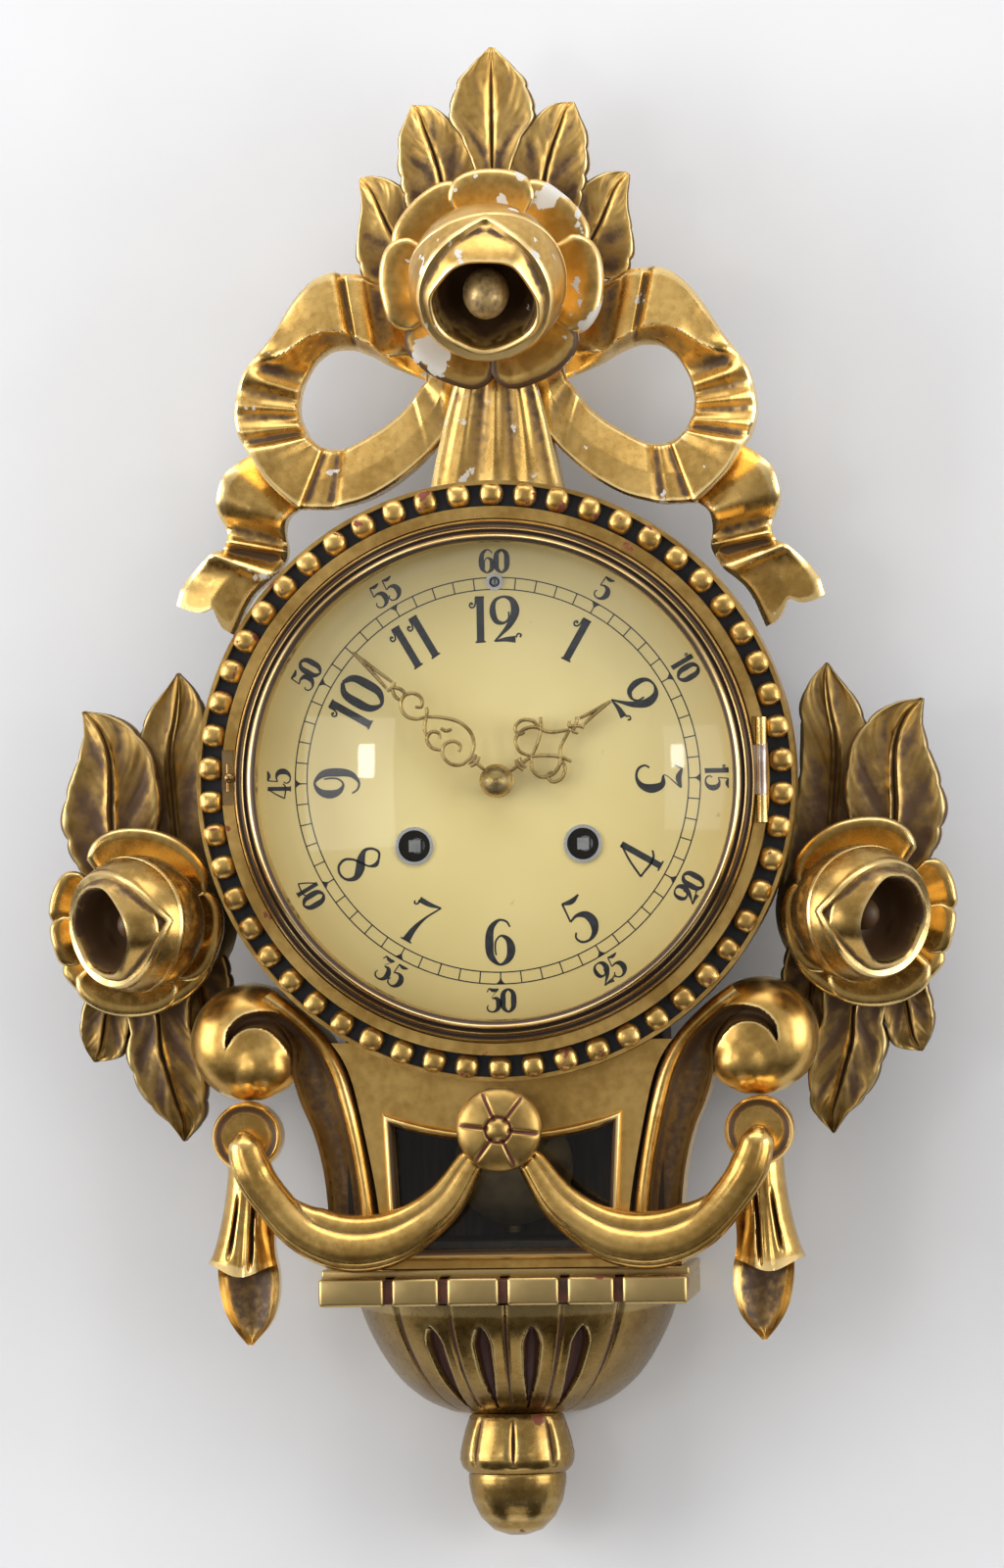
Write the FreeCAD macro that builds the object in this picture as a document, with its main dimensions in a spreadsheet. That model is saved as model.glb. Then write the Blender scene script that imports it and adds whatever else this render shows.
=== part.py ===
"""Gilt carved-wood cartel clock: a wall clock with a hinged brass bezel and a pendulum movement.

X runs to the right, Y into the wall and Z up, in millimetres. The origin lies on the wall, behind the hands'
axis, so a depth here is a distance out from the wall, along -Y. Carved outlines are drawn for the left side
and mirrored for the right.
"""

import FreeCAD, Part
import Sketcher
import math
import operator
import os
from types import SimpleNamespace

from FreeCAD import Vector

doc = FreeCAD.newDocument("CartelClock")

# Driving dimensions, in the order in which the clock is built up from the wall.
DIMENSIONS = {
    # Case: a round drum over a pendulum box, closed by a board let into the back
    "case_depth": 60.0,
    "shell_wall": 10.0,
    "ring_overhang": 9.0,
    "box_half_width": 62.0,
    "box_drop": 73.0,
    "board_thickness": 8.0,
    "board_rebate": 4.0,
    "joinery_gap": 0.2,
    "screw_radius": 1.5,
    "screw_length": 16.0,
    "screw_clearance": 0.15,
    # Keyhole plate that the clock hangs by
    "hanger_width": 30.0,
    "hanger_height": 44.0,
    "hanger_thickness": 2.0,
    "hanger_margin": 4.0,
    "keyhole_radius": 5.5,
    "keyslot_radius": 2.8,
    "keyslot_rise": 12.0,
    # Carved ring round the dial
    "ring_outer_radius": 117.0,
    "ring_rim_width": 1.6,
    "ring_rim_rise": 6.0,
    "cove_width": 8.6,
    "cove_floor_rise": 3.0,
    "fillet_width": 4.6,
    "fillet_rise": 10.0,
    "bezel_ledge_width": 6.2,
    "bezel_seat_gap": 5.0,
    "bead_count": 54,
    "bead_radius": 4.2,
    # Bezel and its convex glass
    "bezel_clearance": 0.6,
    "bezel_lift": 0.3,
    "bezel_width": 8.8,
    "bezel_height": 17.7,
    "bezel_wall_height": 12.7,
    "glass_seat_depth": 2.2,
    "glass_edge_height": 11.2,
    "glass_thickness": 2.2,
    "glass_rise": 20.0,
    "knob_radius": 2.0,
    "knob_stem_radius": 0.9,
    # Bezel hinge on the right
    "hinge_radius": 2.15,
    "hinge_pin_radius": 1.0,
    "hinge_pin_clearance": 0.06,
    "hinge_offset": 2.4,
    "hinge_centre_height": 2.75,
    "hinge_middle_length": 19.0,
    "hinge_outer_length": 10.6,
    "hinge_end_gap": 0.3,
    "hinge_leaf_thickness": 1.0,
    "hinge_recess_depth": 5.0,
    # Dial and hands
    "dial_depth": 68.0,
    "dial_thickness": 1.0,
    "dial_edge_gap": 0.5,
    "dial_centre_hole_radius": 4.4,
    "winding_spread": 33.0,
    "winding_drop": 25.0,
    "winding_hole_radius": 6.9,
    "winding_square": 4.6,
    "grommet_wall": 0.6,
    "grommet_lip": 0.7,
    "regulator_inset": 6.4,
    "regulator_hole_radius": 2.8,
    "regulator_radius": 1.2,
    "hour_hand_length": 54.5,
    "minute_hand_length": 75.5,
    "hour_hand_angle": 56.0,
    "minute_hand_angle": 312.6,
    "hand_thickness": 0.8,
    "hand_hub_radius": 9.0,
    "hour_hand_lift": 3.0,
    "minute_hand_lift": 6.0,
    # Movement plates and trains
    "plate_thickness": 2.0,
    "back_plate_depth": 26.0,
    "motion_space": 14.0,
    "plate_half_width": 52.0,
    "plate_clearance": 14.0,
    "plate_bottom": 56.0,
    "pillar_radius": 3.2,
    "bracket_foot": 20.0,
    "pivot_clearance": 0.05,
    "arbor_radius": 1.5,
    "wheel_thickness": 1.4,
    "cannon_radius": 2.4,
    "hour_pipe_radius": 3.6,
    "barrel_radius": 21.0,
    "barrel_end_room": 9.0,
    "winding_arbor_radius": 3.0,
    "great_module": 0.8,
    "intermediate_module": 0.72,
    "centre_module": 0.5,
    "third_module": 0.42,
    "motion_module": 0.6,
    "escape_radius": 11.0,
    "great_wheel_gap": 2.6,
    "intermediate_wheel_gap": 3.8,
    "cannon_gap": 1.6,
    "hour_wheel_gap": 5.6,
    "leaf_margin": 1.0,
    "great_tooth_count": 60,
    "intermediate_leaf_count": 10,
    "intermediate_tooth_count": 60,
    "centre_leaf_count": 10,
    "centre_tooth_count": 72,
    "third_leaf_count": 8,
    "third_tooth_count": 72,
    "escape_leaf_count": 8,
    "escape_tooth_count": 48,
    "cannon_leaf_count": 12,
    "minute_tooth_count": 36,
    "minute_leaf_count": 10,
    "hour_tooth_count": 40,
    "pallet_clearance": 1.6,
    "pallet_length": 3.0,
    "pallet_spread_angle": 52.0,
    "crutch_width": 2.4,
    # Pendulum and bell
    "pendulum_depth": 18.0,
    "bob_drop": 35.0,
    "suspension_height": 61.0,
    "rod_radius": 1.6,
    "bob_radius": 23.5,
    "bob_thickness": 9.0,
    "bell_radius": 21.0,
    "bell_wall": 1.5,
    "hammer_reach": 16.0,
    "hammer_rise": 12.0,
    "hammer_head_radius": 3.5,
    "hammer_arm_width": 3.0,
    # Carved ornament
    "crest_rise": 78.8,
    "crest_set_back": 26.0,
    "leaf_thickness": 17.0,
    "bow_thickness": 24.0,
    "knot_half_width": 14.0,
    "rose_radius": 45.0,
    "rose_tilt": 16.0,
    "rose_height": 47.0,
    "petal_edge": 4.0,
    "bud_base": 5.0,
    "bud_lip": 2.5,
    "side_rose_reach": 37.4,
    "side_rose_angle": 20.08,
    "side_rose_radius": 37.0,
    "side_rose_turn": 32.0,
    "foliage_thickness": 22.0,
    "volute_radius": 23.0,
    "volute_height": 36.0,
    "console_set_back": 20.0,
    "console_thickness": 32.0,
    "console_rib": 6.0,
    "volute_gap": 2.2,
    "volute_angle": 44.8,
    "roundel_radius": 13.4,
    "roundel_rise": 16.0,
    "swag_rise": 23.0,
    "swag_end_offset": 7.8,
    "swag_flatness": 0.68,
    "apron_thickness": 10.0,
    "window_top_offset": 24.0,
    "window_side_margin": 9.4,
    "window_splay": 2.5,
    "window_sill_drop": 66.0,
    "frame_width": 4.0,
    "frame_thickness": 5.0,
    "pane_thickness": 2.0,
    "pane_lap": 3.0,
    "rosette_drop": 18.4,
    "rosette_radius": 16.7,
    "rosette_thickness": 9.0,
    "rosette_rise": 28.0,
    "cornice_half_width": 72.0,
    "cornice_projection": 24.0,
    "cornice_height": 13.9,
    "dentil_width": 3.0,
    "bowl_half_width": 63.0,
    "bowl_projection": 16.0,
    "gadroon_groove": 1.6,
    "bowl_height": 44.7,
    "acorn_radius": 22.7,
    "acorn_height": 48.3,
}

sheet = doc.addObject("Spreadsheet::Sheet", "Dimensions")
for row, (alias, value) in enumerate(DIMENSIONS.items(), start=1):
    sheet.set(f"A{row}", alias.replace("_", " "))
    sheet.set(f"B{row}", str(value))
    sheet.setAlias(f"B{row}", alias)
doc.recompute()


class Size(float):
    """A length that remembers the sheet expression it was worked out from."""

    def __new__(cls, value, text):
        number = super().__new__(cls, value)
        number.text = text
        return number


def as_size(value):
    return value if isinstance(value, Size) else Size(value, repr(float(value)))


def arithmetic(sign, rule):
    def combine(first, second):
        first, second = as_size(first), as_size(second)
        return Size(rule(float(first), float(second)), f"({first.text} {sign} {second.text})")
    return combine


for operation, sign in (("add", "+"), ("sub", "-"), ("mul", "*"), ("truediv", "/")):
    combine = arithmetic(sign, getattr(operator, operation))
    setattr(Size, f"__{operation}__", combine)
    setattr(Size, f"__r{operation}__", lambda second, first, combine=combine: combine(first, second))
Size.__neg__ = lambda value: Size(-float(value), f"(-{value.text})")

size = SimpleNamespace(**{alias: Size(sheet.get(alias), f"Dimensions.{alias}") for alias in DIMENSIONS})
nodes = []

# Radii from the ring inwards
size.drum_radius = size.ring_outer_radius - size.ring_overhang
size.hanger_centre_height = size.drum_radius - size.shell_wall - size.hanger_height / 2 - size.hanger_margin
size.fillet_outer_radius = size.ring_outer_radius - size.ring_rim_width - size.cove_width
size.fillet_inner_radius = size.fillet_outer_radius - size.fillet_width
size.ring_bore_radius = size.fillet_inner_radius - size.bezel_ledge_width
size.bezel_outer_radius = size.fillet_inner_radius - size.bezel_clearance
size.bezel_sight_radius = size.bezel_outer_radius - size.bezel_width
# Depths of the ring's steps, which stand in front of the dial
size.bezel_seat_depth = size.dial_depth + size.dial_thickness + size.bezel_seat_gap
size.cove_floor_depth = size.bezel_seat_depth + size.cove_floor_rise
size.ring_rim_depth = size.bezel_seat_depth + size.ring_rim_rise
size.fillet_depth = size.bezel_seat_depth + size.fillet_rise
# The movement between the board and the dial
size.plate_gap = size.dial_depth - size.motion_space - 2 * size.plate_thickness - size.back_plate_depth
size.plate_top = size.drum_radius - size.shell_wall - size.plate_clearance
size.regulator_height = size.plate_top - size.regulator_inset
size.barrel_length = size.plate_gap - size.barrel_end_room
size.pendulum_length = size.suspension_height + size.ring_outer_radius + size.bob_drop
# Ornament that is fixed to the front of the case
size.crest_back_depth = size.case_depth - size.crest_set_back
size.console_back_depth = size.case_depth - size.console_set_back
size.roundel_front_depth = size.case_depth + size.roundel_rise
size.swag_depth = size.case_depth + size.swag_rise
size.rosette_back_depth = size.case_depth + size.rosette_rise
size.cornice_depth = size.case_depth + size.cornice_projection
size.bowl_depth = size.case_depth + size.bowl_projection


def bind(thing, name, value):
    """Ties one property of a document object to the sheet."""
    thing.setExpression(name, as_size(value).text)


def new_body(label):
    body = doc.addObject("PartDesign::Body", label)
    body.Label = label
    nodes.append(body)
    return body


def place_body(body, x=0.0, depth=0.0, z=0.0):
    bind(body, "Placement.Base.x", x)
    bind(body, "Placement.Base.y", -as_size(depth))
    bind(body, "Placement.Base.z", z)


def new_sketch(body, role, offset=0.0):
    """A sketch on one of the body's own planes: XZ_Plane faces the room, XY_Plane holds turned profiles."""
    sketch = body.newObject("Sketcher::SketchObject", body.Name + "_sketch")
    plane = next(feature for feature in body.Origin.OriginFeatures if feature.Role == role)
    sketch.AttachmentSupport = [(plane, "")]
    sketch.MapMode = "FlatFace"
    bind(sketch, "AttachmentOffset.Base.z", offset)
    return sketch


def constrain(sketch, kind, *terms):
    value = as_size(terms[-1])
    index = sketch.addConstraint(Sketcher.Constraint(kind, *terms[:-1], float(value)))
    sketch.setExpression(f"Constraints[{index}]", value.text)


def draw_circle(sketch, x, z, radius):
    curve = Part.Circle(Vector(x, z, 0), Vector(0, 0, 1), radius)
    index = sketch.addGeometry(curve)
    constrain(sketch, "Radius", index, radius)
    constrain(sketch, "DistanceX", -1, 1, index, 3, x)
    constrain(sketch, "DistanceY", -1, 1, index, 3, z)


def draw_outline(sketch, corners):
    """A closed outline. A corner's third value, where it has one, is the radius of the arc that leaves it:
    above zero the arc bulges to the right of the way it runs, below zero to the left."""
    starts, ends = [], []
    for corner, following in zip(corners, corners[1:] + corners[:1]):
        here, there = Vector(corner[0], corner[1], 0), Vector(following[0], following[1], 0)
        if len(corner) < 3:
            index = sketch.addGeometry(Part.LineSegment(here, there))
            starts.append((index, 1))
            ends.append((index, 2))
            continue
        radius = as_size(corner[2])
        chord = there - here
        reach = math.sqrt(max(float(radius) ** 2 - chord.Length ** 2 / 4, 0.0))
        side = Vector(-chord.y, chord.x, 0).normalize() * (reach if radius > 0 else -reach)
        centre = (here + there) / 2 + side
        turns = (math.atan2(here.y - centre.y, here.x - centre.x),
                 math.atan2(there.y - centre.y, there.x - centre.x))
        circle = Part.Circle(centre, Vector(0, 0, 1), abs(float(radius)))
        anticlockwise = radius > 0
        index = sketch.addGeometry(Part.ArcOfCircle(circle, *(turns if anticlockwise else turns[::-1])))
        starts.append((index, 1 if anticlockwise else 2))
        ends.append((index, 2 if anticlockwise else 1))
        constrain(sketch, "Radius", index, radius if anticlockwise else -radius)
    for number in range(len(corners)):
        following = (number + 1) % len(corners)
        sketch.addConstraint(Sketcher.Constraint("Coincident", *ends[number], *starts[following]))
    for corner, start in zip(corners, starts):
        constrain(sketch, "DistanceX", -1, 1, *start, corner[0])
        constrain(sketch, "DistanceY", -1, 1, *start, corner[1])


def pad(body, sketch, length):
    feature = body.newObject("PartDesign::Pad", body.Name + "_pad")
    feature.Profile = sketch
    bind(feature, "Length", length)
    return feature


def cut(body, sketch, length):
    """Cuts away from the sketch towards the room, the way a pad grows."""
    feature = body.newObject("PartDesign::Pocket", body.Name + "_cut")
    feature.Profile = sketch
    feature.Reversed = True
    bind(feature, "Length", length)
    return feature


def turn(body, sketch):
    """Revolves a profile about the sketch's upright axis."""
    feature = body.newObject("PartDesign::Revolution", body.Name + "_turn")
    feature.Profile = sketch
    feature.ReferenceAxis = (sketch, ["V_Axis"])
    feature.Angle = 360.0
    return feature


def carved(label, shape):
    """A piece shaped freely, outside a body's features."""
    feature = doc.addObject("Part::Feature", label)
    feature.Label = label
    feature.Shape = shape
    nodes.append(feature)
    return feature


def spot(x, depth, z):
    return Vector(x, -depth, z)


def toward_room(length):
    return Vector(0, -length, 0)


def curve_edge(points, depth, closed=False):
    curve = Part.BSplineCurve()
    curve.interpolate([spot(x, depth, z) for x, z in points], PeriodicFlag=closed)
    return curve.toShape()


def smooth_slab(points, depth, thickness):
    """A board with a smooth closed outline."""
    return Part.Face(Part.Wire(curve_edge(points, depth, closed=True))).extrude(toward_room(thickness))


def blade(first_edge, second_edge, depth, thickness):
    """A board between two smooth edges that start apart and meet in a sharp tip."""
    foot = straight_edge(first_edge[0], second_edge[0], depth)
    wire = Part.Wire([curve_edge(first_edge, depth), curve_edge(second_edge[::-1], depth), foot])
    return Part.Face(wire).extrude(toward_room(thickness))


def straight_edge(first, second, depth):
    return Part.makeLine(spot(first[0], depth, first[1]), spot(second[0], depth, second[1]))


def rod(x, depth, z, radius, length):
    """A round bar that runs from one depth towards the room."""
    return Part.makeCylinder(radius, length, spot(x, depth, z), toward_room(1))


def block(x, z, depth, width, height, thickness):
    """A square-cornered block by its left, lower and wall-side corner."""
    return Part.makeBox(width, thickness, height, Vector(x, -depth - thickness, z))


def mirrored(shape):
    return shape.mirror(Vector(0, 0, 0), Vector(1, 0, 0))


def shifted(points, x, z):
    return [(x + across, z + up) for across, up in points]


ring_clear_radius = size.ring_outer_radius + size.joinery_gap
drum_clear_radius = size.drum_radius + size.joinery_gap
drum_keep_out = rod(0, 0, 0, drum_clear_radius, size.case_depth)
ring_keep_out = rod(0, size.case_depth, 0, ring_clear_radius, size.rose_height + size.volute_height)


# Case shell: the drum and the pendulum box, open at the front and rebated at the back
def build_case_shell():
    body = new_body("case_shell")
    drum = new_sketch(body, "XZ_Plane")
    draw_circle(drum, 0.0, 0.0, size.drum_radius)
    pad(body, drum, size.case_depth)
    box_foot = -(size.ring_outer_radius + size.box_drop)
    box = new_sketch(body, "XZ_Plane")
    half = size.box_half_width
    draw_outline(box, [(-half, box_foot), (half, box_foot), (half, 0.0), (-half, 0.0)])
    pad(body, box, size.case_depth)
    bore = new_sketch(body, "XZ_Plane")
    draw_circle(bore, 0.0, 0.0, size.drum_radius - size.shell_wall)
    cut(body, bore, size.case_depth)
    inner_half = half - size.shell_wall
    inner_foot = box_foot + size.shell_wall
    chamber = new_sketch(body, "XZ_Plane")
    draw_outline(chamber, [(-inner_half, inner_foot), (inner_half, inner_foot), (inner_half, 0.0),
                           (-inner_half, 0.0)])
    cut(body, chamber, size.case_depth)
    rebate = new_sketch(body, "XZ_Plane")
    draw_circle(rebate, 0.0, 0.0, size.drum_radius - size.shell_wall + size.board_rebate)
    cut(body, rebate, size.board_thickness)
    rebate_half = inner_half + size.board_rebate
    rebate_foot = inner_foot - size.board_rebate
    lower_rebate = new_sketch(body, "XZ_Plane")
    corners = [(-rebate_half, rebate_foot), (rebate_half, rebate_foot), (rebate_half, 0.0),
               (-rebate_half, 0.0)]
    draw_outline(lower_rebate, corners)
    cut(body, lower_rebate, size.board_thickness)
    pilots = new_sketch(body, "XZ_Plane", size.board_thickness)
    for x, z in board_screw_places():
        draw_circle(pilots, x, z, size.screw_radius + size.screw_clearance)
    cut(body, pilots, size.screw_length)


def board_screw_places():
    """Six screws through the edge of the back board, over the ledge of the rebate."""
    ledge = size.drum_radius - size.shell_wall + size.board_rebate / 2
    box_ledge = size.box_half_width - size.shell_wall + size.board_rebate / 2
    low = -(size.ring_outer_radius + size.box_drop * 0.75)
    places = []
    for side in (-1, 1):
        for angle in (25.0, 75.0):
            turned = math.radians(angle)
            places.append((side * math.sin(turned) * ledge, math.cos(turned) * ledge))
        places.append((side * box_ledge, low))
    return places


# Back board, with the keyhole plate let into it
def build_back_board():
    body = new_body("back_board")
    radius = size.drum_radius - size.shell_wall + size.board_rebate - size.joinery_gap
    half = size.box_half_width - size.shell_wall + size.board_rebate - size.joinery_gap
    foot = -(size.ring_outer_radius + size.box_drop) + size.shell_wall - size.board_rebate + size.joinery_gap
    disc = new_sketch(body, "XZ_Plane")
    draw_circle(disc, 0.0, 0.0, radius)
    pad(body, disc, size.board_thickness)
    tail = new_sketch(body, "XZ_Plane")
    draw_outline(tail, [(-half, foot), (half, foot), (half, 0.0), (-half, 0.0)])
    pad(body, tail, size.board_thickness)
    recess = new_sketch(body, "XZ_Plane")
    wide = size.hanger_width / 2 + size.joinery_gap
    high = size.hanger_height / 2 + size.joinery_gap
    middle = size.hanger_centre_height
    draw_outline(recess, [(-wide, middle - high), (wide, middle - high), (wide, middle + high),
                          (-wide, middle + high)])
    cut(body, recess, size.hanger_thickness)
    head_room = new_sketch(body, "XZ_Plane")
    reach = size.keyhole_radius + size.keyslot_rise / 2 + size.keyslot_radius
    draw_outline(head_room, [(-reach, middle - reach), (reach, middle - reach), (reach, middle + reach),
                             (-reach, middle + reach)])
    cut(body, head_room, size.board_thickness)
    holes = new_sketch(body, "XZ_Plane")
    for x, z in board_screw_places() + hanger_screw_places():
        draw_circle(holes, x, z, size.screw_radius + size.screw_clearance)
    cut(body, holes, size.board_thickness)


def hanger_screw_places():
    across = size.hanger_width / 2 - 3 * size.screw_radius
    up = size.hanger_height / 2 - 3 * size.screw_radius
    return [(side * across, size.hanger_centre_height + end * up) for side in (-1, 1) for end in (-1, 1)]


def build_hanger_plate():
    body = new_body("hanger_plate")
    middle = size.hanger_centre_height
    wide, high = size.hanger_width / 2, size.hanger_height / 2
    plate = new_sketch(body, "XZ_Plane")
    draw_outline(plate, [(-wide, middle - high), (wide, middle - high), (wide, middle + high),
                         (-wide, middle + high)])
    pad(body, plate, size.hanger_thickness)
    entry = new_sketch(body, "XZ_Plane")
    draw_circle(entry, 0.0, middle - size.keyslot_rise / 2, size.keyhole_radius)
    cut(body, entry, size.hanger_thickness)
    slot_half = size.keyslot_radius
    low, top = middle - size.keyslot_rise / 2, middle + size.keyslot_rise / 2
    slot = new_sketch(body, "XZ_Plane")
    draw_outline(slot, [(-slot_half, low), (slot_half, low), (slot_half, top), (-slot_half, top)])
    cut(body, slot, size.hanger_thickness)
    slot_end = new_sketch(body, "XZ_Plane")
    draw_circle(slot_end, 0.0, top, slot_half)
    cut(body, slot_end, size.hanger_thickness)
    holes = new_sketch(body, "XZ_Plane")
    for x, z in hanger_screw_places():
        draw_circle(holes, x, z, size.screw_radius + size.screw_clearance)
    cut(body, holes, size.hanger_thickness)


def build_case_screws():
    """Screws that stand flush with the back; the plate's are short."""
    screws = []
    long_shank = size.board_thickness + size.screw_length / 2
    for x, z in board_screw_places():
        screws.append(rod(x, 0, z, size.screw_radius, long_shank))
    for x, z in hanger_screw_places():
        screws.append(rod(x, 0, z, size.screw_radius, size.board_thickness - size.joinery_gap))
    carved("case_screws", Part.makeCompound(screws))


# Carved ring round the dial: rim, cove for the beads, gold fillet and the ledge that the bezel closes on
def build_bead_ring():
    body = new_body("bead_ring")
    back = size.case_depth
    outer = size.ring_outer_radius
    rim = outer - size.ring_rim_width
    floor, front, seat = size.cove_floor_depth, size.fillet_depth, size.bezel_seat_depth
    profile = new_sketch(body, "XY_Plane")
    draw_outline(profile, [
        (size.ring_bore_radius, -back), (size.ring_bore_radius, -seat), (size.fillet_inner_radius, -seat),
        (size.fillet_inner_radius, -front), (size.fillet_outer_radius, -front),
        (size.fillet_outer_radius, -floor),
        (rim, -floor), (rim, -size.ring_rim_depth), (outer, -size.ring_rim_depth), (outer, -back)])
    turn(body, profile)
    hinge = hinge_frame()
    recess = new_sketch(body, "XZ_Plane", hinge.recess_floor)
    left = size.fillet_inner_radius - size.bezel_clearance * 3
    right = size.fillet_outer_radius + size.joinery_gap
    low, high = hinge.low - size.hinge_end_gap, hinge.high + size.hinge_end_gap
    draw_outline(recess, [(left, low), (right, low), (right, high), (left, high)])
    cut(body, recess, size.hinge_recess_depth)
    catch = new_sketch(body, "XZ_Plane", catch_floor())
    half = catch_half_length() + size.joinery_gap
    middle = size.hinge_centre_height
    draw_outline(catch, [(-right, middle - half), (-left, middle - half), (-left, middle + half),
                         (-right, middle + half)])
    cut(body, catch, size.hinge_recess_depth)


def hinge_frame():
    """Places on the hinge that both leaves, the pin and the ring's recess share."""
    half = size.hinge_middle_length / 2 + size.hinge_end_gap + size.hinge_outer_length
    return SimpleNamespace(
        axis_x=size.bezel_outer_radius + size.hinge_offset,
        depth=size.fillet_depth,
        low=size.hinge_centre_height - half,
        high=size.hinge_centre_height + half,
        recess_floor=size.fillet_depth - size.hinge_recess_depth)


def catch_floor():
    return size.fillet_depth - 3 * size.hinge_leaf_thickness


def catch_half_length():
    return size.hinge_outer_length


def build_ring_beads():
    """Turned half beads glued on the floor of the cove."""
    floor = size.cove_floor_depth
    circle = (size.fillet_outer_radius + size.ring_outer_radius - size.ring_rim_width) / 2
    beads = []
    for number in range(int(size.bead_count)):
        angle = 2 * math.pi * (number + 0.5) / int(size.bead_count)
        foot = spot(circle * math.cos(angle), floor, circle * math.sin(angle))
        beads.append(Part.makeSphere(size.bead_radius, foot, toward_room(1), 0, 90, 360))
    carved("ring_beads", Part.makeCompound(beads))


# Bezel: a stepped brass ring that swings on the right, with the glass bedded in a groove
def bezel_places():
    return SimpleNamespace(
        outer=size.bezel_outer_radius,
        back=size.bezel_seat_depth + size.bezel_lift,
        sight=size.bezel_sight_radius,
        glass_radius=size.bezel_sight_radius + size.glass_seat_depth - size.joinery_gap)


def build_bezel_ring():
    body = new_body("bezel_ring")
    place = bezel_places()
    back, outer, sight = place.back, place.outer, place.sight
    wall = back + size.bezel_wall_height
    front = back + size.bezel_height
    groove = sight + size.glass_seat_depth
    edge = back + size.glass_edge_height
    groove_back = edge - size.glass_thickness - size.joinery_gap
    groove_front = edge + size.glass_seat_depth
    land = outer - sight
    outer_roll, cove, bead = outer - land * 0.32, outer - land * 0.42, outer - land * 0.66
    profile = new_sketch(body, "XY_Plane")
    draw_outline(profile, [
        (outer, -back), (sight + 0.4 * size.glass_seat_depth, -back),
        (sight + 0.4 * size.glass_seat_depth, -groove_back),
        (groove, -groove_back), (groove, -groove_front), (sight, -groove_front),
        (sight, -(front - land * 0.12)),
        (sight + land * 0.12, -front), (bead, -front, -land * 0.3), (cove, -(front - land * 0.22)),
        (outer_roll, -(front - land * 0.22)), (outer, -wall)])
    turn(body, profile)
    hinge = hinge_frame()
    flat = new_sketch(body, "XZ_Plane", hinge.recess_floor)
    half = size.hinge_middle_length / 2 + size.hinge_end_gap
    middle = size.hinge_centre_height
    face = outer - size.hinge_leaf_thickness
    draw_outline(flat, [(face, middle - half), (outer + 1, middle - half), (outer + 1, middle + half),
                        (face, middle + half)])
    cut(body, flat, hinge.depth - back + size.hinge_radius)


def build_bezel_glass():
    body = new_body("bezel_glass")
    place = bezel_places()
    edge = place.back + size.glass_edge_height
    radius = place.glass_radius
    rise = size.glass_rise
    curve = (radius * radius + rise * rise) / (2 * rise)
    profile = new_sketch(body, "XY_Plane")
    draw_outline(profile, [
        (0.0, -(edge + rise), curve), (radius, -edge), (radius, -(edge - size.glass_thickness), -curve),
        (0.0, -(edge + rise - size.glass_thickness))])
    turn(body, profile)


def build_bezel_hinge_leaf():
    """The knuckle on the bezel, with a leaf let into a flat on the bezel's edge."""
    hinge = hinge_frame()
    place = bezel_places()
    low = size.hinge_centre_height - size.hinge_middle_length / 2
    length = size.hinge_middle_length
    face = place.outer - size.hinge_leaf_thickness + size.joinery_gap / 2
    leaf_back = hinge.recess_floor + size.joinery_gap
    leaf = block(face, low, leaf_back, size.hinge_leaf_thickness, length,
                 hinge.depth - leaf_back + size.hinge_radius / 2)
    web = block(face, low, hinge.depth - size.hinge_radius / 2, hinge.axis_x - face, length,
                size.hinge_radius)
    barrel = Part.makeCylinder(size.hinge_radius, length, spot(hinge.axis_x, hinge.depth, low))
    bore = Part.makeCylinder(size.hinge_pin_radius + size.hinge_pin_clearance, length,
                             spot(hinge.axis_x, hinge.depth, low))
    carved("bezel_hinge_leaf", leaf.fuse([web, barrel]).cut(bore).removeSplitter())


def build_case_hinge_leaf():
    """Two knuckles on one leaf, screwed into the recess in the ring's fillet."""
    hinge = hinge_frame()
    leaf_left = hinge.axis_x - size.hinge_radius / 2
    web_width = 0.6 * size.hinge_radius
    width = hinge.axis_x + web_width - leaf_left
    leaf = block(leaf_left, hinge.low, hinge.recess_floor, width, hinge.high - hinge.low,
                 size.hinge_leaf_thickness)
    pieces = []
    for low in (hinge.low, hinge.high - size.hinge_outer_length):
        barrel = Part.makeCylinder(size.hinge_radius, size.hinge_outer_length,
                                   spot(hinge.axis_x, hinge.depth, low))
        web = block(hinge.axis_x, low, hinge.recess_floor, web_width, size.hinge_outer_length,
                    size.hinge_recess_depth)
        pieces += [barrel, web]
    bore = Part.makeCylinder(size.hinge_pin_radius, hinge.high - hinge.low,
                             spot(hinge.axis_x, hinge.depth, hinge.low))
    carved("case_hinge_leaf", leaf.fuse(pieces).cut(bore).removeSplitter())
    carved("hinge_pin", bore)


def build_bezel_knob():
    """A ball on a short stem, to pull the bezel open by."""
    place = bezel_places()
    depth = place.back + size.bezel_wall_height - size.knob_stem_radius - size.joinery_gap
    z = size.hinge_centre_height
    reach = place.outer + size.knob_radius
    stem_foot = math.sqrt(place.outer ** 2 - z ** 2) + size.joinery_gap / 2
    stem = Part.makeCylinder(size.knob_stem_radius, reach - stem_foot, spot(-reach, depth, z),
                             Vector(1, 0, 0))
    ball = Part.makeSphere(size.knob_radius, spot(-reach, depth, z))
    carved("bezel_knob", ball.fuse(stem).removeSplitter())


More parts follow.
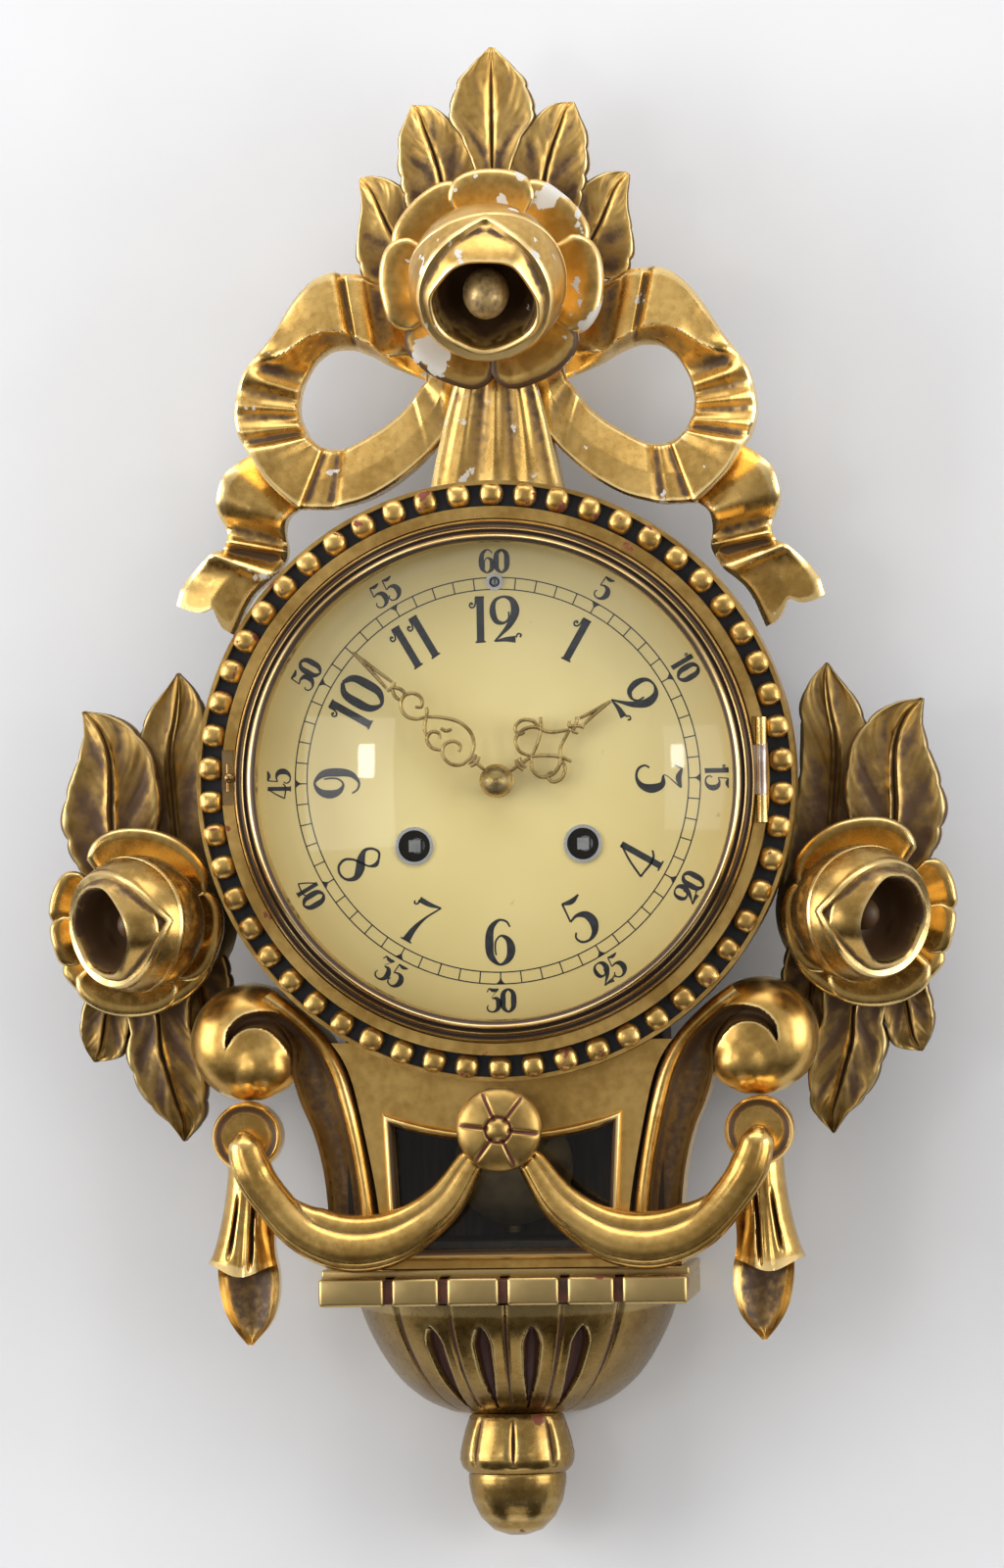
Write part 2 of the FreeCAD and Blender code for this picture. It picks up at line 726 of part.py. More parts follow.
def build_catch_plate():
    """A thin spring plate in the fillet, with a raised lip that the bezel snaps past."""
    half = catch_half_length()
    middle = size.hinge_centre_height
    floor = catch_floor()
    left = -size.fillet_outer_radius + size.joinery_gap
    width = size.fillet_outer_radius - size.fillet_inner_radius - 2 * size.joinery_gap
    plate = block(left, middle - half, floor, width, 2 * half, size.hinge_leaf_thickness)
    lip = Part.makeCylinder(size.hinge_leaf_thickness / 2, half,
                            spot(left + width / 2, floor + size.hinge_leaf_thickness, middle - half / 2))
    carved("catch_plate", plate.fuse(lip).removeSplitter())


# Dial: a plain disc on four feet, with sleeves in the winding holes and the regulator hole
def dial_foot_places():
    return [(side * size.plate_half_width * 0.72, z) for side in (-1, 1) for z in (-size.plate_bottom * 0.8,
            size.plate_top * 0.6)]


def build_dial_plate():
    body = new_body("dial_plate")
    disc = new_sketch(body, "XZ_Plane", size.dial_depth)
    draw_circle(disc, 0.0, 0.0, size.ring_bore_radius - size.dial_edge_gap)
    pad(body, disc, size.dial_thickness)
    feet = new_sketch(body, "XZ_Plane", front_plate_front())
    for x, z in dial_foot_places():
        draw_circle(feet, x, z, size.pillar_radius / 2)
    pad(body, feet, size.dial_depth - front_plate_front())
    holes = new_sketch(body, "XZ_Plane", size.dial_depth)
    draw_circle(holes, 0.0, 0.0, size.dial_centre_hole_radius)
    for side in (-1, 1):
        draw_circle(holes, side * size.winding_spread, -size.winding_drop, size.winding_hole_radius)
    draw_circle(holes, 0.0, size.regulator_height, size.regulator_hole_radius)
    cut(body, holes, size.dial_thickness)


def build_dial_grommets():
    """Bright sleeves with a lip, one in each hole of the dial."""
    front = size.dial_depth + size.dial_thickness
    sleeves = []
    places = [(side * size.winding_spread, -size.winding_drop, size.winding_hole_radius) for side in (-1, 1)]
    places.append((0.0, size.regulator_height, size.regulator_hole_radius))
    for x, z, hole in places:
        outer = hole - size.joinery_gap / 2
        sleeve = rod(x, size.dial_depth, z, outer, size.dial_thickness + size.grommet_lip)
        lip = rod(x, front, z, outer + size.grommet_lip, size.grommet_lip)
        bore = rod(x, size.dial_depth, z, outer - size.grommet_wall, size.dial_thickness + size.grommet_lip)
        sleeves.append(sleeve.fuse(lip).cut(bore).removeSplitter())
    carved("dial_grommets", Part.makeCompound(sleeves))


# Movement plates
def front_plate_back():
    return size.back_plate_depth + size.plate_thickness + size.plate_gap


def front_plate_front():
    return front_plate_back() + size.plate_thickness


def plate_corners():
    wide, low, top = size.plate_half_width, -size.plate_bottom, size.plate_top
    shoulder = top - wide * 0.4
    neck = wide * 0.62
    return [(-wide, low), (wide, low), (wide, shoulder), (neck, top), (-neck, top), (-wide, shoulder)]


def pillar_places():
    wide = size.plate_half_width - 1.3 * size.pillar_radius
    heights = (-size.plate_bottom + 1.5 * size.pillar_radius, size.plate_top * 0.62)
    return [(side * wide, z) for side in (-1, 1) for z in heights]


def pivot_places():
    """Each hole through both plates: its place and the radius of what turns in it."""
    train = train_places()
    holes = [(0.0, 0.0, size.cannon_radius), (0.0, size.suspension_height, size.arbor_radius)]
    holes += [(*train.intermediate, size.arbor_radius), (*train.third, size.arbor_radius / 2)]
    holes += [(*train.escape, size.arbor_radius / 2), (*hammer_pivot(), size.arbor_radius)]
    holes += [(side * size.winding_spread, -size.winding_drop, size.winding_arbor_radius) for side in (-1, 1)]
    holes.append((0.0, size.regulator_height, size.regulator_radius))
    return holes


def build_front_plate():
    body = new_body("front_plate")
    plate = new_sketch(body, "XZ_Plane", front_plate_back())
    draw_outline(plate, plate_corners())
    pad(body, plate, size.plate_thickness)
    holes = new_sketch(body, "XZ_Plane", front_plate_back())
    for x, z, radius in pivot_places():
        draw_circle(holes, x, z, radius + size.pivot_clearance)
    cut(body, holes, size.plate_thickness)


def build_back_plate():
    """The back plate with its four riveted pillars and the post for the bell."""
    body = new_body("back_plate")
    plate = new_sketch(body, "XZ_Plane", size.back_plate_depth)
    draw_outline(plate, plate_corners())
    pad(body, plate, size.plate_thickness)
    pillars = new_sketch(body, "XZ_Plane", size.back_plate_depth + size.plate_thickness)
    for x, z in pillar_places():
        draw_circle(pillars, x, z, size.pillar_radius)
    pad(body, pillars, size.plate_gap)
    bell = bell_place()
    post = new_sketch(body, "XZ_Plane", bell.seat)
    draw_circle(post, bell.x, bell.z, size.pillar_radius / 2)
    pad(body, post, size.back_plate_depth - bell.seat)
    stud = new_sketch(body, "XZ_Plane", bell.back - size.bell_wall)
    draw_circle(stud, bell.x, bell.z, size.pillar_radius / 4)
    pad(body, stud, bell.seat - bell.back + size.bell_wall)
    holes = new_sketch(body, "XZ_Plane", size.back_plate_depth)
    for x, z, radius in pivot_places():
        draw_circle(holes, x, z, radius + size.pivot_clearance)
    cut(body, holes, size.plate_thickness)


def build_movement_brackets():
    """Bent straps that hold the movement's back plate to the wall of the drum."""
    wall = size.drum_radius - size.shell_wall
    thickness = size.plate_thickness
    half_height = 3 * size.pillar_radius / 2
    inner = size.plate_half_width * 0.8
    outer = math.sqrt(wall ** 2 - half_height ** 2) - size.joinery_gap / 2
    plate_front = size.back_plate_depth + size.plate_thickness
    straps = []
    for side in (-1, 1):
        bar = block(inner, -half_height, plate_front, outer - inner, 2 * half_height, thickness)
        foot = block(outer - thickness, -half_height, plate_front, thickness, 2 * half_height,
                     size.bracket_foot)
        strap = bar.fuse(foot).removeSplitter()
        straps.append(strap if side > 0 else mirrored(strap))
    carved("movement_brackets", Part.makeCompound(straps))


# Trains: wheel centres follow from the modules and tooth counts
TEETH = SimpleNamespace(
    great=int(size.great_tooth_count), intermediate_pinion=int(size.intermediate_leaf_count),
    intermediate=int(size.intermediate_tooth_count), centre_pinion=int(size.centre_leaf_count),
    centre=int(size.centre_tooth_count), third_pinion=int(size.third_leaf_count),
    third=int(size.third_tooth_count),
    escape_pinion=int(size.escape_leaf_count), escape=int(size.escape_tooth_count),
    cannon=int(size.cannon_leaf_count),
    minute=int(size.minute_tooth_count), minute_pinion=int(size.minute_leaf_count),
    hour=int(size.hour_tooth_count))


def pitch_distance(module, first, second):
    return float(module) * (first + second) / 2


def meeting_point(first, first_reach, second, second_reach, side):
    """The point at given distances from two centres, to the left or right of the line between them."""
    across, up = second[0] - first[0], second[1] - first[1]
    span = math.hypot(across, up)
    along = (first_reach ** 2 - second_reach ** 2 + span ** 2) / (2 * span)
    off = side * math.sqrt(first_reach ** 2 - along ** 2)
    return (first[0] + (along * across - off * up) / span, first[1] + (along * up + off * across) / span)


def train_places():
    barrel = (float(size.winding_spread), -float(size.winding_drop))
    centre = (0.0, 0.0)
    to_barrel = pitch_distance(size.great_module, TEETH.great, TEETH.intermediate_pinion)
    to_centre = pitch_distance(size.intermediate_module, TEETH.intermediate, TEETH.centre_pinion)
    intermediate = meeting_point(centre, to_centre, barrel, to_barrel, 1)
    escape = (0.0, float(size.suspension_height) - 2.45 * float(size.escape_radius))
    to_third = pitch_distance(size.centre_module, TEETH.centre, TEETH.third_pinion)
    to_escape = pitch_distance(size.third_module, TEETH.third, TEETH.escape_pinion)
    third = meeting_point(centre, to_third, escape, to_escape, 1)
    minute = (0.0, -pitch_distance(size.motion_module, TEETH.cannon, TEETH.minute))
    return SimpleNamespace(barrel=barrel, intermediate=intermediate, third=third, escape=escape,
                           minute=minute)


def toothed_disc(x, z, depth, module, teeth, thickness, phase, leaf=False):
    """A wheel or pinion blank with straight-sided teeth, cut narrow so that a pair runs free.
    The phase is the angle of the middle of one tooth."""
    pitch_radius = float(module) * teeth / 2
    tip, root = pitch_radius + 0.72 * module, pitch_radius - 1.05 * module
    if leaf:
        tip, root = pitch_radius + 0.5 * module, pitch_radius - 1.12 * module
    pitch = 2 * math.pi / teeth
    root_half, tip_half = (0.17 * pitch, 0.10 * pitch) if leaf else (0.22 * pitch, 0.09 * pitch)
    corners = []
    for number in range(teeth):
        middle = phase + number * pitch
        for angle, radius in ((-root_half, root), (-tip_half, tip), (tip_half, tip), (root_half, root)):
            turn_angle = middle + angle
            corners.append(spot(x + radius * math.cos(turn_angle), depth, z + radius * math.sin(turn_angle)))
    return Part.Face(Part.makePolygon(corners + corners[:1])).extrude(toward_room(thickness))


def mesh_phase(driver, driver_teeth, driver_phase, driven, driven_teeth):
    """The driven wheel's phase that puts one of its gaps on a tooth of the driver."""
    line = math.atan2(driven[1] - driver[1], driven[0] - driver[0])
    offset = (line - driver_phase) * driver_teeth / driven_teeth
    return line + math.pi + offset + math.pi / driven_teeth


def spoked(disc, x, z, depth, thickness, outer, inner, arms=4):
    """Crosses out a wheel: leaves a rim, a hub and a few arms."""
    ring = rod(x, depth, z, outer, thickness).cut(rod(x, depth, z, inner, thickness))
    arm_width = inner * 0.6
    for number in range(arms // 2):
        arm = block(-outer, -arm_width / 2, depth, 2 * outer, arm_width, thickness)
        arm.rotate(Vector(0, 0, 0), Vector(0, 1, 0), 45 + number * 360 / arms)
        arm.translate(Vector(x, 0, z))
        ring = ring.cut(arm)
    return disc.cut(ring)


def train_layout():
    """Depths of the wheels between the plates and in front of them, and the phases that put them in mesh."""
    place = train_places()
    inside = float(size.back_plate_depth + size.plate_thickness)
    gap = float(size.plate_gap)
    wheel = float(size.wheel_thickness)
    front = float(front_plate_front())
    depth = SimpleNamespace(
        great=inside + float(size.great_wheel_gap),
        intermediate=float(front_plate_back() - size.intermediate_wheel_gap) + wheel,
        centre=inside + 0.625 * gap, third=inside + 0.375 * gap, escape=inside + gap / 6,
        cannon=front + float(size.cannon_gap), hour=front + float(size.hour_wheel_gap),
        leaf_margin=float(size.leaf_margin))
    phase = SimpleNamespace(great=0.0, cannon=0.0)
    phase.intermediate_pinion = mesh_phase(place.barrel, TEETH.great, phase.great, place.intermediate,
                                           TEETH.intermediate_pinion)
    phase.intermediate = 0.0
    phase.centre_pinion = mesh_phase(place.intermediate, TEETH.intermediate, phase.intermediate, (0, 0),
                                     TEETH.centre_pinion)
    phase.centre = 0.0
    phase.third_pinion = mesh_phase((0, 0), TEETH.centre, phase.centre, place.third, TEETH.third_pinion)
    phase.third = 0.0
    phase.escape_pinion = mesh_phase(place.third, TEETH.third, phase.third, place.escape, TEETH.escape_pinion)
    phase.minute = mesh_phase((0, 0), TEETH.cannon, phase.cannon, place.minute, TEETH.minute)
    phase.minute_pinion = 0.0
    phase.hour = mesh_phase(place.minute, TEETH.minute_pinion, phase.minute_pinion, (0, 0), TEETH.hour)
    return place, depth, phase, wheel


def build_barrels():
    """Spring drums; the going one carries the great wheel."""
    place, depth, phase, wheel = train_layout()
    for label, side in (("going_barrel", 1), ("strike_barrel", -1)):
        x, z = side * size.winding_spread, -size.winding_drop
        bore = size.winding_arbor_radius + size.pivot_clearance
        drum_depth = depth.great + wheel
        great = toothed_disc(x, z, depth.great, size.great_module, TEETH.great, wheel, phase.great)
        if side < 0:
            great = rod(x, depth.great, z, size.barrel_radius + size.great_module, wheel)
        drum = rod(x, drum_depth, z, size.barrel_radius, size.barrel_length)
        lid = rod(x, drum_depth + size.barrel_length, z, size.barrel_radius - size.bell_wall, wheel / 2)
        hole = rod(x, depth.great, z, bore, 2 * size.barrel_length)
        carved(label, great.fuse([drum, lid]).cut(hole).removeSplitter())


def build_winding_arbors():
    """Arbors that run through the barrel and both plates and end in a square under the dial."""
    back = size.back_plate_depth
    shoulder = front_plate_front() + size.plate_thickness
    square_end = size.dial_depth - size.joinery_gap
    half = size.winding_square / 2
    for label, side in (("going_winding_arbor", 1), ("strike_winding_arbor", -1)):
        x, z = side * size.winding_spread, -size.winding_drop
        shaft = rod(x, back, z, size.winding_arbor_radius, shoulder - back)
        square = block(x - half, z - half, shoulder, size.winding_square, size.winding_square,
                       square_end - shoulder)
        carved(label, shaft.fuse(square).removeSplitter())


def build_train_wheels():
    place, depth, phase, wheel = train_layout()
    back, front = float(size.back_plate_depth), float(front_plate_front())
    margin = depth.leaf_margin
    leaves = wheel + 2 * margin
    through = front - back

    arbor = rod(*(place.intermediate[0], back, place.intermediate[1]), size.arbor_radius, through)
    wheel_disc = toothed_disc(*flat(place.intermediate, depth.intermediate), size.intermediate_module,
                              TEETH.intermediate,
                              wheel, phase.intermediate)
    wheel_disc = spoked(wheel_disc, *flat(place.intermediate, depth.intermediate), wheel,
                        size.intermediate_module * TEETH.intermediate * 0.4, 3 * size.arbor_radius)
    pinion = toothed_disc(*flat(place.intermediate, depth.great - margin), size.great_module,
                          TEETH.intermediate_pinion,
                          leaves, phase.intermediate_pinion, leaf=True)
    carved("intermediate_wheel", arbor.fuse([wheel_disc, pinion]).removeSplitter())

    pivot = size.arbor_radius / 2
    arbor = rod(place.third[0], back, place.third[1], pivot, through)
    disc = toothed_disc(*flat(place.third, depth.third), size.third_module, TEETH.third, wheel, phase.third)
    disc = spoked(disc, *flat(place.third, depth.third), wheel, size.third_module * TEETH.third * 0.4,
                  2 * size.arbor_radius)
    pinion = toothed_disc(*flat(place.third, depth.centre - margin), size.centre_module, TEETH.third_pinion,
                          leaves,
                          phase.third_pinion, leaf=True)
    carved("third_wheel", arbor.fuse([disc, pinion]).removeSplitter())

    arbor = rod(place.escape[0], back, place.escape[1], pivot, through)
    disc = escape_disc(place.escape, depth.escape, wheel)
    disc = spoked(disc, *flat(place.escape, depth.escape), wheel, size.escape_radius * 0.74,
                  2 * size.arbor_radius)
    pinion = toothed_disc(*flat(place.escape, depth.third - margin), size.third_module, TEETH.escape_pinion,
                          leaves,
                          phase.escape_pinion, leaf=True)
    carved("escape_wheel", arbor.fuse([disc, pinion]).removeSplitter())


def flat(place, depth):
    return (place[0], place[1], depth)


def escape_disc(place, depth, thickness):
    """The escape wheel: leaning pointed teeth."""
    corners = []
    for number in range(TEETH.escape):
        middle = 2 * math.pi * number / TEETH.escape
        for lead, radius in ((0.0, size.escape_radius), (0.035, size.escape_radius * 0.9)):
            angle = middle + lead
            corners.append(spot(place[0] + radius * math.cos(angle), depth,
                                place[1] + radius * math.sin(angle)))
    return Part.Face(Part.makePolygon(corners + corners[:1])).extrude(toward_room(thickness))


def hands_places():
    dial_front = size.dial_depth + size.dial_thickness
    return SimpleNamespace(hour=dial_front + size.hour_hand_lift, minute=dial_front + size.minute_hand_lift)


def build_centre_wheel():
    """The centre arbor with its wheel, pinion and the cannon that carries the minute hand."""
    place, depth, phase, wheel = train_layout()
    margin = depth.leaf_margin
    hands = hands_places()
    back = size.back_plate_depth
    shaft = rod(0, back, 0, size.cannon_radius, hands.minute + size.hand_thickness + size.joinery_gap - back)
    disc = toothed_disc(0, 0, depth.centre, size.centre_module, TEETH.centre, wheel, phase.centre)
    disc = spoked(disc, 0, 0, depth.centre, wheel, size.centre_module * TEETH.centre * 0.4,
                  3 * size.arbor_radius)
    pinion = toothed_disc(0, 0, depth.intermediate - margin / 2, size.intermediate_module,
                          TEETH.centre_pinion, wheel + margin,
                          phase.centre_pinion, leaf=True)
    cannon = toothed_disc(0, 0, depth.cannon, size.motion_module, TEETH.cannon, wheel + margin, phase.cannon,
                          leaf=True)
    carved("centre_wheel", shaft.fuse([disc, pinion, cannon]).removeSplitter())


def build_motion_work():
    """The minute wheel and its pinion, and the hour wheel whose pipe carries the hour hand."""
    place, depth, phase, wheel = train_layout()
    x, z = place.minute
    margin = depth.leaf_margin
    foot = float(front_plate_front() + size.joinery_gap)
    motion = size.motion_module
    second_module = motion * (TEETH.cannon + TEETH.minute) / (TEETH.minute_pinion + TEETH.hour)
    disc = toothed_disc(x, z, depth.cannon + margin / 2, motion, TEETH.minute, wheel, phase.minute)
    pinion = toothed_disc(x, z, depth.cannon + margin / 2 + wheel, second_module, TEETH.minute_pinion,
                          depth.hour + wheel + margin - depth.cannon - margin / 2 - wheel,
                          phase.minute_pinion, leaf=True)
    hub = rod(x, foot, z, size.cannon_radius, depth.cannon + margin / 2 - foot)
    carved("minute_wheel", disc.fuse([pinion, hub]).removeSplitter())

    hands = hands_places()
    wheel_disc = toothed_disc(0, 0, depth.hour, second_module, TEETH.hour, wheel, phase.hour)
    pipe = rod(0, depth.hour, 0, size.hour_pipe_radius, hands.hour + size.hand_thickness - depth.hour)
    bore = rod(0, depth.hour, 0, size.cannon_radius + size.pivot_clearance,
               hands.hour + size.hand_thickness - depth.hour)
    carved("hour_wheel", wheel_disc.fuse(pipe).cut(bore).removeSplitter())


# Hands: pierced gilt scrolls, each cut from one sheet
def hand_shape(length, bore, depth, angle, thickness, widest):
    """A hand pointing up the Z axis, then turned clockwise: a hub, pairs of open scrolls and a pointed leaf."""
    hub = rod(0, depth, 0, size.hand_hub_radius * 0.6, thickness)
    reach = float(length)
    stem = block(-1.0, 0.0, depth, 2.0, reach * 0.9, thickness)
    pieces = [stem]
    for centre, radius, wall in widest:
        for side in (-1, 1):
            x, z = side * radius * reach, centre * reach
            ring = rod(x, depth, z, radius * reach, thickness)
            pieces.append(ring.cut(rod(x, depth, z, (radius - wall) * reach, thickness)))
    half = 0.055 * reach
    edge = [(0.0, 0.72 * reach), (-half, 0.82 * reach), (0.0, reach)]
    other = [(0.0, 0.72 * reach), (half, 0.82 * reach), (0.0, reach)]
    tip = Part.Face(Part.Wire([curve_edge(edge, depth),
                               curve_edge(other[::-1], depth)])).extrude(toward_room(thickness))
    hand = hub.fuse(pieces + [tip]).cut(rod(0, depth, 0, bore, thickness)).removeSplitter()
    hand.rotate(Vector(0, 0, 0), Vector(0, 1, 0), float(angle))
    return hand


def build_hands():
    hands = hands_places()
    clear = size.joinery_gap / 4
    scrolls = [(0.30, 0.085, 0.03), (0.50, 0.07, 0.026), (0.655, 0.05, 0.022)]
    minute = hand_shape(size.minute_hand_length, size.cannon_radius + clear, hands.minute,
                        size.minute_hand_angle,
                        size.hand_thickness, scrolls)
    carved("minute_hand", minute)
    scrolls = [(0.34, 0.11, 0.038), (0.58, 0.09, 0.034)]
    hour = hand_shape(size.hour_hand_length, size.hour_pipe_radius + clear, hands.hour, size.hour_hand_angle,
                      size.hand_thickness, scrolls)
    carved("hour_hand", hour)
    body = new_body("hand_nut")
    base = hands.minute + size.hand_thickness + 2 * size.joinery_gap
    radius = size.hand_hub_radius * 0.72
    rise = size.hand_hub_radius * 0.5
    profile = new_sketch(body, "XY_Plane")
    crown = (radius * radius + rise * rise) / (2 * rise)
    draw_outline(profile, [(0.0, -base), (0.0, -(base + rise), crown), (radius, -base)])
    turn(body, profile)


# Pendulum: anchor, crutch, rod on its suspension spring, and the bob with its rating nut
def build_suspension_cock():
    """The block on the back plate that grips the suspension spring."""
    half = 4 * size.rod_radius
    low = size.suspension_height + 1.5 * size.rod_radius
    depth = size.pendulum_depth - 2.5 * size.rod_radius
    cock = block(-half, low, depth, 2 * half, 6 * size.rod_radius, size.back_plate_depth - depth)
    carved("suspension_cock", cock)


def build_anchor():
    """The anchor on its arbor, with the crutch that drives the pendulum rod. The pallets stand clear of the
    escape wheel, which is let go one tooth at a time."""
    place, depth, phase, wheel = train_layout()
    z = size.suspension_height
    front = front_plate_front()
    crutch_depth = size.pendulum_depth + 2 * size.rod_radius
    arbor = rod(0, crutch_depth, z, size.arbor_radius, front - crutch_depth)
    drop = z - place.escape[1]
    tip_radius = size.escape_radius + size.pallet_clearance
    heel_radius = tip_radius + size.pallet_length
    arms = []
    for side in (-1, 1):
        spread = math.radians(size.pallet_spread_angle)
        pallet = (side * tip_radius * math.sin(spread), place.escape[1] + tip_radius * math.cos(spread))
        outer = (side * heel_radius * math.sin(spread), place.escape[1] + heel_radius * math.cos(spread))
        hub = size.arbor_radius
        corners = [(side * -0.8 * hub, z + 1.75 * hub), (side * 2.7 * hub, z + hub), outer, pallet,
                   (side * 1.3 * hub, z - 1.6 * hub)]
        points = [spot(x, depth.escape, up) for x, up in corners]
        arms.append(Part.Face(Part.makePolygon(points + points[:1])).extrude(toward_room(wheel)))
    crutch_length = drop * 1.35
    width = size.crutch_width
    crutch = block(-width / 2, z - crutch_length, crutch_depth, width, crutch_length, wheel)
    pin_radius = width / 3
    pin_x = size.rod_radius + pin_radius + size.joinery_gap
    fork_half = pin_x + pin_radius
    fork = block(-fork_half, z - crutch_length, crutch_depth, 2 * fork_half, width, wheel)
    pins = [rod(side * pin_x, size.pendulum_depth - size.rod_radius, z - crutch_length + width / 2,
                pin_radius,
                crutch_depth - size.pendulum_depth + size.rod_radius + wheel / 2) for side in (-1, 1)]
    carved("anchor", arbor.fuse(arms + [crutch, fork] + pins).removeSplitter())


def build_pendulum():
    top = size.suspension_height + 1.5 * size.rod_radius - size.joinery_gap
    bob_z = size.suspension_height - size.pendulum_length
    spring_foot = size.suspension_height - 8 * size.rod_radius
    depth = size.pendulum_depth
    leaf = block(-0.2, spring_foot, depth - 1.5 * size.rod_radius, 0.4, top - spring_foot,
                 3 * size.rod_radius)
    clamp = block(-1.5 * size.rod_radius, spring_foot - 2 * size.rod_radius, depth - 1.5 * size.rod_radius,
                  3 * size.rod_radius, 3 * size.rod_radius, 3 * size.rod_radius)
    foot = bob_z + size.bob_radius + size.joinery_gap
    shaft = Part.makeCylinder(size.rod_radius, spring_foot - foot, spot(0, depth, foot))
    carved("pendulum_rod", leaf.fuse([clamp, shaft]).removeSplitter())

    crown = size.bob_thickness / 2
    edge = 0.28 * crown
    radius = size.bob_radius
    rise = crown - edge
    curve = (radius ** 2 + rise ** 2) / (2 * rise)
    front_ball = Part.makeSphere(curve, spot(0, depth + crown - curve, bob_z))
    back_ball = Part.makeSphere(curve, spot(0, depth - crown + curve, bob_z))
    lens = rod(0, depth - crown, bob_z, radius, 2 * crown).common(front_ball).common(back_ball)
    nut_gap = size.joinery_gap
    nut_height = 1.6 * size.rod_radius
    nut = Part.makeCylinder(2.2 * size.rod_radius, nut_height,
                            spot(0, depth, bob_z - radius - nut_gap - nut_height))
    carved("pendulum_bob", Part.makeCompound([lens, nut]))


# Bell and hammer behind the back plate
def bell_place():
    back = size.board_thickness + 2 * size.bell_wall
    return SimpleNamespace(x=-(size.plate_half_width - 1.2 * size.pillar_radius), z=size.bell_radius,
                           back=back,
                           seat=back + size.bell_wall + size.joinery_gap)


def hammer_pivot():
    bell = bell_place()
    return (float(bell.x + size.hammer_reach), float(bell.z + size.bell_radius + size.hammer_rise))


def build_bell():
    body = new_body("bell")
    place = bell_place()
    place_body(body, x=place.x, z=place.z)
    radius, wall = size.bell_radius, size.bell_wall
    hole = size.pillar_radius / 4 + size.screw_clearance
    mouth = place.back + radius * 0.6
    profile = new_sketch(body, "XY_Plane")
    curve = radius * 1.1
    draw_outline(profile, [
        (hole, -place.back), (radius * 0.45, -place.back, curve), (radius, -mouth),
        (radius - wall, -mouth, -curve),
        (radius * 0.45 - wall / 2, -(place.back + wall)), (hole, -(place.back + wall))])
    turn(body, profile)


def build_hammer():
    """A swinging arm on its own arbor, with the head just clear of the bell's rim."""
    bell = bell_place()
    x, z = hammer_pivot()
    head_radius = size.hammer_head_radius
    head = (float(bell.x + size.bell_wall), float(bell.z + size.bell_radius + 1.3 * head_radius))
    arm_depth = size.back_plate_depth - size.wheel_thickness - 2 * size.joinery_gap
    arbor = rod(x, arm_depth, z, size.arbor_radius, front_plate_front() - arm_depth)
    reach = math.hypot(head[0] - x, head[1] - z)
    width = size.hammer_arm_width
    arm = block(0.0, -width / 2, arm_depth, reach, width, size.wheel_thickness)
    arm.rotate(Vector(0, 0, 0), Vector(0, 1, 0), -math.degrees(math.atan2(head[1] - z, head[0] - x)))
    arm.translate(Vector(x, 0, z))
    knob = rod(head[0], bell.back + size.bell_radius * 0.3, head[1], head_radius,
               arm_depth + size.wheel_thickness - bell.back - size.bell_radius * 0.3)
    carved("hammer", arbor.fuse([arm, knob]).removeSplitter())


def build_regulator_arbor():
    """The thin arbor over the movement that adjusts the suspension from the dial."""
    body = new_body("regulator_arbor")
    place_body(body, z=size.regulator_height)
    shaft = new_sketch(body, "XZ_Plane", size.back_plate_depth)
    draw_circle(shaft, 0.0, 0.0, size.regulator_radius)
    pad(body, shaft, size.dial_depth - size.back_plate_depth)
    stop = new_sketch(body, "XZ_Plane", front_plate_front() + size.joinery_gap)
    draw_circle(stop, 0.0, 0.0, 2 * size.regulator_radius)
    pad(body, stop, size.plate_thickness)


# Crest: leaves, rose, bow with its tails and the pleated fan that carries them on the drum
def crest_height():
    return size.ring_outer_radius + size.crest_rise


def midrib(foot, tip, depth, radius):
    """A round groove along the face of a leaf."""
    way = spot(tip[0] - foot[0], 0, tip[1] - foot[1])
    return Part.makeCylinder(radius, way.Length, spot(foot[0], depth + 0.55 * radius, foot[1]), way)


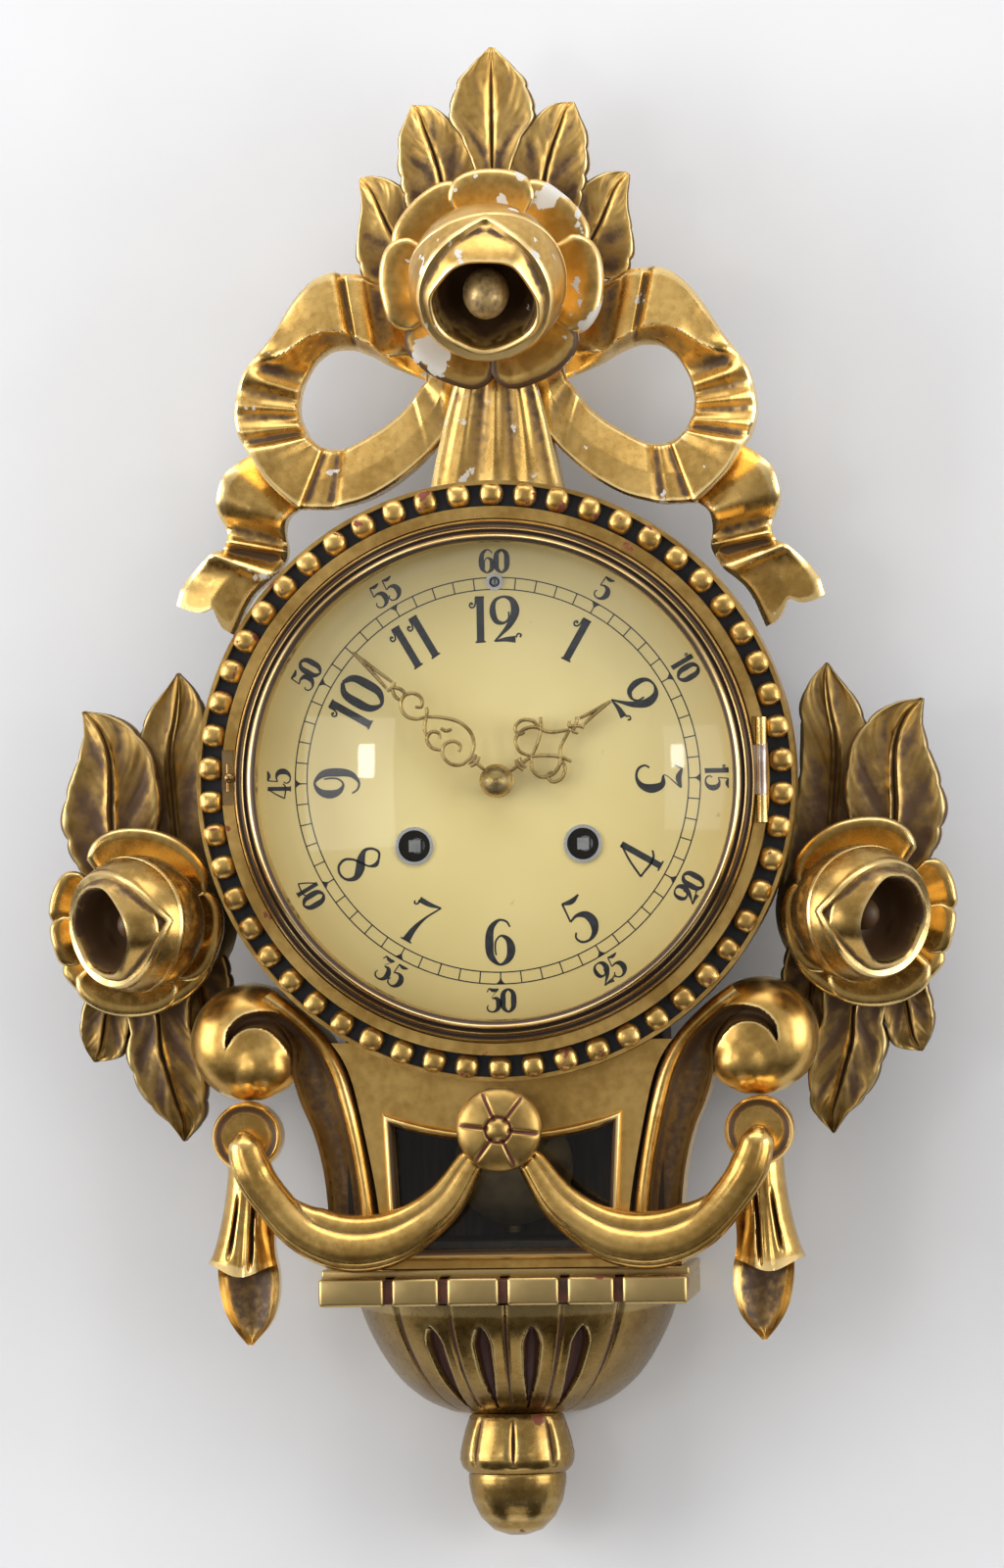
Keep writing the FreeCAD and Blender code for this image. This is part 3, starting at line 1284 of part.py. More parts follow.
def build_crest_leaves():
    """Five leaves spread like a palmette over the rose, on one block."""
    up = float(crest_height())
    depth, thickness = float(size.crest_back_depth), float(size.leaf_thickness)
    middle_left = [(-9.0, 20.0), (-7.4, 44.0), (-13.0, 58.0), (-17.7, 66.0), (-15.0, 73.0), (-9.0, 84.0),
                   (0.0, 92.6)]
    middle_right = [(-x, z) for x, z in middle_left]
    inner_outer = [(-25.0, 12.0), (-36.0, 38.0), (-38.0, 47.0), (-37.0, 57.0), (-34.8, 63.0), (-31.3, 70.4)]
    inner_inner = [(-6.0, 12.0), (-8.0, 46.0), (-13.0, 58.0), (-19.0, 66.0), (-25.0, 70.0), (-31.3, 70.4)]
    outer_outer = [(-30.0, 4.0), (-46.0, 5.0), (-52.5, 4.5), (-54.6, 13.0), (-53.4, 28.0), (-53.0, 42.4)]
    outer_inner = [(-14.0, 10.0), (-28.0, 34.0), (-37.2, 39.8), (-46.0, 43.0), (-53.0, 42.4)]
    rib = thickness * 0.22
    pieces = []
    for edges, layer, foot in (((inner_outer, inner_inner), 0.88, (-20.0, 30.0)),
                               ((outer_outer, outer_inner), 0.72, (-34.0, 14.0))):
        leaf = blade(shifted(edges[0], 0.0, up), shifted(edges[1], 0.0, up), depth, thickness * layer)
        tip = edges[0][-1]
        leaf = leaf.cut(midrib((foot[0], up + foot[1]), (tip[0], up + tip[1]), depth + thickness * layer,
                               rib))
        pieces += [leaf, mirrored(leaf)]
    centre = blade(shifted(middle_left, 0.0, up), shifted(middle_right, 0.0, up), depth, thickness)
    pieces.append(centre.cut(midrib((0.0, up + 40.0), (0.0, up + 92.0), depth + thickness, rib)))
    hub_points = shifted([(-40.0, 4.0), (0.0, 0.5), (40.0, 4.0), (30.0, 32.0), (0.0, 38.0), (-30.0, 32.0)],
                         0.0, up)
    wire = Part.makePolygon([spot(x, depth, z) for x, z in hub_points + hub_points[:1]])
    hub = Part.Face(wire).extrude(toward_room(size.bow_thickness))
    carved("crest_leaves", hub.fuse(pieces).removeSplitter())


def rose_shape(radius, height, petals, bud_radius, mouth_radius, turned):
    """A carved rose on its flat back at the origin: a ring of spread petals round a hollow bud, whose axis is
    turned by the given rotation, with a ball of stamens in its mouth."""
    petal_radius = 0.46 * radius
    rise = 0.3 * petal_radius
    dome = (petal_radius ** 2 + rise ** 2) / (2 * rise)
    edge = float(size.petal_edge)
    pieces = [rod(0, 0, 0, 0.62 * radius, 0.5 * rise + edge)]
    cap_angle = math.degrees(math.asin((dome - rise) / dome))
    for number in range(petals):
        angle = 2 * math.pi * (number + 0.25) / petals
        reach = radius - petal_radius
        foot = spot(reach * math.cos(angle), edge - (dome - rise), reach * math.sin(angle))
        cap = Part.makeSphere(dome, foot, toward_room(1), cap_angle, 90, 360)
        pad_disc = rod(reach * math.cos(angle), 0, reach * math.sin(angle), petal_radius, edge)
        pieces += [cap, pad_disc]
    base, lip = float(size.bud_base), float(size.bud_lip)
    bud_height = height - base
    profile = [(0.0, 0.0), (0.62 * bud_radius, 0.0), (0.95 * bud_radius, 0.28 * bud_height),
               (bud_radius, 0.5 * bud_height),
               (0.9 * bud_radius, 0.8 * bud_height), (mouth_radius + lip, bud_height)]
    wall = Part.BSplineCurve()
    wall.interpolate([Vector(r, -h, 0) for r, h in profile[1:]])
    inside = Part.BSplineCurve()
    inside.interpolate([Vector(r, -h, 0) for r,
                        h in ((mouth_radius - lip, bud_height), (0.86 * mouth_radius, 0.75 * bud_height),
                                                      (0.6 * mouth_radius, 0.5 * bud_height))])
    floor = 0.46 * bud_height
    edges = [wall.toShape(),
             Part.makeLine(Vector(mouth_radius + lip, -bud_height, 0),
                           Vector(mouth_radius - lip, -bud_height, 0)),
             inside.toShape(),
             Part.makeLine(Vector(0.6 * mouth_radius, -0.5 * bud_height, 0), Vector(0, -floor, 0)),
             Part.makeLine(Vector(0, -floor, 0), Vector(0, 0, 0)),
             Part.makeLine(Vector(0, 0, 0), Vector(0.62 * bud_radius, 0, 0))]
    bud = Part.Face(Part.Wire(edges)).revolve(Vector(0, 0, 0), Vector(0, 1, 0), 360)
    stamens = Part.makeSphere(0.34 * mouth_radius, spot(0, floor + 0.2 * mouth_radius, 0))
    bud = bud.fuse(stamens).removeSplitter()
    bud.Placement = FreeCAD.Placement(spot(0, base, 0), turned)
    behind = Part.makeBox(4 * radius, radius, 4 * radius, Vector(-2 * radius, 0, -2 * radius))
    return pieces[0].fuse(pieces[1:] + [bud]).cut(behind).removeSplitter()


def build_crest_rose():
    depth = size.crest_back_depth + size.bow_thickness + size.joinery_gap
    tilt = FreeCAD.Rotation(Vector(1, 0, 0), float(size.rose_tilt))
    shape = rose_shape(float(size.rose_radius), float(size.rose_height), 6, 0.7 * float(size.rose_radius),
                       0.53 * float(size.rose_radius), tilt)
    rose = carved("crest_rose", shape)
    rose.Placement.Base = spot(0, depth, crest_height())


BOW_LOOP = [
    (-14.2, -36.0), (-14.2, -6.0), (-30.0, -2.0), (-45.5, -1.8), (-58.8, 3.8), (-68.0, 3.8), (-77.4, -3.8),
    (-88.0, -19.8), (-98.0, -33.4), (-102.5, -49.8), (-99.8, -62.0), (-93.8, -70.4), (-85.8, -82.8),
    (-73.6, -88.3),
    (-60.0, -87.3), (-41.6, -79.8), (-25.0, -65.8), (-17.0, -50.8)]
BOW_HOLE = [
    (-27.6, -38.3), (-41.0, -32.8), (-59.0, -25.2), (-69.6, -29.3), (-77.0, -41.8), (-76.7, -54.8),
    (-69.0, -63.8),
    (-58.8, -64.2), (-43.3, -55.5), (-31.8, -43.8)]
BOW_TAIL = [
    (-92.0, -66.0), (-103.0, -69.8), (-110.4, -80.8), (-109.0, -92.8), (-107.6, -100.8), (-119.0, -109.8),
    (-127.7, -124.8),
    (-118.0, -127.8), (-112.0, -129.8), (-104.6, -137.1), (-101.0, -128.8), (-94.6, -119.1), (-85.0, -109.8),
    (-83.3, -104.2),
    (-84.0, -92.8), (-78.0, -84.0), (-76.0, -76.0)]


def build_bow():
    """Each side is a ribbon loop with its tail, pleated by grooves across the band."""
    up = float(crest_height())
    depth, thickness = float(size.crest_back_depth), float(size.bow_thickness)
    loop = smooth_slab(shifted(BOW_LOOP, 0, up), depth, thickness)
    hole = smooth_slab(shifted(BOW_HOLE, 0, up), depth, thickness)
    tail = smooth_slab(shifted(BOW_TAIL, 0, up), depth, 0.7 * thickness)
    knot = float(size.knot_half_width + size.joinery_gap)
    knot_side = block(-knot, up - 60.0, depth, 2 * knot, 70.0, thickness)
    folds = []
    for foot, tip in (((-66.0, -68.0), (-70.0, -90.0)), ((-75.0, -56.0), (-93.0, -72.0)),
                      ((-60.0, -22.0), (-62.0, 6.0))):
        folds.append(midrib((foot[0], up + foot[1]), (tip[0], up + tip[1]), depth + thickness,
                            0.16 * thickness))
    tail_front = depth + 0.7 * thickness
    for foot, tip in (((-92.0, -84.0), (-98.0, -122.0)), ((-104.0, -108.0), (-118.0, -124.0))):
        folds.append(midrib((foot[0], up + foot[1]), (tip[0], up + tip[1]), tail_front, 0.14 * thickness))
    side = loop.cut(hole).fuse(tail.cut(hole)).cut([knot_side, drum_keep_out] + folds).removeSplitter()
    carved("bow_left", side)
    carved("bow_right", mirrored(side))


def build_bow_fan():
    """The knot and the pleated fan under the rose, standing on the drum."""
    up = float(crest_height())
    depth, thickness = float(size.crest_back_depth), float(size.bow_thickness)
    half_knot = float(size.knot_half_width)
    drum_top = float(drum_clear_radius)
    flare = [(-half_knot, up - 36.0), (-half_knot - 0.6, up - 46.0), (-half_knot - 4.6, up - 60.0),
             (-half_knot - 10.0, up - 72.0), (-half_knot - 17.0, drum_top - 6.0)]
    edge = curve_edge(flare, depth)
    other = curve_edge([(-x, z) for x, z in flare[::-1]], depth)
    knot_left, knot_right, knot_top = flare[0], (half_knot, flare[0][1]), up - 2.0
    wire = Part.Wire([
        straight_edge((-half_knot, knot_top), knot_left, depth), edge,
        straight_edge(flare[-1], (-flare[-1][0], flare[-1][1]), depth), other,
        straight_edge(knot_right, (half_knot, knot_top), depth),
        straight_edge((half_knot, knot_top), (-half_knot, knot_top), depth)])
    fan = Part.Face(wire).extrude(toward_room(thickness))
    pleats = []
    for foot_x, top_x in ((-22.0, -8.5), (-11.0, -4.5), (0.0, 0.0), (11.0, 4.5), (22.0, 8.5)):
        pleats.append(midrib((foot_x, drum_top - 6.0), (top_x, up - 44.0), depth + thickness,
                             0.12 * thickness))
    carved("bow_fan", fan.cut([drum_keep_out] + pleats).removeSplitter())


# Side foliage: leaves on one board against the drum, with a rose in front
def side_rose_place():
    reach = size.ring_outer_radius + size.side_rose_reach
    below = math.radians(size.side_rose_angle)
    return (-reach * math.cos(below), -reach * math.sin(below))


FOLIAGE = (
    ([(14.0, 20.0), (5.0, 53.0), (2.0, 75.0), (7.0, 85.0), (12.5, 91.0), (17.0, 97.5)],
     [(41.0, 18.0), (42.0, 53.0), (35.0, 79.0), (27.0, 85.0), (23.0, 91.0), (17.0, 97.5)], 0.86),
    ([(-24.0, 22.0), (-29.5, 40.0), (-24.0, 60.0), (-20.0, 75.0), (-21.0, 83.0)],
     [(12.0, 24.0), (11.0, 54.0), (6.0, 67.0), (-4.0, 78.0), (-12.0, 82.5), (-21.0, 83.0)], 0.76),
    ([(-6.0, -30.0), (-5.0, -53.0), (-2.0, -63.0), (5.0, -74.0), (12.0, -81.0), (17.0, -87.0)],
     [(22.0, -30.0), (24.0, -49.0), (26.0, -62.0), (26.0, -76.0), (22.0, -84.0), (17.0, -87.0)], 0.76),
    ([(-20.0, -24.0), (-23.0, -38.0), (-22.0, -48.0), (-18.0, -55.5)],
     [(-4.0, -30.0), (-5.0, -46.0), (-9.0, -53.0), (-18.0, -55.5)], 0.62))


def build_foliage():
    x, z = (float(value) for value in side_rose_place())
    depth, thickness = float(size.crest_back_depth), float(size.foliage_thickness)
    hub = rod(x, depth, z, 0.8 * size.side_rose_radius, thickness)
    pieces = []
    for first, second, layer in FOLIAGE:
        leaf = blade(shifted(first, x, z), shifted(second, x, z), depth, thickness * layer)
        foot = ((first[1][0] + second[1][0]) / 2 + x, (first[1][1] + second[1][1]) / 2 + z)
        tip = (first[-1][0] + x, first[-1][1] + z)
        pieces.append(leaf.cut(midrib(foot, tip, depth + thickness * layer, 0.16 * thickness)))
    volute_x, volute_z = volute_place()
    volute_keep_out = rod(volute_x, size.console_back_depth - size.joinery_gap, volute_z,
                          size.volute_radius + size.joinery_gap, size.console_thickness)
    left = hub.fuse(pieces).cut([drum_keep_out, volute_keep_out]).removeSplitter()
    carved("foliage_left", left)
    carved("foliage_right", mirrored(left))


def build_side_roses():
    x, z = side_rose_place()
    depth = size.crest_back_depth + size.foliage_thickness + size.joinery_gap
    outward = FreeCAD.Rotation(Vector(0, 0, 1), -float(size.side_rose_turn))
    radius = float(size.side_rose_radius)
    left = rose_shape(radius, float(size.rose_height), 5, 0.72 * radius, 0.47 * radius, outward)
    left.translate(spot(x, depth, z))
    left = left.cut(ring_keep_out).removeSplitter()
    carved("rose_left", left)
    carved("rose_right", mirrored(left))


# Consoles: scrolled brackets at each side of the pendulum window
def volute_place():
    reach = float(ring_clear_radius + size.volute_radius + size.volute_gap)
    below = math.radians(size.volute_angle)
    return (-reach * math.sin(below), -reach * math.cos(below))


CONSOLE_INNER = [(10.9, 17.4), (21.4, 10.0), (32.4, -0.5), (38.8, -11.0), (42.8, -25.0), (45.7, -39.0),
                 (48.7, -55.0), (50.4, -67.0)]
CONSOLE_OUTER = [(8.4, 0.0), (15.4, -11.0), (21.7, -25.0), (28.8, -44.0), (31.2, -64.0)]


def console_foot():
    return -(float(size.ring_outer_radius) + float(size.box_drop))


def build_consoles():
    x, z = volute_place()
    depth, thickness = float(size.console_back_depth), float(size.console_thickness)
    front = depth + thickness
    foot = console_foot()
    inner = shifted(CONSOLE_INNER, x, z)
    outer = shifted(CONSOLE_OUTER, x, z)
    inner_foot, outer_foot = (inner[-1][0] + 0.8, foot), (outer[-1][0], foot)
    wire = Part.Wire([
        curve_edge(inner, depth), straight_edge(inner[-1], inner_foot, depth),
        straight_edge(inner_foot, outer_foot, depth),
        straight_edge(outer_foot, outer[-1], depth), curve_edge(outer[::-1], depth),
        straight_edge(outer[0], inner[0], depth)])
    strip = Part.Face(wire).extrude(toward_room(thickness))
    volute = rod(x, depth, z, size.volute_radius, size.volute_height)
    eye_radius = 0.5 * float(size.volute_radius)
    eye_x, eye_z = x + 5.4, z - 9.0
    eye_middle = spot(eye_x, depth + size.volute_height - 0.4 * eye_radius, eye_z)
    eye = Part.makeSphere(eye_radius, eye_middle, toward_room(1), -90, 90, 360)
    rib = float(size.console_rib)
    channel_inner = [(px - rib, pz - 0.4 * rib) for px, pz in inner[1:]] + [(inner_foot[0] - rib, foot - 1.0)]
    channel_outer = [(px + 0.5 * rib, pz) for px, pz in outer[1:]] + [(outer_foot[0] + 0.5 * rib, foot - 1.0)]
    floor = front - 0.22 * thickness
    channel = Part.Wire([
        curve_edge(channel_inner[::-1], floor), straight_edge(channel_inner[0], channel_outer[0], floor),
        curve_edge(channel_outer, floor), straight_edge(channel_outer[-1], channel_inner[-1], floor)])
    channel = Part.Face(channel).extrude(toward_room(thickness))
    groove_depth = 0.16 * eye_radius
    groove_floor = depth + size.volute_height - groove_depth
    groove = rod(eye_x, groove_floor, eye_z, 1.42 * eye_radius, thickness)
    groove = groove.cut(rod(eye_x, groove_floor, eye_z, 1.12 * eye_radius, thickness))
    lower = block(eye_x - 2 * eye_radius, eye_z - 2 * eye_radius, groove_floor, 4 * eye_radius,
                  2 * eye_radius, thickness)
    box_keep_out = block(-float(size.box_half_width) - size.joinery_gap, foot - size.joinery_gap, 0,
                         2 * size.box_half_width,
                         -foot, size.case_depth + size.joinery_gap)
    left = strip.cut(channel).fuse([volute]).cut(groove.cut(lower)).fuse(eye)
    left = left.cut([box_keep_out, drum_keep_out, ring_keep_out]).removeSplitter()
    carved("console_left", left)
    carved("console_right", mirrored(left))


def roundel_place():
    x, z = volute_place()
    return (x, z - float(size.volute_radius) - float(size.roundel_radius) - float(size.joinery_gap))


def build_tassels():
    """A roundel under each volute with a draped tassel hanging from it."""
    x, z = roundel_place()
    front = float(size.roundel_front_depth)
    thickness = 0.24 * front
    disc = rod(x, front - thickness, z, size.roundel_radius, thickness)
    middle = front - 0.62 * thickness
    stations = [(-0.8, 8.0, -11.5), (-1.5, 8.8, -26.5), (-2.2, 10.2, -37.5), (-2.6, 13.8, -51.5),
                (-0.6, 11.8, -61.0), (0.2, 9.0, -71.5), (0.1, 3.0, -81.0)]
    sections = []
    for across, half, drop in stations:
        centre = spot(x + across, middle, z + drop)
        oval = Part.Ellipse(centre + Vector(half, 0, 0), centre + Vector(0, 0.62 * half, 0), centre)
        sections.append(Part.Wire(oval.toShape()))
    drape = Part.makeLoft(sections, True)
    folds = [midrib((x - 4.0, z - 18.0), (x - 6.5, z - 49.0), middle + 6.2, 1.6),
             midrib((x + 4.0, z - 18.0), (x + 4.5, z - 49.0), middle + 6.2, 1.6)]
    spoon = Part.makeSphere(11.0, spot(x, middle + 13.4, z - 64.0))
    left = drape.cut(folds + [spoon]).fuse(disc).removeSplitter()
    carved("tassel_left", left)
    carved("tassel_right", mirrored(left))


SWAG = [(0.0, -1.0, 5.4), (2.4, -12.0, 7.4), (12.0, -24.0, 8.2), (25.5, -36.4, 10.0), (40.0, -41.4, 11.3),
        (56.0, -40.0, 10.6), (67.5, -34.4, 9.0), (77.0, -27.0, 8.0), (88.0, -11.4, 5.6), (92.5, -5.0, 4.6)]


def build_swags():
    """Drapery hung from each roundel to the rosette: a flattened round section along the curve."""
    x, z = roundel_place()
    depth, flatness = float(size.swag_depth), float(size.swag_flatness)
    stretch = (-x - float(size.swag_end_offset)) / SWAG[-1][0]
    points = [(x + across * stretch, z + up) for across, up, half in SWAG]
    sections = []
    for number, (point, station) in enumerate(zip(points, SWAG)):
        before, after = points[max(number - 1, 0)], points[min(number + 1, len(points) - 1)]
        way = Vector(after[0] - before[0], 0, after[1] - before[1]).normalize()
        half = station[2]
        centre = spot(point[0], depth, point[1])
        oval = Part.Ellipse(centre + Vector(-way.z, 0, way.x) * half, centre + Vector(0, flatness * half, 0),
                            centre)
        sections.append(Part.Wire(oval.toShape()))
    left = Part.makeLoft(sections, True)
    carved("swag_left", left)
    carved("swag_right", mirrored(left))


# Apron with the pendulum window, its moulded frame, the pane and the rosette
def apron_foot():
    return -(size.ring_outer_radius + size.box_drop)


def window_corners(grow):
    """The window's outline, grown outwards on every side."""
    top_radius = size.ring_outer_radius + size.window_top_offset - grow
    console_x = volute_place()[0] + CONSOLE_INNER[-1][0]
    foot_half = -console_x - size.window_side_margin + grow
    half = foot_half + size.window_splay
    sill = -(size.ring_outer_radius + size.window_sill_drop) - grow
    top = -math.sqrt(float(top_radius) ** 2 - float(half) ** 2)
    return [(-foot_half, sill), (foot_half, sill), (half, top, -top_radius), (-half, top)]


def build_apron():
    """A flat panel on the front of the box, between the ring and the cornice and fitted to the consoles."""
    depth, thickness = float(size.case_depth), float(size.apron_thickness)
    vx, vz = volute_place()
    gap = 5 * float(size.joinery_gap)
    foot = float(apron_foot())
    left = [(px + gap, pz) for px, pz in shifted(CONSOLE_INNER[2:], vx, vz)]
    left_foot = (left[-1][0] + 0.8, foot)
    right = [(-px, pz) for px, pz in left]
    right_foot = (-left_foot[0], foot)
    wire = Part.Wire([
        curve_edge(left, depth), straight_edge(left[-1], left_foot, depth),
        straight_edge(left_foot, right_foot, depth),
        straight_edge(right_foot, right[-1], depth), curve_edge(right[::-1], depth),
        straight_edge(right[0], left[0], depth)])
    panel = Part.Face(wire).extrude(toward_room(thickness))
    opening = window_tool(0.0, depth, thickness)
    rebate = window_tool(float(size.pane_lap), depth, size.pane_thickness + 2 * size.joinery_gap)
    carved("apron", panel.cut([opening, rebate, ring_keep_out]).removeSplitter())


def window_tool(grow, depth, thickness):
    corners = window_corners(grow)
    points = [spot(float(corner[0]), depth, float(corner[1])) for corner in corners]
    top_radius = float(size.ring_outer_radius + size.window_top_offset) - grow
    crown = spot(0, depth, -top_radius)
    wire = Part.Wire([
        Part.makeLine(points[0], points[1]), Part.makeLine(points[1], points[2]),
        Part.Arc(points[2], crown, points[3]).toShape(), Part.makeLine(points[3], points[0])])
    return Part.Face(wire).extrude(toward_room(thickness))


def build_window():
    front = size.case_depth + size.apron_thickness
    outer = window_tool(float(size.frame_width), front, size.frame_thickness)
    inner = window_tool(0.0, front, size.frame_thickness)
    ease = window_tool(float(size.frame_width) / 2, front + 0.6 * size.frame_thickness, size.frame_thickness)
    carved("window_frame", outer.cut([inner, ease.cut(inner)]).removeSplitter())
    pane_gap = float(size.joinery_gap)
    pane = window_tool(float(size.pane_lap) - pane_gap, size.case_depth + pane_gap, size.pane_thickness)
    carved("window_glass", pane)


def build_rosette():
    """A carved button over the swags' ends, on a stem from the apron."""
    z = -(float(size.ring_outer_radius) + float(size.rosette_drop))
    back, radius = float(size.rosette_back_depth), float(size.rosette_radius)
    thickness = float(size.rosette_thickness)
    apron_front = float(size.case_depth + size.apron_thickness)
    edge = 0.4 * thickness
    rim, crown = spot(radius, back + edge, z), spot(0, back + thickness, z)
    dome = (radius ** 2 + (thickness - edge) ** 2) / (2 * (thickness - edge))
    lean = math.asin(radius / dome) / 2
    swell = spot(dome * math.sin(lean), back + thickness - dome * (1 - math.cos(lean)), z)
    profile = Part.Wire([
        Part.makeLine(spot(0, back, z), spot(radius, back, z)), Part.makeLine(spot(radius, back, z), rim),
        Part.Arc(rim, swell, crown).toShape(), Part.makeLine(crown, spot(0, back, z))])
    disc = Part.Face(profile).revolve(spot(0, back, z), Vector(0, 1, 0), 360)
    boss = Part.makeSphere(0.25 * radius, spot(0, back + thickness, z))
    grooves = []
    for number in range(6):
        angle = math.pi * (number + 0.5) / 3
        tip = (radius * math.cos(angle), z + radius * math.sin(angle))
        foot = (0.3 * radius * math.cos(angle), z + 0.3 * radius * math.sin(angle))
        grooves.append(midrib(foot, tip, back + 0.8 * thickness, 0.1 * radius))
    stem_z = z + 0.45 * radius
    stem = rod(0, apron_front + size.joinery_gap, stem_z, 0.32 * radius, back - apron_front)
    carved("rosette", disc.cut(grooves).fuse([boss, stem]).removeSplitter())


# Urn under the window: cornice, gadrooned bowl and acorn
def build_urn_cornice():
    """A slab with its top sloped to the front and notched like dentils."""
    body = new_body("urn_cornice")
    top = apron_foot() - size.joinery_gap
    foot = top - size.cornice_height
    slope = 2 * size.joinery_gap + size.dentil_width * 0.8
    half = size.cornice_half_width
    front = size.cornice_depth
    slab = new_sketch(body, "XZ_Plane")
    draw_outline(slab, [(-half, foot), (half, foot), (half, top), (-half, top)])
    pad(body, slab, front)
    ledge = new_sketch(body, "XZ_Plane", size.case_depth + size.apron_thickness)
    draw_outline(ledge, [(-half, top - slope), (half, top - slope), (half, top + slope),
                         (-half, top + slope)])
    cut(body, ledge, front)
    notches = new_sketch(body, "XZ_Plane", front - size.dentil_width)
    width = size.dentil_width / 2
    for place in (-0.625, -0.326, 0.0, 0.326, 0.625):
        middle = place * half
        draw_outline(notches, [(middle - width, foot), (middle + width, foot), (middle + width, top),
                               (middle - width, top)])
    cut(body, notches, front)


def bowl_sections(inset):
    """Half-oval sections down the bowl, flat against the wall."""
    top = float(apron_foot() - size.cornice_height - 2 * size.joinery_gap)
    wires = []
    for down, wide, deep in ((0.0, 1.0, 1.0), (0.26, 0.968, 0.95), (0.48, 0.88, 0.88), (0.7, 0.76, 0.77),
                             (0.87, 0.585, 0.64), (1.0, 0.34, 0.5)):
        half = wide * float(size.bowl_half_width) - inset
        reach = deep * float(size.bowl_depth) - inset
        z = top - down * float(size.bowl_height)
        ends = (spot(-half, 0, z), spot(half, 0, z))
        quarter = math.sqrt(0.5)
        shoulders = (spot(-half * quarter, reach * quarter, z), spot(half * quarter, reach * quarter, z))
        front = Part.BSplineCurve()
        front.interpolate([ends[0], spot(-half * 0.93, reach * 0.37, z), shoulders[0], spot(0, reach, z),
                           shoulders[1], spot(half * 0.93, reach * 0.37, z), ends[1]])
        wires.append(Part.Wire([front.toShape(), Part.makeLine(ends[1], ends[0])]))
    return wires


def build_urn_bowl():
    """A half bowl with straight gadroon lines that fan out from under the acorn."""
    groove = float(size.gadroon_groove)
    bowl = Part.makeLoft(bowl_sections(0.0), True)
    core = Part.makeLoft(bowl_sections(groove), True)
    top = float(apron_foot() - size.cornice_height - 2 * size.joinery_gap)
    pivot = top - 1.45 * float(size.bowl_height)
    lines = []
    for place in (-0.7, -0.355, 0.0, 0.355, 0.7):
        reach = 2 * float(size.bowl_height)
        line = Part.makeBox(groove, 2 * size.bowl_depth, reach, Vector(-groove / 2, -2 * size.bowl_depth, 0))
        line.rotate(Vector(0, 0, 0), Vector(0, 1, 0),
                    math.degrees(math.atan2(place * size.bowl_half_width, top - pivot)))
        line.translate(Vector(0, 0, pivot))
        lines.append(line)
    carved("urn_bowl", bowl.cut(lines).fuse(core).removeSplitter())


def build_acorn():
    body = new_body("acorn_finial")
    top = apron_foot() - size.cornice_height - size.bowl_height - 3 * size.joinery_gap
    radius, height = size.acorn_radius, size.acorn_height
    place_body(body, depth=radius + 2 * size.joinery_gap, z=top)
    profile = new_sketch(body, "XZ_Plane")
    nut = radius * 0.85
    shoulder = height * 0.49
    drop = height - shoulder
    curve = (nut * nut + drop * drop) / (2 * nut) * 0.84
    draw_outline(profile, [
        (0.0, 0.0), (0.0, -height, curve), (nut, -shoulder), (radius * 0.88, -height * 0.47),
        (radius, -height * 0.36, radius * 1.6),
        (radius * 0.82, 0.0)])
    turn(body, profile)


for build in (
        build_case_shell, build_back_board, build_hanger_plate, build_case_screws, build_bead_ring,
        build_ring_beads,
        build_bezel_ring, build_bezel_glass, build_bezel_hinge_leaf, build_case_hinge_leaf, build_bezel_knob,
        build_catch_plate,
        build_dial_plate, build_dial_grommets, build_front_plate, build_back_plate, build_movement_brackets,
        build_barrels,
        build_winding_arbors, build_train_wheels, build_centre_wheel, build_motion_work, build_hands,
        build_suspension_cock,
        build_anchor, build_pendulum, build_bell, build_hammer, build_regulator_arbor, build_crest_leaves,
        build_crest_rose,
        build_bow, build_bow_fan, build_foliage, build_side_roses, build_consoles, build_tassels, build_swags,
        build_apron,
        build_window, build_rosette, build_urn_cornice, build_urn_bowl, build_acorn):
    build()
doc.recompute()

failed = [thing.Label for thing in doc.Objects if "Invalid" in thing.State or "Error" in thing.State]
failed += [node.Label for node in nodes if node.Shape.isNull() or not node.Shape.isValid()]
if failed:
    raise RuntimeError("these did not build: " + ", ".join(failed))

os.makedirs("parts", exist_ok=True)
for node in nodes:
    node.Shape.exportStep(f"parts/{node.Label}.step")
print(f"{len(nodes)} sub-parts written")
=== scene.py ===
import math

import bmesh
import bpy
import numpy as np
from mathutils import Matrix, Vector, noise


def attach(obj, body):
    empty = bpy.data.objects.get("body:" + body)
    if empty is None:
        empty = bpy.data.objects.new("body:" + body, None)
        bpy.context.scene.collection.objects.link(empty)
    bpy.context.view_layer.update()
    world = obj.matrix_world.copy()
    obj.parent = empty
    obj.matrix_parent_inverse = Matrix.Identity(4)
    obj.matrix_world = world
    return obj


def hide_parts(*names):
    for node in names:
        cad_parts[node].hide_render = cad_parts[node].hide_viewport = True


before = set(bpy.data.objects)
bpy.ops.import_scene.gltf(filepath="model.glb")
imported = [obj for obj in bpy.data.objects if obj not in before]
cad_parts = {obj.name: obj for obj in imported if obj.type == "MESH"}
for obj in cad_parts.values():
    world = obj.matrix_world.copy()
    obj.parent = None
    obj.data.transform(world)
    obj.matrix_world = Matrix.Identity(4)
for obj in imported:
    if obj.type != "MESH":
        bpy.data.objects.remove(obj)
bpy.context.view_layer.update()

# The room: a pale plastered wall that the clock hangs on and a pale floor below it.
# The wall shows its front alone, so that the clock's back can be looked at from behind.


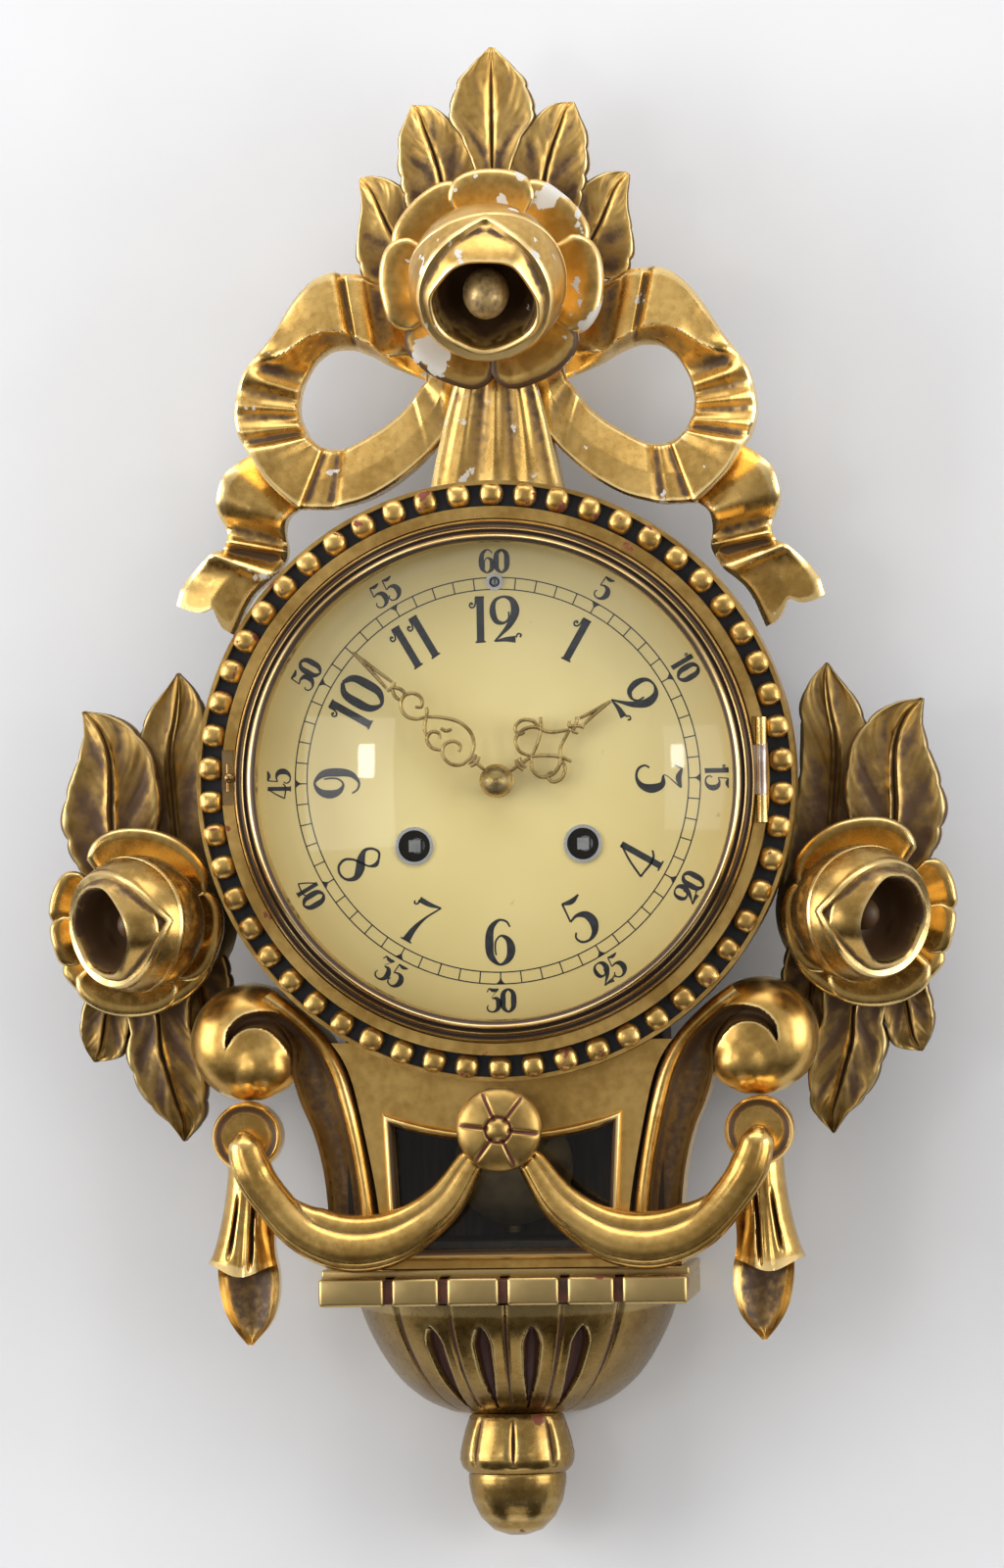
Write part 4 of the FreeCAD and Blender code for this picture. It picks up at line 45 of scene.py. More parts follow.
class Shade:
    """One socket of a finish. Arithmetic on it adds the Math nodes that work it out."""

    def __init__(self, tree, socket=None):
        self.tree = tree
        self.socket = socket

    def node(self, kind, settings=None, inputs=None, output=0):
        made = self.tree.nodes.new(kind)
        for name, value in (settings or {}).items():
            setattr(made, name, value)
        for key, value in (inputs or {}).items():
            if isinstance(value, Shade):
                self.tree.links.new(value.socket, made.inputs[key])
            else:
                made.inputs[key].default_value = value
        return Shade(self.tree, made.outputs[output] if made.outputs else None)

    def maths(self, operation, first, second=0.0):
        return self.node("ShaderNodeMath", {"operation": operation}, {0: first, 1: second})

    def __add__(self, other):
        return self.maths("ADD", self, other)

    def __radd__(self, other):
        return self.maths("ADD", other, self)

    def __sub__(self, other):
        return self.maths("SUBTRACT", self, other)

    def __rsub__(self, other):
        return self.maths("SUBTRACT", other, self)

    def __mul__(self, other):
        return self.maths("MULTIPLY", self, other)

    def step(self, low, high):
        limits = {"Value": self, "From Min": low, "From Max": high}
        return self.node("ShaderNodeMapRange", {"interpolation_type": "SMOOTHSTEP"}, limits)

    def tint(self, low, high):
        return self.node("ShaderNodeMix", {"data_type": "RGBA"}, {0: self, 6: low, 7: high}, 2)

    def object_place(self):
        return self.node("ShaderNodeTexCoord", output="Object")

    def along(self, axis):
        return self.node("ShaderNodeSeparateXYZ", None, {"Vector": self}, axis)

    def from_middle(self):
        across, upward = self.along("X"), self.along("Z")
        return self.maths("SQRT", across * across + upward * upward)

    def attribute(self, name):
        return self.node("ShaderNodeAttribute", {"attribute_name": name}, output="Fac")

    def grain(self, scale, detail=3.0, place=None):
        spread = {"Vector": place or self.object_place(), "Scale": scale, "Detail": detail}
        return self.node("ShaderNodeTexNoise", None, spread)


def new_finish(name):
    material = bpy.data.materials.new(name)
    material.use_nodes = True
    material.node_tree.nodes.clear()
    return material, Shade(material.node_tree)


def close_finish(shade, colour, rough, relief=None, metal=0.0):
    inputs = {"Base Color": colour, "Roughness": rough, "Metallic": metal}
    if relief:
        inputs["Normal"] = relief
    lit = shade.node("ShaderNodeBsdfPrincipled", None, inputs)
    shade.node("ShaderNodeOutputMaterial", None, {"Surface": lit})


def bumped(shade, height, strength, distance):
    inputs = {"Height": height, "Strength": strength, "Distance": distance}
    return shade.node("ShaderNodeBump", None, inputs)


def flat_board(name, size, place, finish):
    bm = bmesh.new()
    bmesh.ops.create_grid(bm, x_segments=1, y_segments=1, size=size)
    bmesh.ops.transform(bm, matrix=place, verts=bm.verts)
    mesh = bpy.data.meshes.new(name)
    bm.to_mesh(mesh)
    bm.free()
    mesh.materials.append(finish)
    board = bpy.data.objects.new(name, mesh)
    bpy.context.collection.objects.link(board)


WALL_GAP = 0.0006
WALL_HALF = 3.0
FLOOR_PLACE = (0, -0.46, -1.5)
FLOOR_HALF = 0.45
plaster, shade = new_finish("wall_plaster")
mottle = shade.grain(9.0).step(0.3, 0.7).tint((0.77, 0.775, 0.79, 1), (0.80, 0.805, 0.82, 1))
painted = shade.node("ShaderNodeBsdfDiffuse", None, {"Color": mottle})
unseen = shade.node("ShaderNodeBsdfTransparent")
behind = shade.node("ShaderNodeNewGeometry", output="Backfacing")
wall_surface = shade.node("ShaderNodeMixShader", None, {0: behind, 1: painted, 2: unseen})
shade.node("ShaderNodeOutputMaterial", None, {"Surface": wall_surface})
wall_place = Matrix.Translation((0, WALL_GAP, 0)) @ Matrix.Rotation(math.radians(90), 4, "X")
flat_board("wall", WALL_HALF, wall_place, plaster)

floorcloth, shade = new_finish("pale_floor")
weave = shade.grain(6.0).step(0.3, 0.7).tint((0.74, 0.73, 0.72, 1), (0.80, 0.79, 0.78, 1))
close_finish(shade, weave, 0.8)
flat_board("floor", FLOOR_HALF, Matrix.Translation(FLOOR_PLACE), floorcloth)

# The light: two windows, one to each side in front of the wall, and a soft ceiling glow.
# The room is bright above and dark below, which gives the gilding its dark undersides.
LAMPS = [
    ("window_left", (-1.07, -1.93, 0.16), (0.13, 0.24), 1.1),
    ("curtain_left", (-1.24, -1.93, 0.0), (0.75, 1.0), 3.6),
    ("window_right", (1.19, -1.87, 0.16), (0.10, 0.17), 0.5),
    ("curtain_right", (1.36, -1.87, 0.0), (0.5, 0.8), 1.5),
    ("side_glow_left", (-2.4, -0.95, 0.25), (1.6, 1.8), 54.0),
    ("side_glow_right", (2.5, -0.95, 0.2), (1.6, 1.8), 42.0),
    ("ceiling_glow", (-0.1, -0.85, 1.9), (2.6, 0.9), 19.0),
]
for lamp_name, spot, (width, height), watts in LAMPS:
    lamp = bpy.data.lights.new(lamp_name, "AREA")
    lamp.shape = "RECTANGLE"
    lamp.size = width
    lamp.size_y = height
    lamp.energy = watts
    holder = bpy.data.objects.new(lamp_name, lamp)
    holder.location = spot
    holder.rotation_euler = (Vector((0, 0, 0)) - Vector(spot)).to_track_quat("-Z", "Y").to_euler()
    bpy.context.collection.objects.link(holder)

sky = bpy.data.worlds.new("room_light")
sky.use_nodes = True
sky.node_tree.nodes.clear()
shade = Shade(sky.node_tree)
heading = shade.node("ShaderNodeTexCoord", output="Generated")
rise = heading.along("Z")
below = rise.step(-0.75, -0.12).tint((0.035, 0.027, 0.020, 1), (0.37, 0.36, 0.35, 1))
air = rise.step(0.05, 0.85).tint(below, (0.92, 0.92, 0.94, 1))
glow = shade.node("ShaderNodeBackground", None, {"Color": air, "Strength": 1.0})
shade.node("ShaderNodeOutputWorld", None, {"Surface": glow})
bpy.context.scene.world = sky
bpy.context.scene.view_settings.view_transform = "Standard"

# The camera stands level with the dial, a little to its right, and leans by under a degree.
# It stands well back, as for a catalogue picture.
CAMERA_REACH = 4.0
CAMERA_TURN = math.radians(4.5)
CAMERA_LEAN = math.radians(0.9)
CAMERA_AIM = Vector((0.0010, -0.060, -0.0013))
CAMERA_FILM = 24.0
CAMERA_LENS = 156.6
lens = bpy.data.cameras.new("eye")
lens.sensor_fit = "VERTICAL"
lens.sensor_height = CAMERA_FILM
lens.lens = CAMERA_LENS
eye = bpy.data.objects.new("eye", lens)
eye.location = CAMERA_AIM + CAMERA_REACH * Vector((math.sin(CAMERA_TURN), -math.cos(CAMERA_TURN), 0))
eye_turn = (CAMERA_AIM - eye.location).to_track_quat("-Z", "Y").to_matrix().to_4x4()
eye.rotation_euler = (eye_turn @ Matrix.Rotation(-CAMERA_LEAN, 4, "Z")).to_euler()
bpy.context.collection.objects.link(eye)
bpy.context.scene.camera = eye

# The case: a turned drum with a box below it for the pendulum, closed behind by a board.
# It is softwood stained dark, screwed together and hung by an iron keyhole plate. Its near-black tone,
# inside and out, is also painted shade for the dark inside of the box.


def dress(finish, *nodes):
    for node in nodes:
        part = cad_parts[node]
        if not part.material_slots:
            part.data.materials.append(finish)
        for place in part.material_slots:
            place.material = finish


def toned_wood(name, dark, pale):
    material, shade = new_finish(name)
    place = shade.object_place()
    stretched = shade.node("ShaderNodeMapping", None, {"Vector": place, "Scale": (1.0, 1.0, 0.12)})
    figure = shade.grain(260.0, 4.0, stretched)
    cloud = shade.grain(22.0, 2.0, place)
    colour = (figure * 0.7 + cloud * 0.3).step(0.32, 0.68).tint(dark, pale)
    relief = bumped(shade, figure, 0.25, 0.0004)
    close_finish(shade, colour, 0.55 + figure * 0.2, relief)
    return material


# The case's near-black is dark stain and painted shade for the inside of the box.
dark_stain_and_shade_wood = toned_wood("stained_case_wood", (0.008, 0.005, 0.003, 1), (0.032, 0.018, 0.009, 1))
board_wood = toned_wood("stained_back_board", (0.020, 0.011, 0.006, 1), (0.070, 0.038, 0.018, 1))
dress(dark_stain_and_shade_wood, "case_shell")
dress(board_wood, "back_board")


TARNISH = (0.05, 0.03, 0.02, 1)


def worked_metal(name, dull, bright, rough, scale, tarnish=0.0):
    """Brass, iron or steel: clouded, finely scratched and tarnished in patches."""
    material, shade = new_finish(name)
    cloud = shade.grain(scale, 4.0)
    scratch = shade.grain(scale * 14.0, 3.0)
    age = (cloud + tarnish).step(0.55, 0.95)
    colour = age.tint(cloud.step(0.3, 0.7).tint(dull, bright), TARNISH)
    relief = bumped(shade, scratch, 0.08, 0.0002)
    close_finish(shade, colour, rough + scratch * 0.16 + age * 0.25, relief, 0.97 - age * 0.35)
    return material


iron = worked_metal("dark_iron", (0.10, 0.095, 0.09, 1), (0.22, 0.21, 0.20, 1), 0.38, 70.0, 0.15)
steel = worked_metal("bright_steel", (0.36, 0.37, 0.39, 1), (0.62, 0.63, 0.65, 1), 0.2, 90.0)
dress(iron, "hanger_plate", "case_screws")

# The movement: two brass plates on pillars with steel arbors, brass wheels, a bell and its hammer.
# The pendulum hangs behind the back plate, a brass bob on a steel rod.
plate_brass = worked_metal("plate_brass", (0.46, 0.30, 0.10, 1), (0.70, 0.50, 0.20, 1), 0.24, 60.0, 0.08)
# The front plate is made near-black: painted shade for the plate seen dark through the winding holes.
shade_dark_plate = worked_metal("shade_dark_plate_brass", (0.030, 0.021, 0.010, 1), (0.085, 0.060, 0.027, 1),
                          0.4, 60.0, 0.08)
bell_bronze = worked_metal("bell_bronze", (0.50, 0.38, 0.20, 1), (0.72, 0.58, 0.34, 1), 0.18, 40.0)
# The bob is made dark brass: painted shade for the dark inside of the case.
shade_dark_bob_brass = worked_metal("shade_dark_bob_brass", (0.13, 0.095, 0.04, 1), (0.26, 0.20, 0.09, 1), 0.3, 55.0, 0.12)
dress(shade_dark_plate, "front_plate")
dress(plate_brass, "back_plate", "centre_wheel", "hour_wheel", "minute_wheel", "going_barrel",
      "strike_barrel", "suspension_cock", "intermediate_wheel", "third_wheel", "escape_wheel")
dress(steel, "movement_brackets", "going_winding_arbor", "strike_winding_arbor", "anchor", "pendulum_rod",
      "hammer", "regulator_arbor")
dress(bell_bronze, "bell")
dress(shade_dark_bob_brass, "pendulum_bob")

# The ring round the dial: turned wood, gilt on its fillet and rim, with a near-black blue cove between
# them.
# Fifty-four carved and gilt beads are glued in the cove, their crowns rubbed down to red clay at the top.
FILLET_RADIUS = 0.1068
RIM_RADIUS = 0.1153
BEAD_COUNT = 54
BEAD_CIRCLE = 111.7
BEAD_HALF_LENGTH = 4.8
BEAD_HALF_WIDTH = 4.7
BEAD_FOOT = 78.0
BEAD_CROWN = 82.6
COVE_DARK = (0.010, 0.012, 0.018, 1)
COVE_EDGE = 0.0001
LEAF_DULL = (0.45, 0.262, 0.066)
LEAF_BRIGHT = (0.72, 0.465, 0.145)
LEAF_RUBBED = (0.90, 0.65, 0.27)
# Umber for grime and for painted shade in the hollows.
UMBER_AND_SHADE = (0.085, 0.042, 0.015, 1)
RED_CLAY = (0.20, 0.045, 0.020, 1)
GESSO = (0.66, 0.63, 0.57, 1)


def gilding(name, hollow_tint=UMBER_AND_SHADE, dirt_and_shade=0.0, clay=0.0, chips=0.0, rough=0.25, scale=1.0, age=0.0,
            cove=False):
    """Leaf over red clay over gesso: the hollows darken to umber, as grime and as painted shade, and the
    leaf is rubbed bright on the edges.
    Clay and chips say how much of each shows through, age how far the leaf is darkened: dulled leaf, and
    painted shade, most on the pieces low down."""
    material, shade = new_finish(name)
    place = shade.object_place()
    hollow, stain_and_shade, wear = (shade.attribute(kept) for kept in ("hollow", "stain_and_shade", "wear"))
    cloud = shade.grain(38.0 * scale, 3.0, place)
    leaf_grain = shade.grain(340.0 * scale, 5.0, place)
    speck = shade.grain(1300.0 * scale, 2.0, place)
    # Age darkens the whole leaf: dulled leaf, and painted shade on the pieces low down and at the sides.
    dull, bright, burnished = (
        tuple(part * (1.0 - age) for part in tint) + (1,) for tint in (LEAF_DULL, LEAF_BRIGHT, LEAF_RUBBED))
    leaf = (cloud * 0.7 + leaf_grain * 0.3).step(0.34, 0.66).tint(dull, bright)
    rubbed = (leaf_grain * 0.35 - hollow * 0.9).step(0.42, 1.0)
    # Grime and painted shade: the hollows, and the places each piece is toned darker, go over to the hollow
    # tint.
    grime_and_shade = (hollow * 1.35 + stain_and_shade + leaf_grain * 0.8 + cloud * 0.3 + (dirt_and_shade - 0.52)).step(0.15, 0.90)
    colour = grime_and_shade.tint(rubbed.tint(leaf, burnished), hollow_tint)
    bare = grime_and_shade
    if clay:
        patches = shade.grain(85.0 * scale, 4.0, place) + wear * 0.12 - hollow * 0.05
        worn = patches.step(0.68 - clay, 0.73 - clay)
        colour = worn.tint(colour, RED_CLAY)
        bare = bare.maths("MAXIMUM", bare, worn)
    if chips:
        flakes = shade.grain(105.0 * scale, 6.0, place) + wear * 0.2 - hollow * 0.03
        gone = flakes.step(0.74 - chips, 0.755 - chips)
        colour = gone.tint(colour, GESSO)
        bare = bare.maths("MAXIMUM", bare, gone)
    if cove:
        # The band between fillet and rim is coloured near-black blue.
        radius = place.from_middle()
        past = [radius.step(edge - COVE_EDGE, edge + COVE_EDGE) for edge in (FILLET_RADIUS, RIM_RADIUS)]
        dark_cove_band = past[0] * (1.0 - past[1])
        colour = dark_cove_band.tint(colour, COVE_DARK)
        bare = bare.maths("MAXIMUM", bare, dark_cove_band)
    relief = bumped(shade, leaf_grain * 0.7 + speck * 0.3, 0.09, 0.0005)
    close_finish(shade, colour, rough + leaf_grain * 0.16 + bare * 0.28, relief, 0.96 - bare * 0.82)
    return material


def find_hollows(mesh, rounds, depth):
    """Keeps, for each point, how far it lies below (above zero) or above its surroundings."""
    count = len(mesh.vertices)
    spots = np.empty(count * 3)
    faces_to = np.empty(count * 3)
    ends = np.empty(len(mesh.edges) * 2, dtype=int)
    mesh.vertices.foreach_get("co", spots)
    mesh.vertices.foreach_get("normal", faces_to)
    mesh.edges.foreach_get("vertices", ends)
    spots = spots.reshape(-1, 3)
    one, other = ends[0::2], ends[1::2]
    shares = np.maximum(np.bincount(one, minlength=count) + np.bincount(other, minlength=count), 1)
    eased = spots.copy()
    for pass_number in range(rounds):
        moved = np.empty_like(eased)
        for axis in range(3):
            total = np.bincount(one, eased[other, axis], count)
            moved[:, axis] = (total + np.bincount(other, eased[one, axis], count)) / shares
        eased = moved
    sunk = ((eased - spots) * faces_to.reshape(-1, 3)).sum(axis=1) / depth
    layer = mesh.attributes.new("hollow", "FLOAT", "POINT")
    layer.data.foreach_set("value", np.clip(sunk, -1.0, 1.0).astype(np.float32))


def make_piece(name, bm, finish, body, nodes, slot, crease=60.0, rounds=10, depth=0.0012):
    """Turns work done in millimetres into a piece of the clock in metres. Edges sharper than crease stay
    sharp, and hollows are found over so many rounds, to such a depth."""
    bmesh.ops.remove_doubles(bm, verts=bm.verts, dist=0.001)
    bmesh.ops.dissolve_degenerate(bm, edges=bm.edges, dist=0.0005)
    bmesh.ops.recalc_face_normals(bm, faces=bm.faces)
    bmesh.ops.scale(bm, vec=(0.001, 0.001, 0.001), verts=bm.verts)
    mesh = bpy.data.meshes.new(name)
    bm.to_mesh(mesh)
    bm.free()
    mesh.materials.append(finish)
    mesh.shade_smooth()
    mesh.set_sharp_from_angle(angle=math.radians(crease))
    find_hollows(mesh, rounds, depth)
    made = bpy.data.objects.new(name, mesh)
    bpy.context.collection.objects.link(made)
    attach(made, body)
    if nodes:
        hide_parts(*nodes)


def carved_piece(name, bm, finish, nodes, **options):
    """A piece of gilt wood on the case."""
    make_piece(name, bm, finish, "case", nodes, "gilt_wood", **options)


ring_gilt = gilding("ring_gilding", dirt_and_shade=-0.16, clay=0.01, cove=True)
dress(ring_gilt, "bead_ring")
bead_gilt = gilding("bead_gilding", clay=0.03, scale=1.6)
bm = bmesh.new()
rubbed_bead = bm.verts.layers.float.new("wear")
for number in range(BEAD_COUNT):
    angle = math.radians((number + 0.5) * 360.0 / BEAD_COUNT)
    seed = Vector((number * 3.7, 1.3, 0.4))
    half_length = BEAD_HALF_LENGTH * (1.0 + 0.05 * noise.noise(seed))
    half_width = BEAD_HALF_WIDTH * (1.0 + 0.05 * noise.noise(seed * 2.0))
    bead = bmesh.ops.create_uvsphere(bm, u_segments=20, v_segments=12, radius=1.0)["verts"]
    for vert in bead:
        ball = vert.co.copy()
        squared = [math.copysign(abs(part) ** 0.82, part) for part in ball]
        lump = 1.0 + 0.05 * noise.noise(ball * 1.4 + seed * 5.0)
        out = BEAD_CIRCLE + squared[0] * half_length * lump
        along = squared[1] * half_width * lump
        rise_over = (BEAD_CROWN - BEAD_FOOT) * max(squared[2], -0.35) * lump
        x = out * math.cos(angle) - along * math.sin(angle)
        z = out * math.sin(angle) + along * math.cos(angle)
        vert.co = (x, -min(BEAD_FOOT + rise_over, BEAD_CROWN), z)
        vert[rubbed_bead] = max(0.0, math.sin(angle) * 4.0 - 3.0) * max(0.0, ball.z)
carved_piece("carved_beads", bm, bead_gilt, ["ring_beads"], crease=80.0, rounds=4)

# The bezel: a spun brass ring with a bright roll on each edge and dark coves between them, coloured as
# tarnish and as painted shade.
# It swings on a brass hinge at the right and is pulled open by a small knob at the left.
BEZEL_SECTION = [(92.8, 80), (92.8, 86), (93, 88.6), (93.6, 90.4), (94.4, 91.5), (95.2, 92), (96, 91.5),
                 (96.4, 90.3), (96.6, 89.2), (97.1, 88.6), (97.6, 89.1), (98, 89.5), (98.4, 89.2),
                 (98.7, 88.2), (99.2, 87.2), (99.9, 86.6), (100.4, 87), (100.9, 87.3), (101.4, 86.8),
                 (101.6, 85.6), (101.6, 74.3), (96, 74.3), (95.4, 80)]


def turned_ring(bm, section, steps, centre=(0.0, 0.0), closed=True):
    """Spins a section of (radius, depth) points about an axis square to the wall."""
    verts = [bm.verts.new((centre[0] + radius, -depth, centre[1])) for radius, depth in section]
    pairs = list(zip(verts, verts[1:] + verts[:1]))
    if not closed:
        pairs.pop()
    edges = [bm.edges.new(pair) for pair in pairs]
    bmesh.ops.spin(bm, geom=verts + edges, cent=(centre[0], 0, centre[1]), axis=(0, 1, 0),
                   angle=math.tau, steps=steps, use_merge=True)


BEZEL_SIGHT = 0.0928
BEZEL_WIDTH = 0.0088
BEZEL_STEPS = 3.0
bezel_metal, shade = new_finish("lacquered_bezel_brass")
place = shade.object_place()
radius = place.from_middle()
brush = shade.node("ShaderNodeCombineXYZ", None, {0: radius * 3.0})
turning = shade.grain(900.0, 2.0, brush)
age = shade.grain(30.0, 4.0, place)
steps = shade.maths("SINE", (radius - BEZEL_SIGHT) * (BEZEL_STEPS * math.tau / BEZEL_WIDTH) + 2.0)
# The coves are coloured dark, as tarnish and as painted shade.
tarnish = (age * 0.9 - steps * 0.62).step(0.05, 0.75)
brass_tone = age.step(0.35, 0.65).tint((0.46, 0.31, 0.12, 1), (0.72, 0.53, 0.24, 1))
bezel_colour = tarnish.tint(brass_tone, (0.105, 0.070, 0.056, 1))
turned_lines = bumped(shade, turning, 0.10, 0.0002)
bezel_rough = 0.17 + turning * 0.12 + tarnish * 0.2
close_finish(shade, bezel_colour, bezel_rough, turned_lines, 0.97 - tarnish * 0.25)
bm = bmesh.new()
turned_ring(bm, BEZEL_SECTION, 180)
make_piece("spun_bezel", bm, bezel_metal, "bezel", ["bezel_ring"], "bezel_brass", rounds=2, depth=0.0004)
hinge_brass = worked_metal("hinge_brass", (0.62, 0.42, 0.14, 1), (0.90, 0.66, 0.28, 1), 0.2, 80.0)
dress(hinge_brass, "case_hinge_leaf")
dulled_brass = worked_metal("dulled_brass", (0.36, 0.27, 0.21, 1), (0.62, 0.52, 0.45, 1), 0.26, 120.0, 0.06)
dress(dulled_brass, "bezel_hinge_leaf")
brown_brass = worked_metal("brown_brass", (0.20, 0.12, 0.05, 1), (0.42, 0.28, 0.12, 1), 0.2, 110.0, 0.05)
dress(brown_brass, "bezel_knob", "catch_plate")
dress(steel, "hinge_pin")

# The bezel glass is a blown dome of clear glass, thin and slightly rippled, bedded in the bezel's groove.
# The pane in the apron is cut from flat glass and is a little less glossy.


def clear_glass(name, density, gloss):
    material, shade = new_finish(name)
    ripple = bumped(shade, shade.grain(14.0, 1.0), 0.05, 0.002)
    edge = shade.node("ShaderNodeFresnel", None, {"IOR": density, "Normal": ripple})
    seen = shade.node("ShaderNodeLightPath", output="Is Camera Ray")
    mirrored = shade.node("ShaderNodeLightPath", output="Is Glossy Ray")
    through = shade.node("ShaderNodeBsdfTransparent", None, {"Color": (0.985, 0.99, 0.985, 1)})
    mirror = shade.node("ShaderNodeBsdfGlossy", None, {"Roughness": gloss, "Normal": ripple})
    mixed = shade.node("ShaderNodeMixShader", None, {0: edge * (seen + mirrored), 1: through, 2: mirror})
    shade.node("ShaderNodeOutputMaterial", None, {"Surface": mixed})
    return material


dress(clear_glass("domed_glass", 1.40, 0.035), "bezel_glass")
dress(clear_glass("pane_glass", 1.30, 0.06), "window_glass")

# The dial: a sheet-metal disc on four feet, lacquered cream-gold, with painted shade darkening it towards
# its foot.
# Bright sleeves are pressed into the two winding holes and the regulator hole.
dial_lacquer, shade = new_finish("cream_dial_lacquer")
place = shade.object_place()
cloud = shade.grain(16.0, 3.0, place)
dust = shade.grain(900.0, 2.0, place)
spots = shade.grain(240.0, 2.0, place).step(0.76, 0.80)
dial_tone = cloud.step(0.3, 0.7).tint((0.79, 0.635, 0.265, 1), (0.85, 0.705, 0.325, 1))
dial_tone = (spots * 0.35).tint(dial_tone, (0.30, 0.20, 0.08, 1))
# Painted shade: the lacquer darkens towards the dial's foot, where the bezel shades it.
painted_shade_low = place.along("Z").step(-0.02, -0.098)
dial_tone = (painted_shade_low * 0.6).tint(dial_tone, (0.52, 0.395, 0.145, 1))
close_finish(shade, dial_tone, 0.34 + dust * 0.16, bumped(shade, dust, 0.05, 0.0001))
dress(dial_lacquer, "dial_plate")
nickel = worked_metal("nickel_sleeve", (0.70, 0.71, 0.73, 1), (0.90, 0.91, 0.92, 1), 0.16, 90.0)
dress(nickel, "dial_grommets")

# The dial's print: a minute track of two fine circles with a wedge at each fifth minute, hour numbers
# with thick and thin strokes, and small minute numbers. The ink is blue-black and lies flat on the lacquer.
# A stroke's points give how far along and how high it is, and half its width, in hundredths of the height.
INK_BACK = 68.95
INK_FRONT = 69.06
TRACK_RADII = (74.7, 79.3)
TRACK_LINE = 0.23
TRACK_WEDGE = 1.9
HAIRLINE = 0.004
HOUR_NUMBER_RADIUS = 63.0
HOUR_NUMBER_HEIGHT = 18.0
MINUTE_NUMBER_RADIUS = 85.7
MINUTE_NUMBER_HEIGHT = 9.2
HOUR_WEIGHT = 1.1
MINUTE_WEIGHT = 1.4
DIGIT_STROKES = {
    "0": [[(31, 98.5, 3), (14, 86, 6), (8, 50, 8.5), (14, 14, 6), (31, 1.5, 3), (48, 14, 6),
           (54, 50, 8.5), (48, 86, 6), (31, 98.5, 3)]],
    "1": [[(24, 99, 7), (24, 2, 7)],
          [(13, 98.5, 1.3), (33, 98.5, 1.3)],
          [(13, 0.8, 1.6), (35, 2, 1.3)],
          [(14, 97, 1.4), (13.5, 84, 1.4), (10, 77, 1.4), (4, 76, 1.4), (1, 81, 1.4), (5, 86, 1.6),
           (8, 82, 1.8)]],
    "2": [[(42, 66, 1.4), (41, 50, 1.6), (32, 42, 2.2), (17, 44, 4.5), (7, 66, 6), (14, 92, 3),
           (32, 98.5, 2), (48, 92, 5), (56, 72, 8), (46, 42, 6), (24, 16, 2.4), (10, 2, 1.2)],
          [(12, 2.5, 1.2), (34, 6, 4), (56, 6, 6.5)],
          [(57, 10, 1.4), (62, 18, 1.3), (68, 16, 1.3), (66, 10, 1.6)]],
    "3": [[(2, 86, 1.3), (6, 90, 1.4), (9, 99, 1.4), (30, 93, 5.5), (52, 98.5, 1.4)],
          [(52, 98.5, 1.2), (26, 60, 1.6), (42, 59, 5), (53, 36, 8.5), (44, 10, 5), (26, 1.5, 2.2),
           (8, 8, 2.2), (3, 22, 1.6), (8, 30, 1.4)]],
    "4": [[(42, 98.5, 1.4), (20, 64, 1.8), (2, 27, 1.8)],
          [(2, 27, 1.6), (58, 27, 1.8), (64, 33, 1.4)],
          [(43, 98.5, 6), (43, 2, 6)],
          [(31, 1, 1.3), (55, 1, 1.3)]],
    "5": [[(13, 98.5, 1.6), (34, 93, 5), (55, 98.5, 1.4)],
          [(14, 98, 1.6), (10, 56, 1.4)],
          [(10, 56, 1.4), (28, 61, 3), (47, 52, 7), (53, 32, 8.5), (42, 9, 5), (24, 1.5, 2.2), (7, 8, 2),
           (3, 22, 1.6), (9, 30, 1.4)]],
    "6": [[(53, 83, 1.4), (46, 94, 1.6), (32, 98.5, 2), (15, 86, 5), (7.5, 50, 8), (13, 16, 6),
           (31, 1.5, 2.2), (48, 12, 5.5), (55, 34, 8), (46, 58, 4.5), (33, 64, 1.8), (23, 55, 1.4),
           (20, 36, 1.4), (22, 22, 1.2)]],
    "7": [[(0, 86, 1.4), (3, 80, 1.4), (8, 82, 1.4), (9, 92, 1.6)],
          [(8, 93, 5.5), (30, 93, 4.5), (58, 98.5, 1.2)],
          [(58, 98.5, 1.2), (38, 62, 2), (28, 30, 5), (25, 2, 7.5)],
          [(12, 1, 1.3), (38, 1, 1.3)]],
    "8": [[(45, 90, 2), (32, 98.5, 2), (17, 90, 2.2), (12, 76, 3), (22, 60, 7), (42, 44, 8.5),
           (53, 26, 5), (45, 7, 2.2), (30, 1.5, 2), (13, 8, 2.2), (7, 25, 2.4), (16, 42, 2),
           (32, 54, 1.6), (47, 66, 1.8), (51, 80, 4), (45, 90, 2)]],
    "9": [[(9, 17, 1.4), (16, 6, 1.6), (30, 1.5, 2), (47, 14, 5), (54.5, 50, 8), (49, 84, 6),
           (31, 98.5, 2.2), (14, 88, 5.5), (7, 66, 8), (16, 42, 4.5), (29, 36, 1.8), (39, 45, 1.4),
           (42, 64, 1.4), (40, 78, 1.2)]],
}
DIGIT_WIDTHS = {"1": 0.44, "2": 0.68, "4": 0.64}
DIGIT_WIDTH = 0.62
DIGIT_UNIT = 0.01


def smooth_span(knots, slopes, span, part, width=1.0):
    """A smooth run from one knot to the next, by the values and the slopes at both."""
    square, cube = part * part, part * part * part
    start = knots[span] * (2 * cube - 3 * square + 1) + slopes[span] * width * (cube - 2 * square + part)
    return start + knots[span + 1] * (3 * square - 2 * cube) + slopes[span + 1] * width * (cube - square)


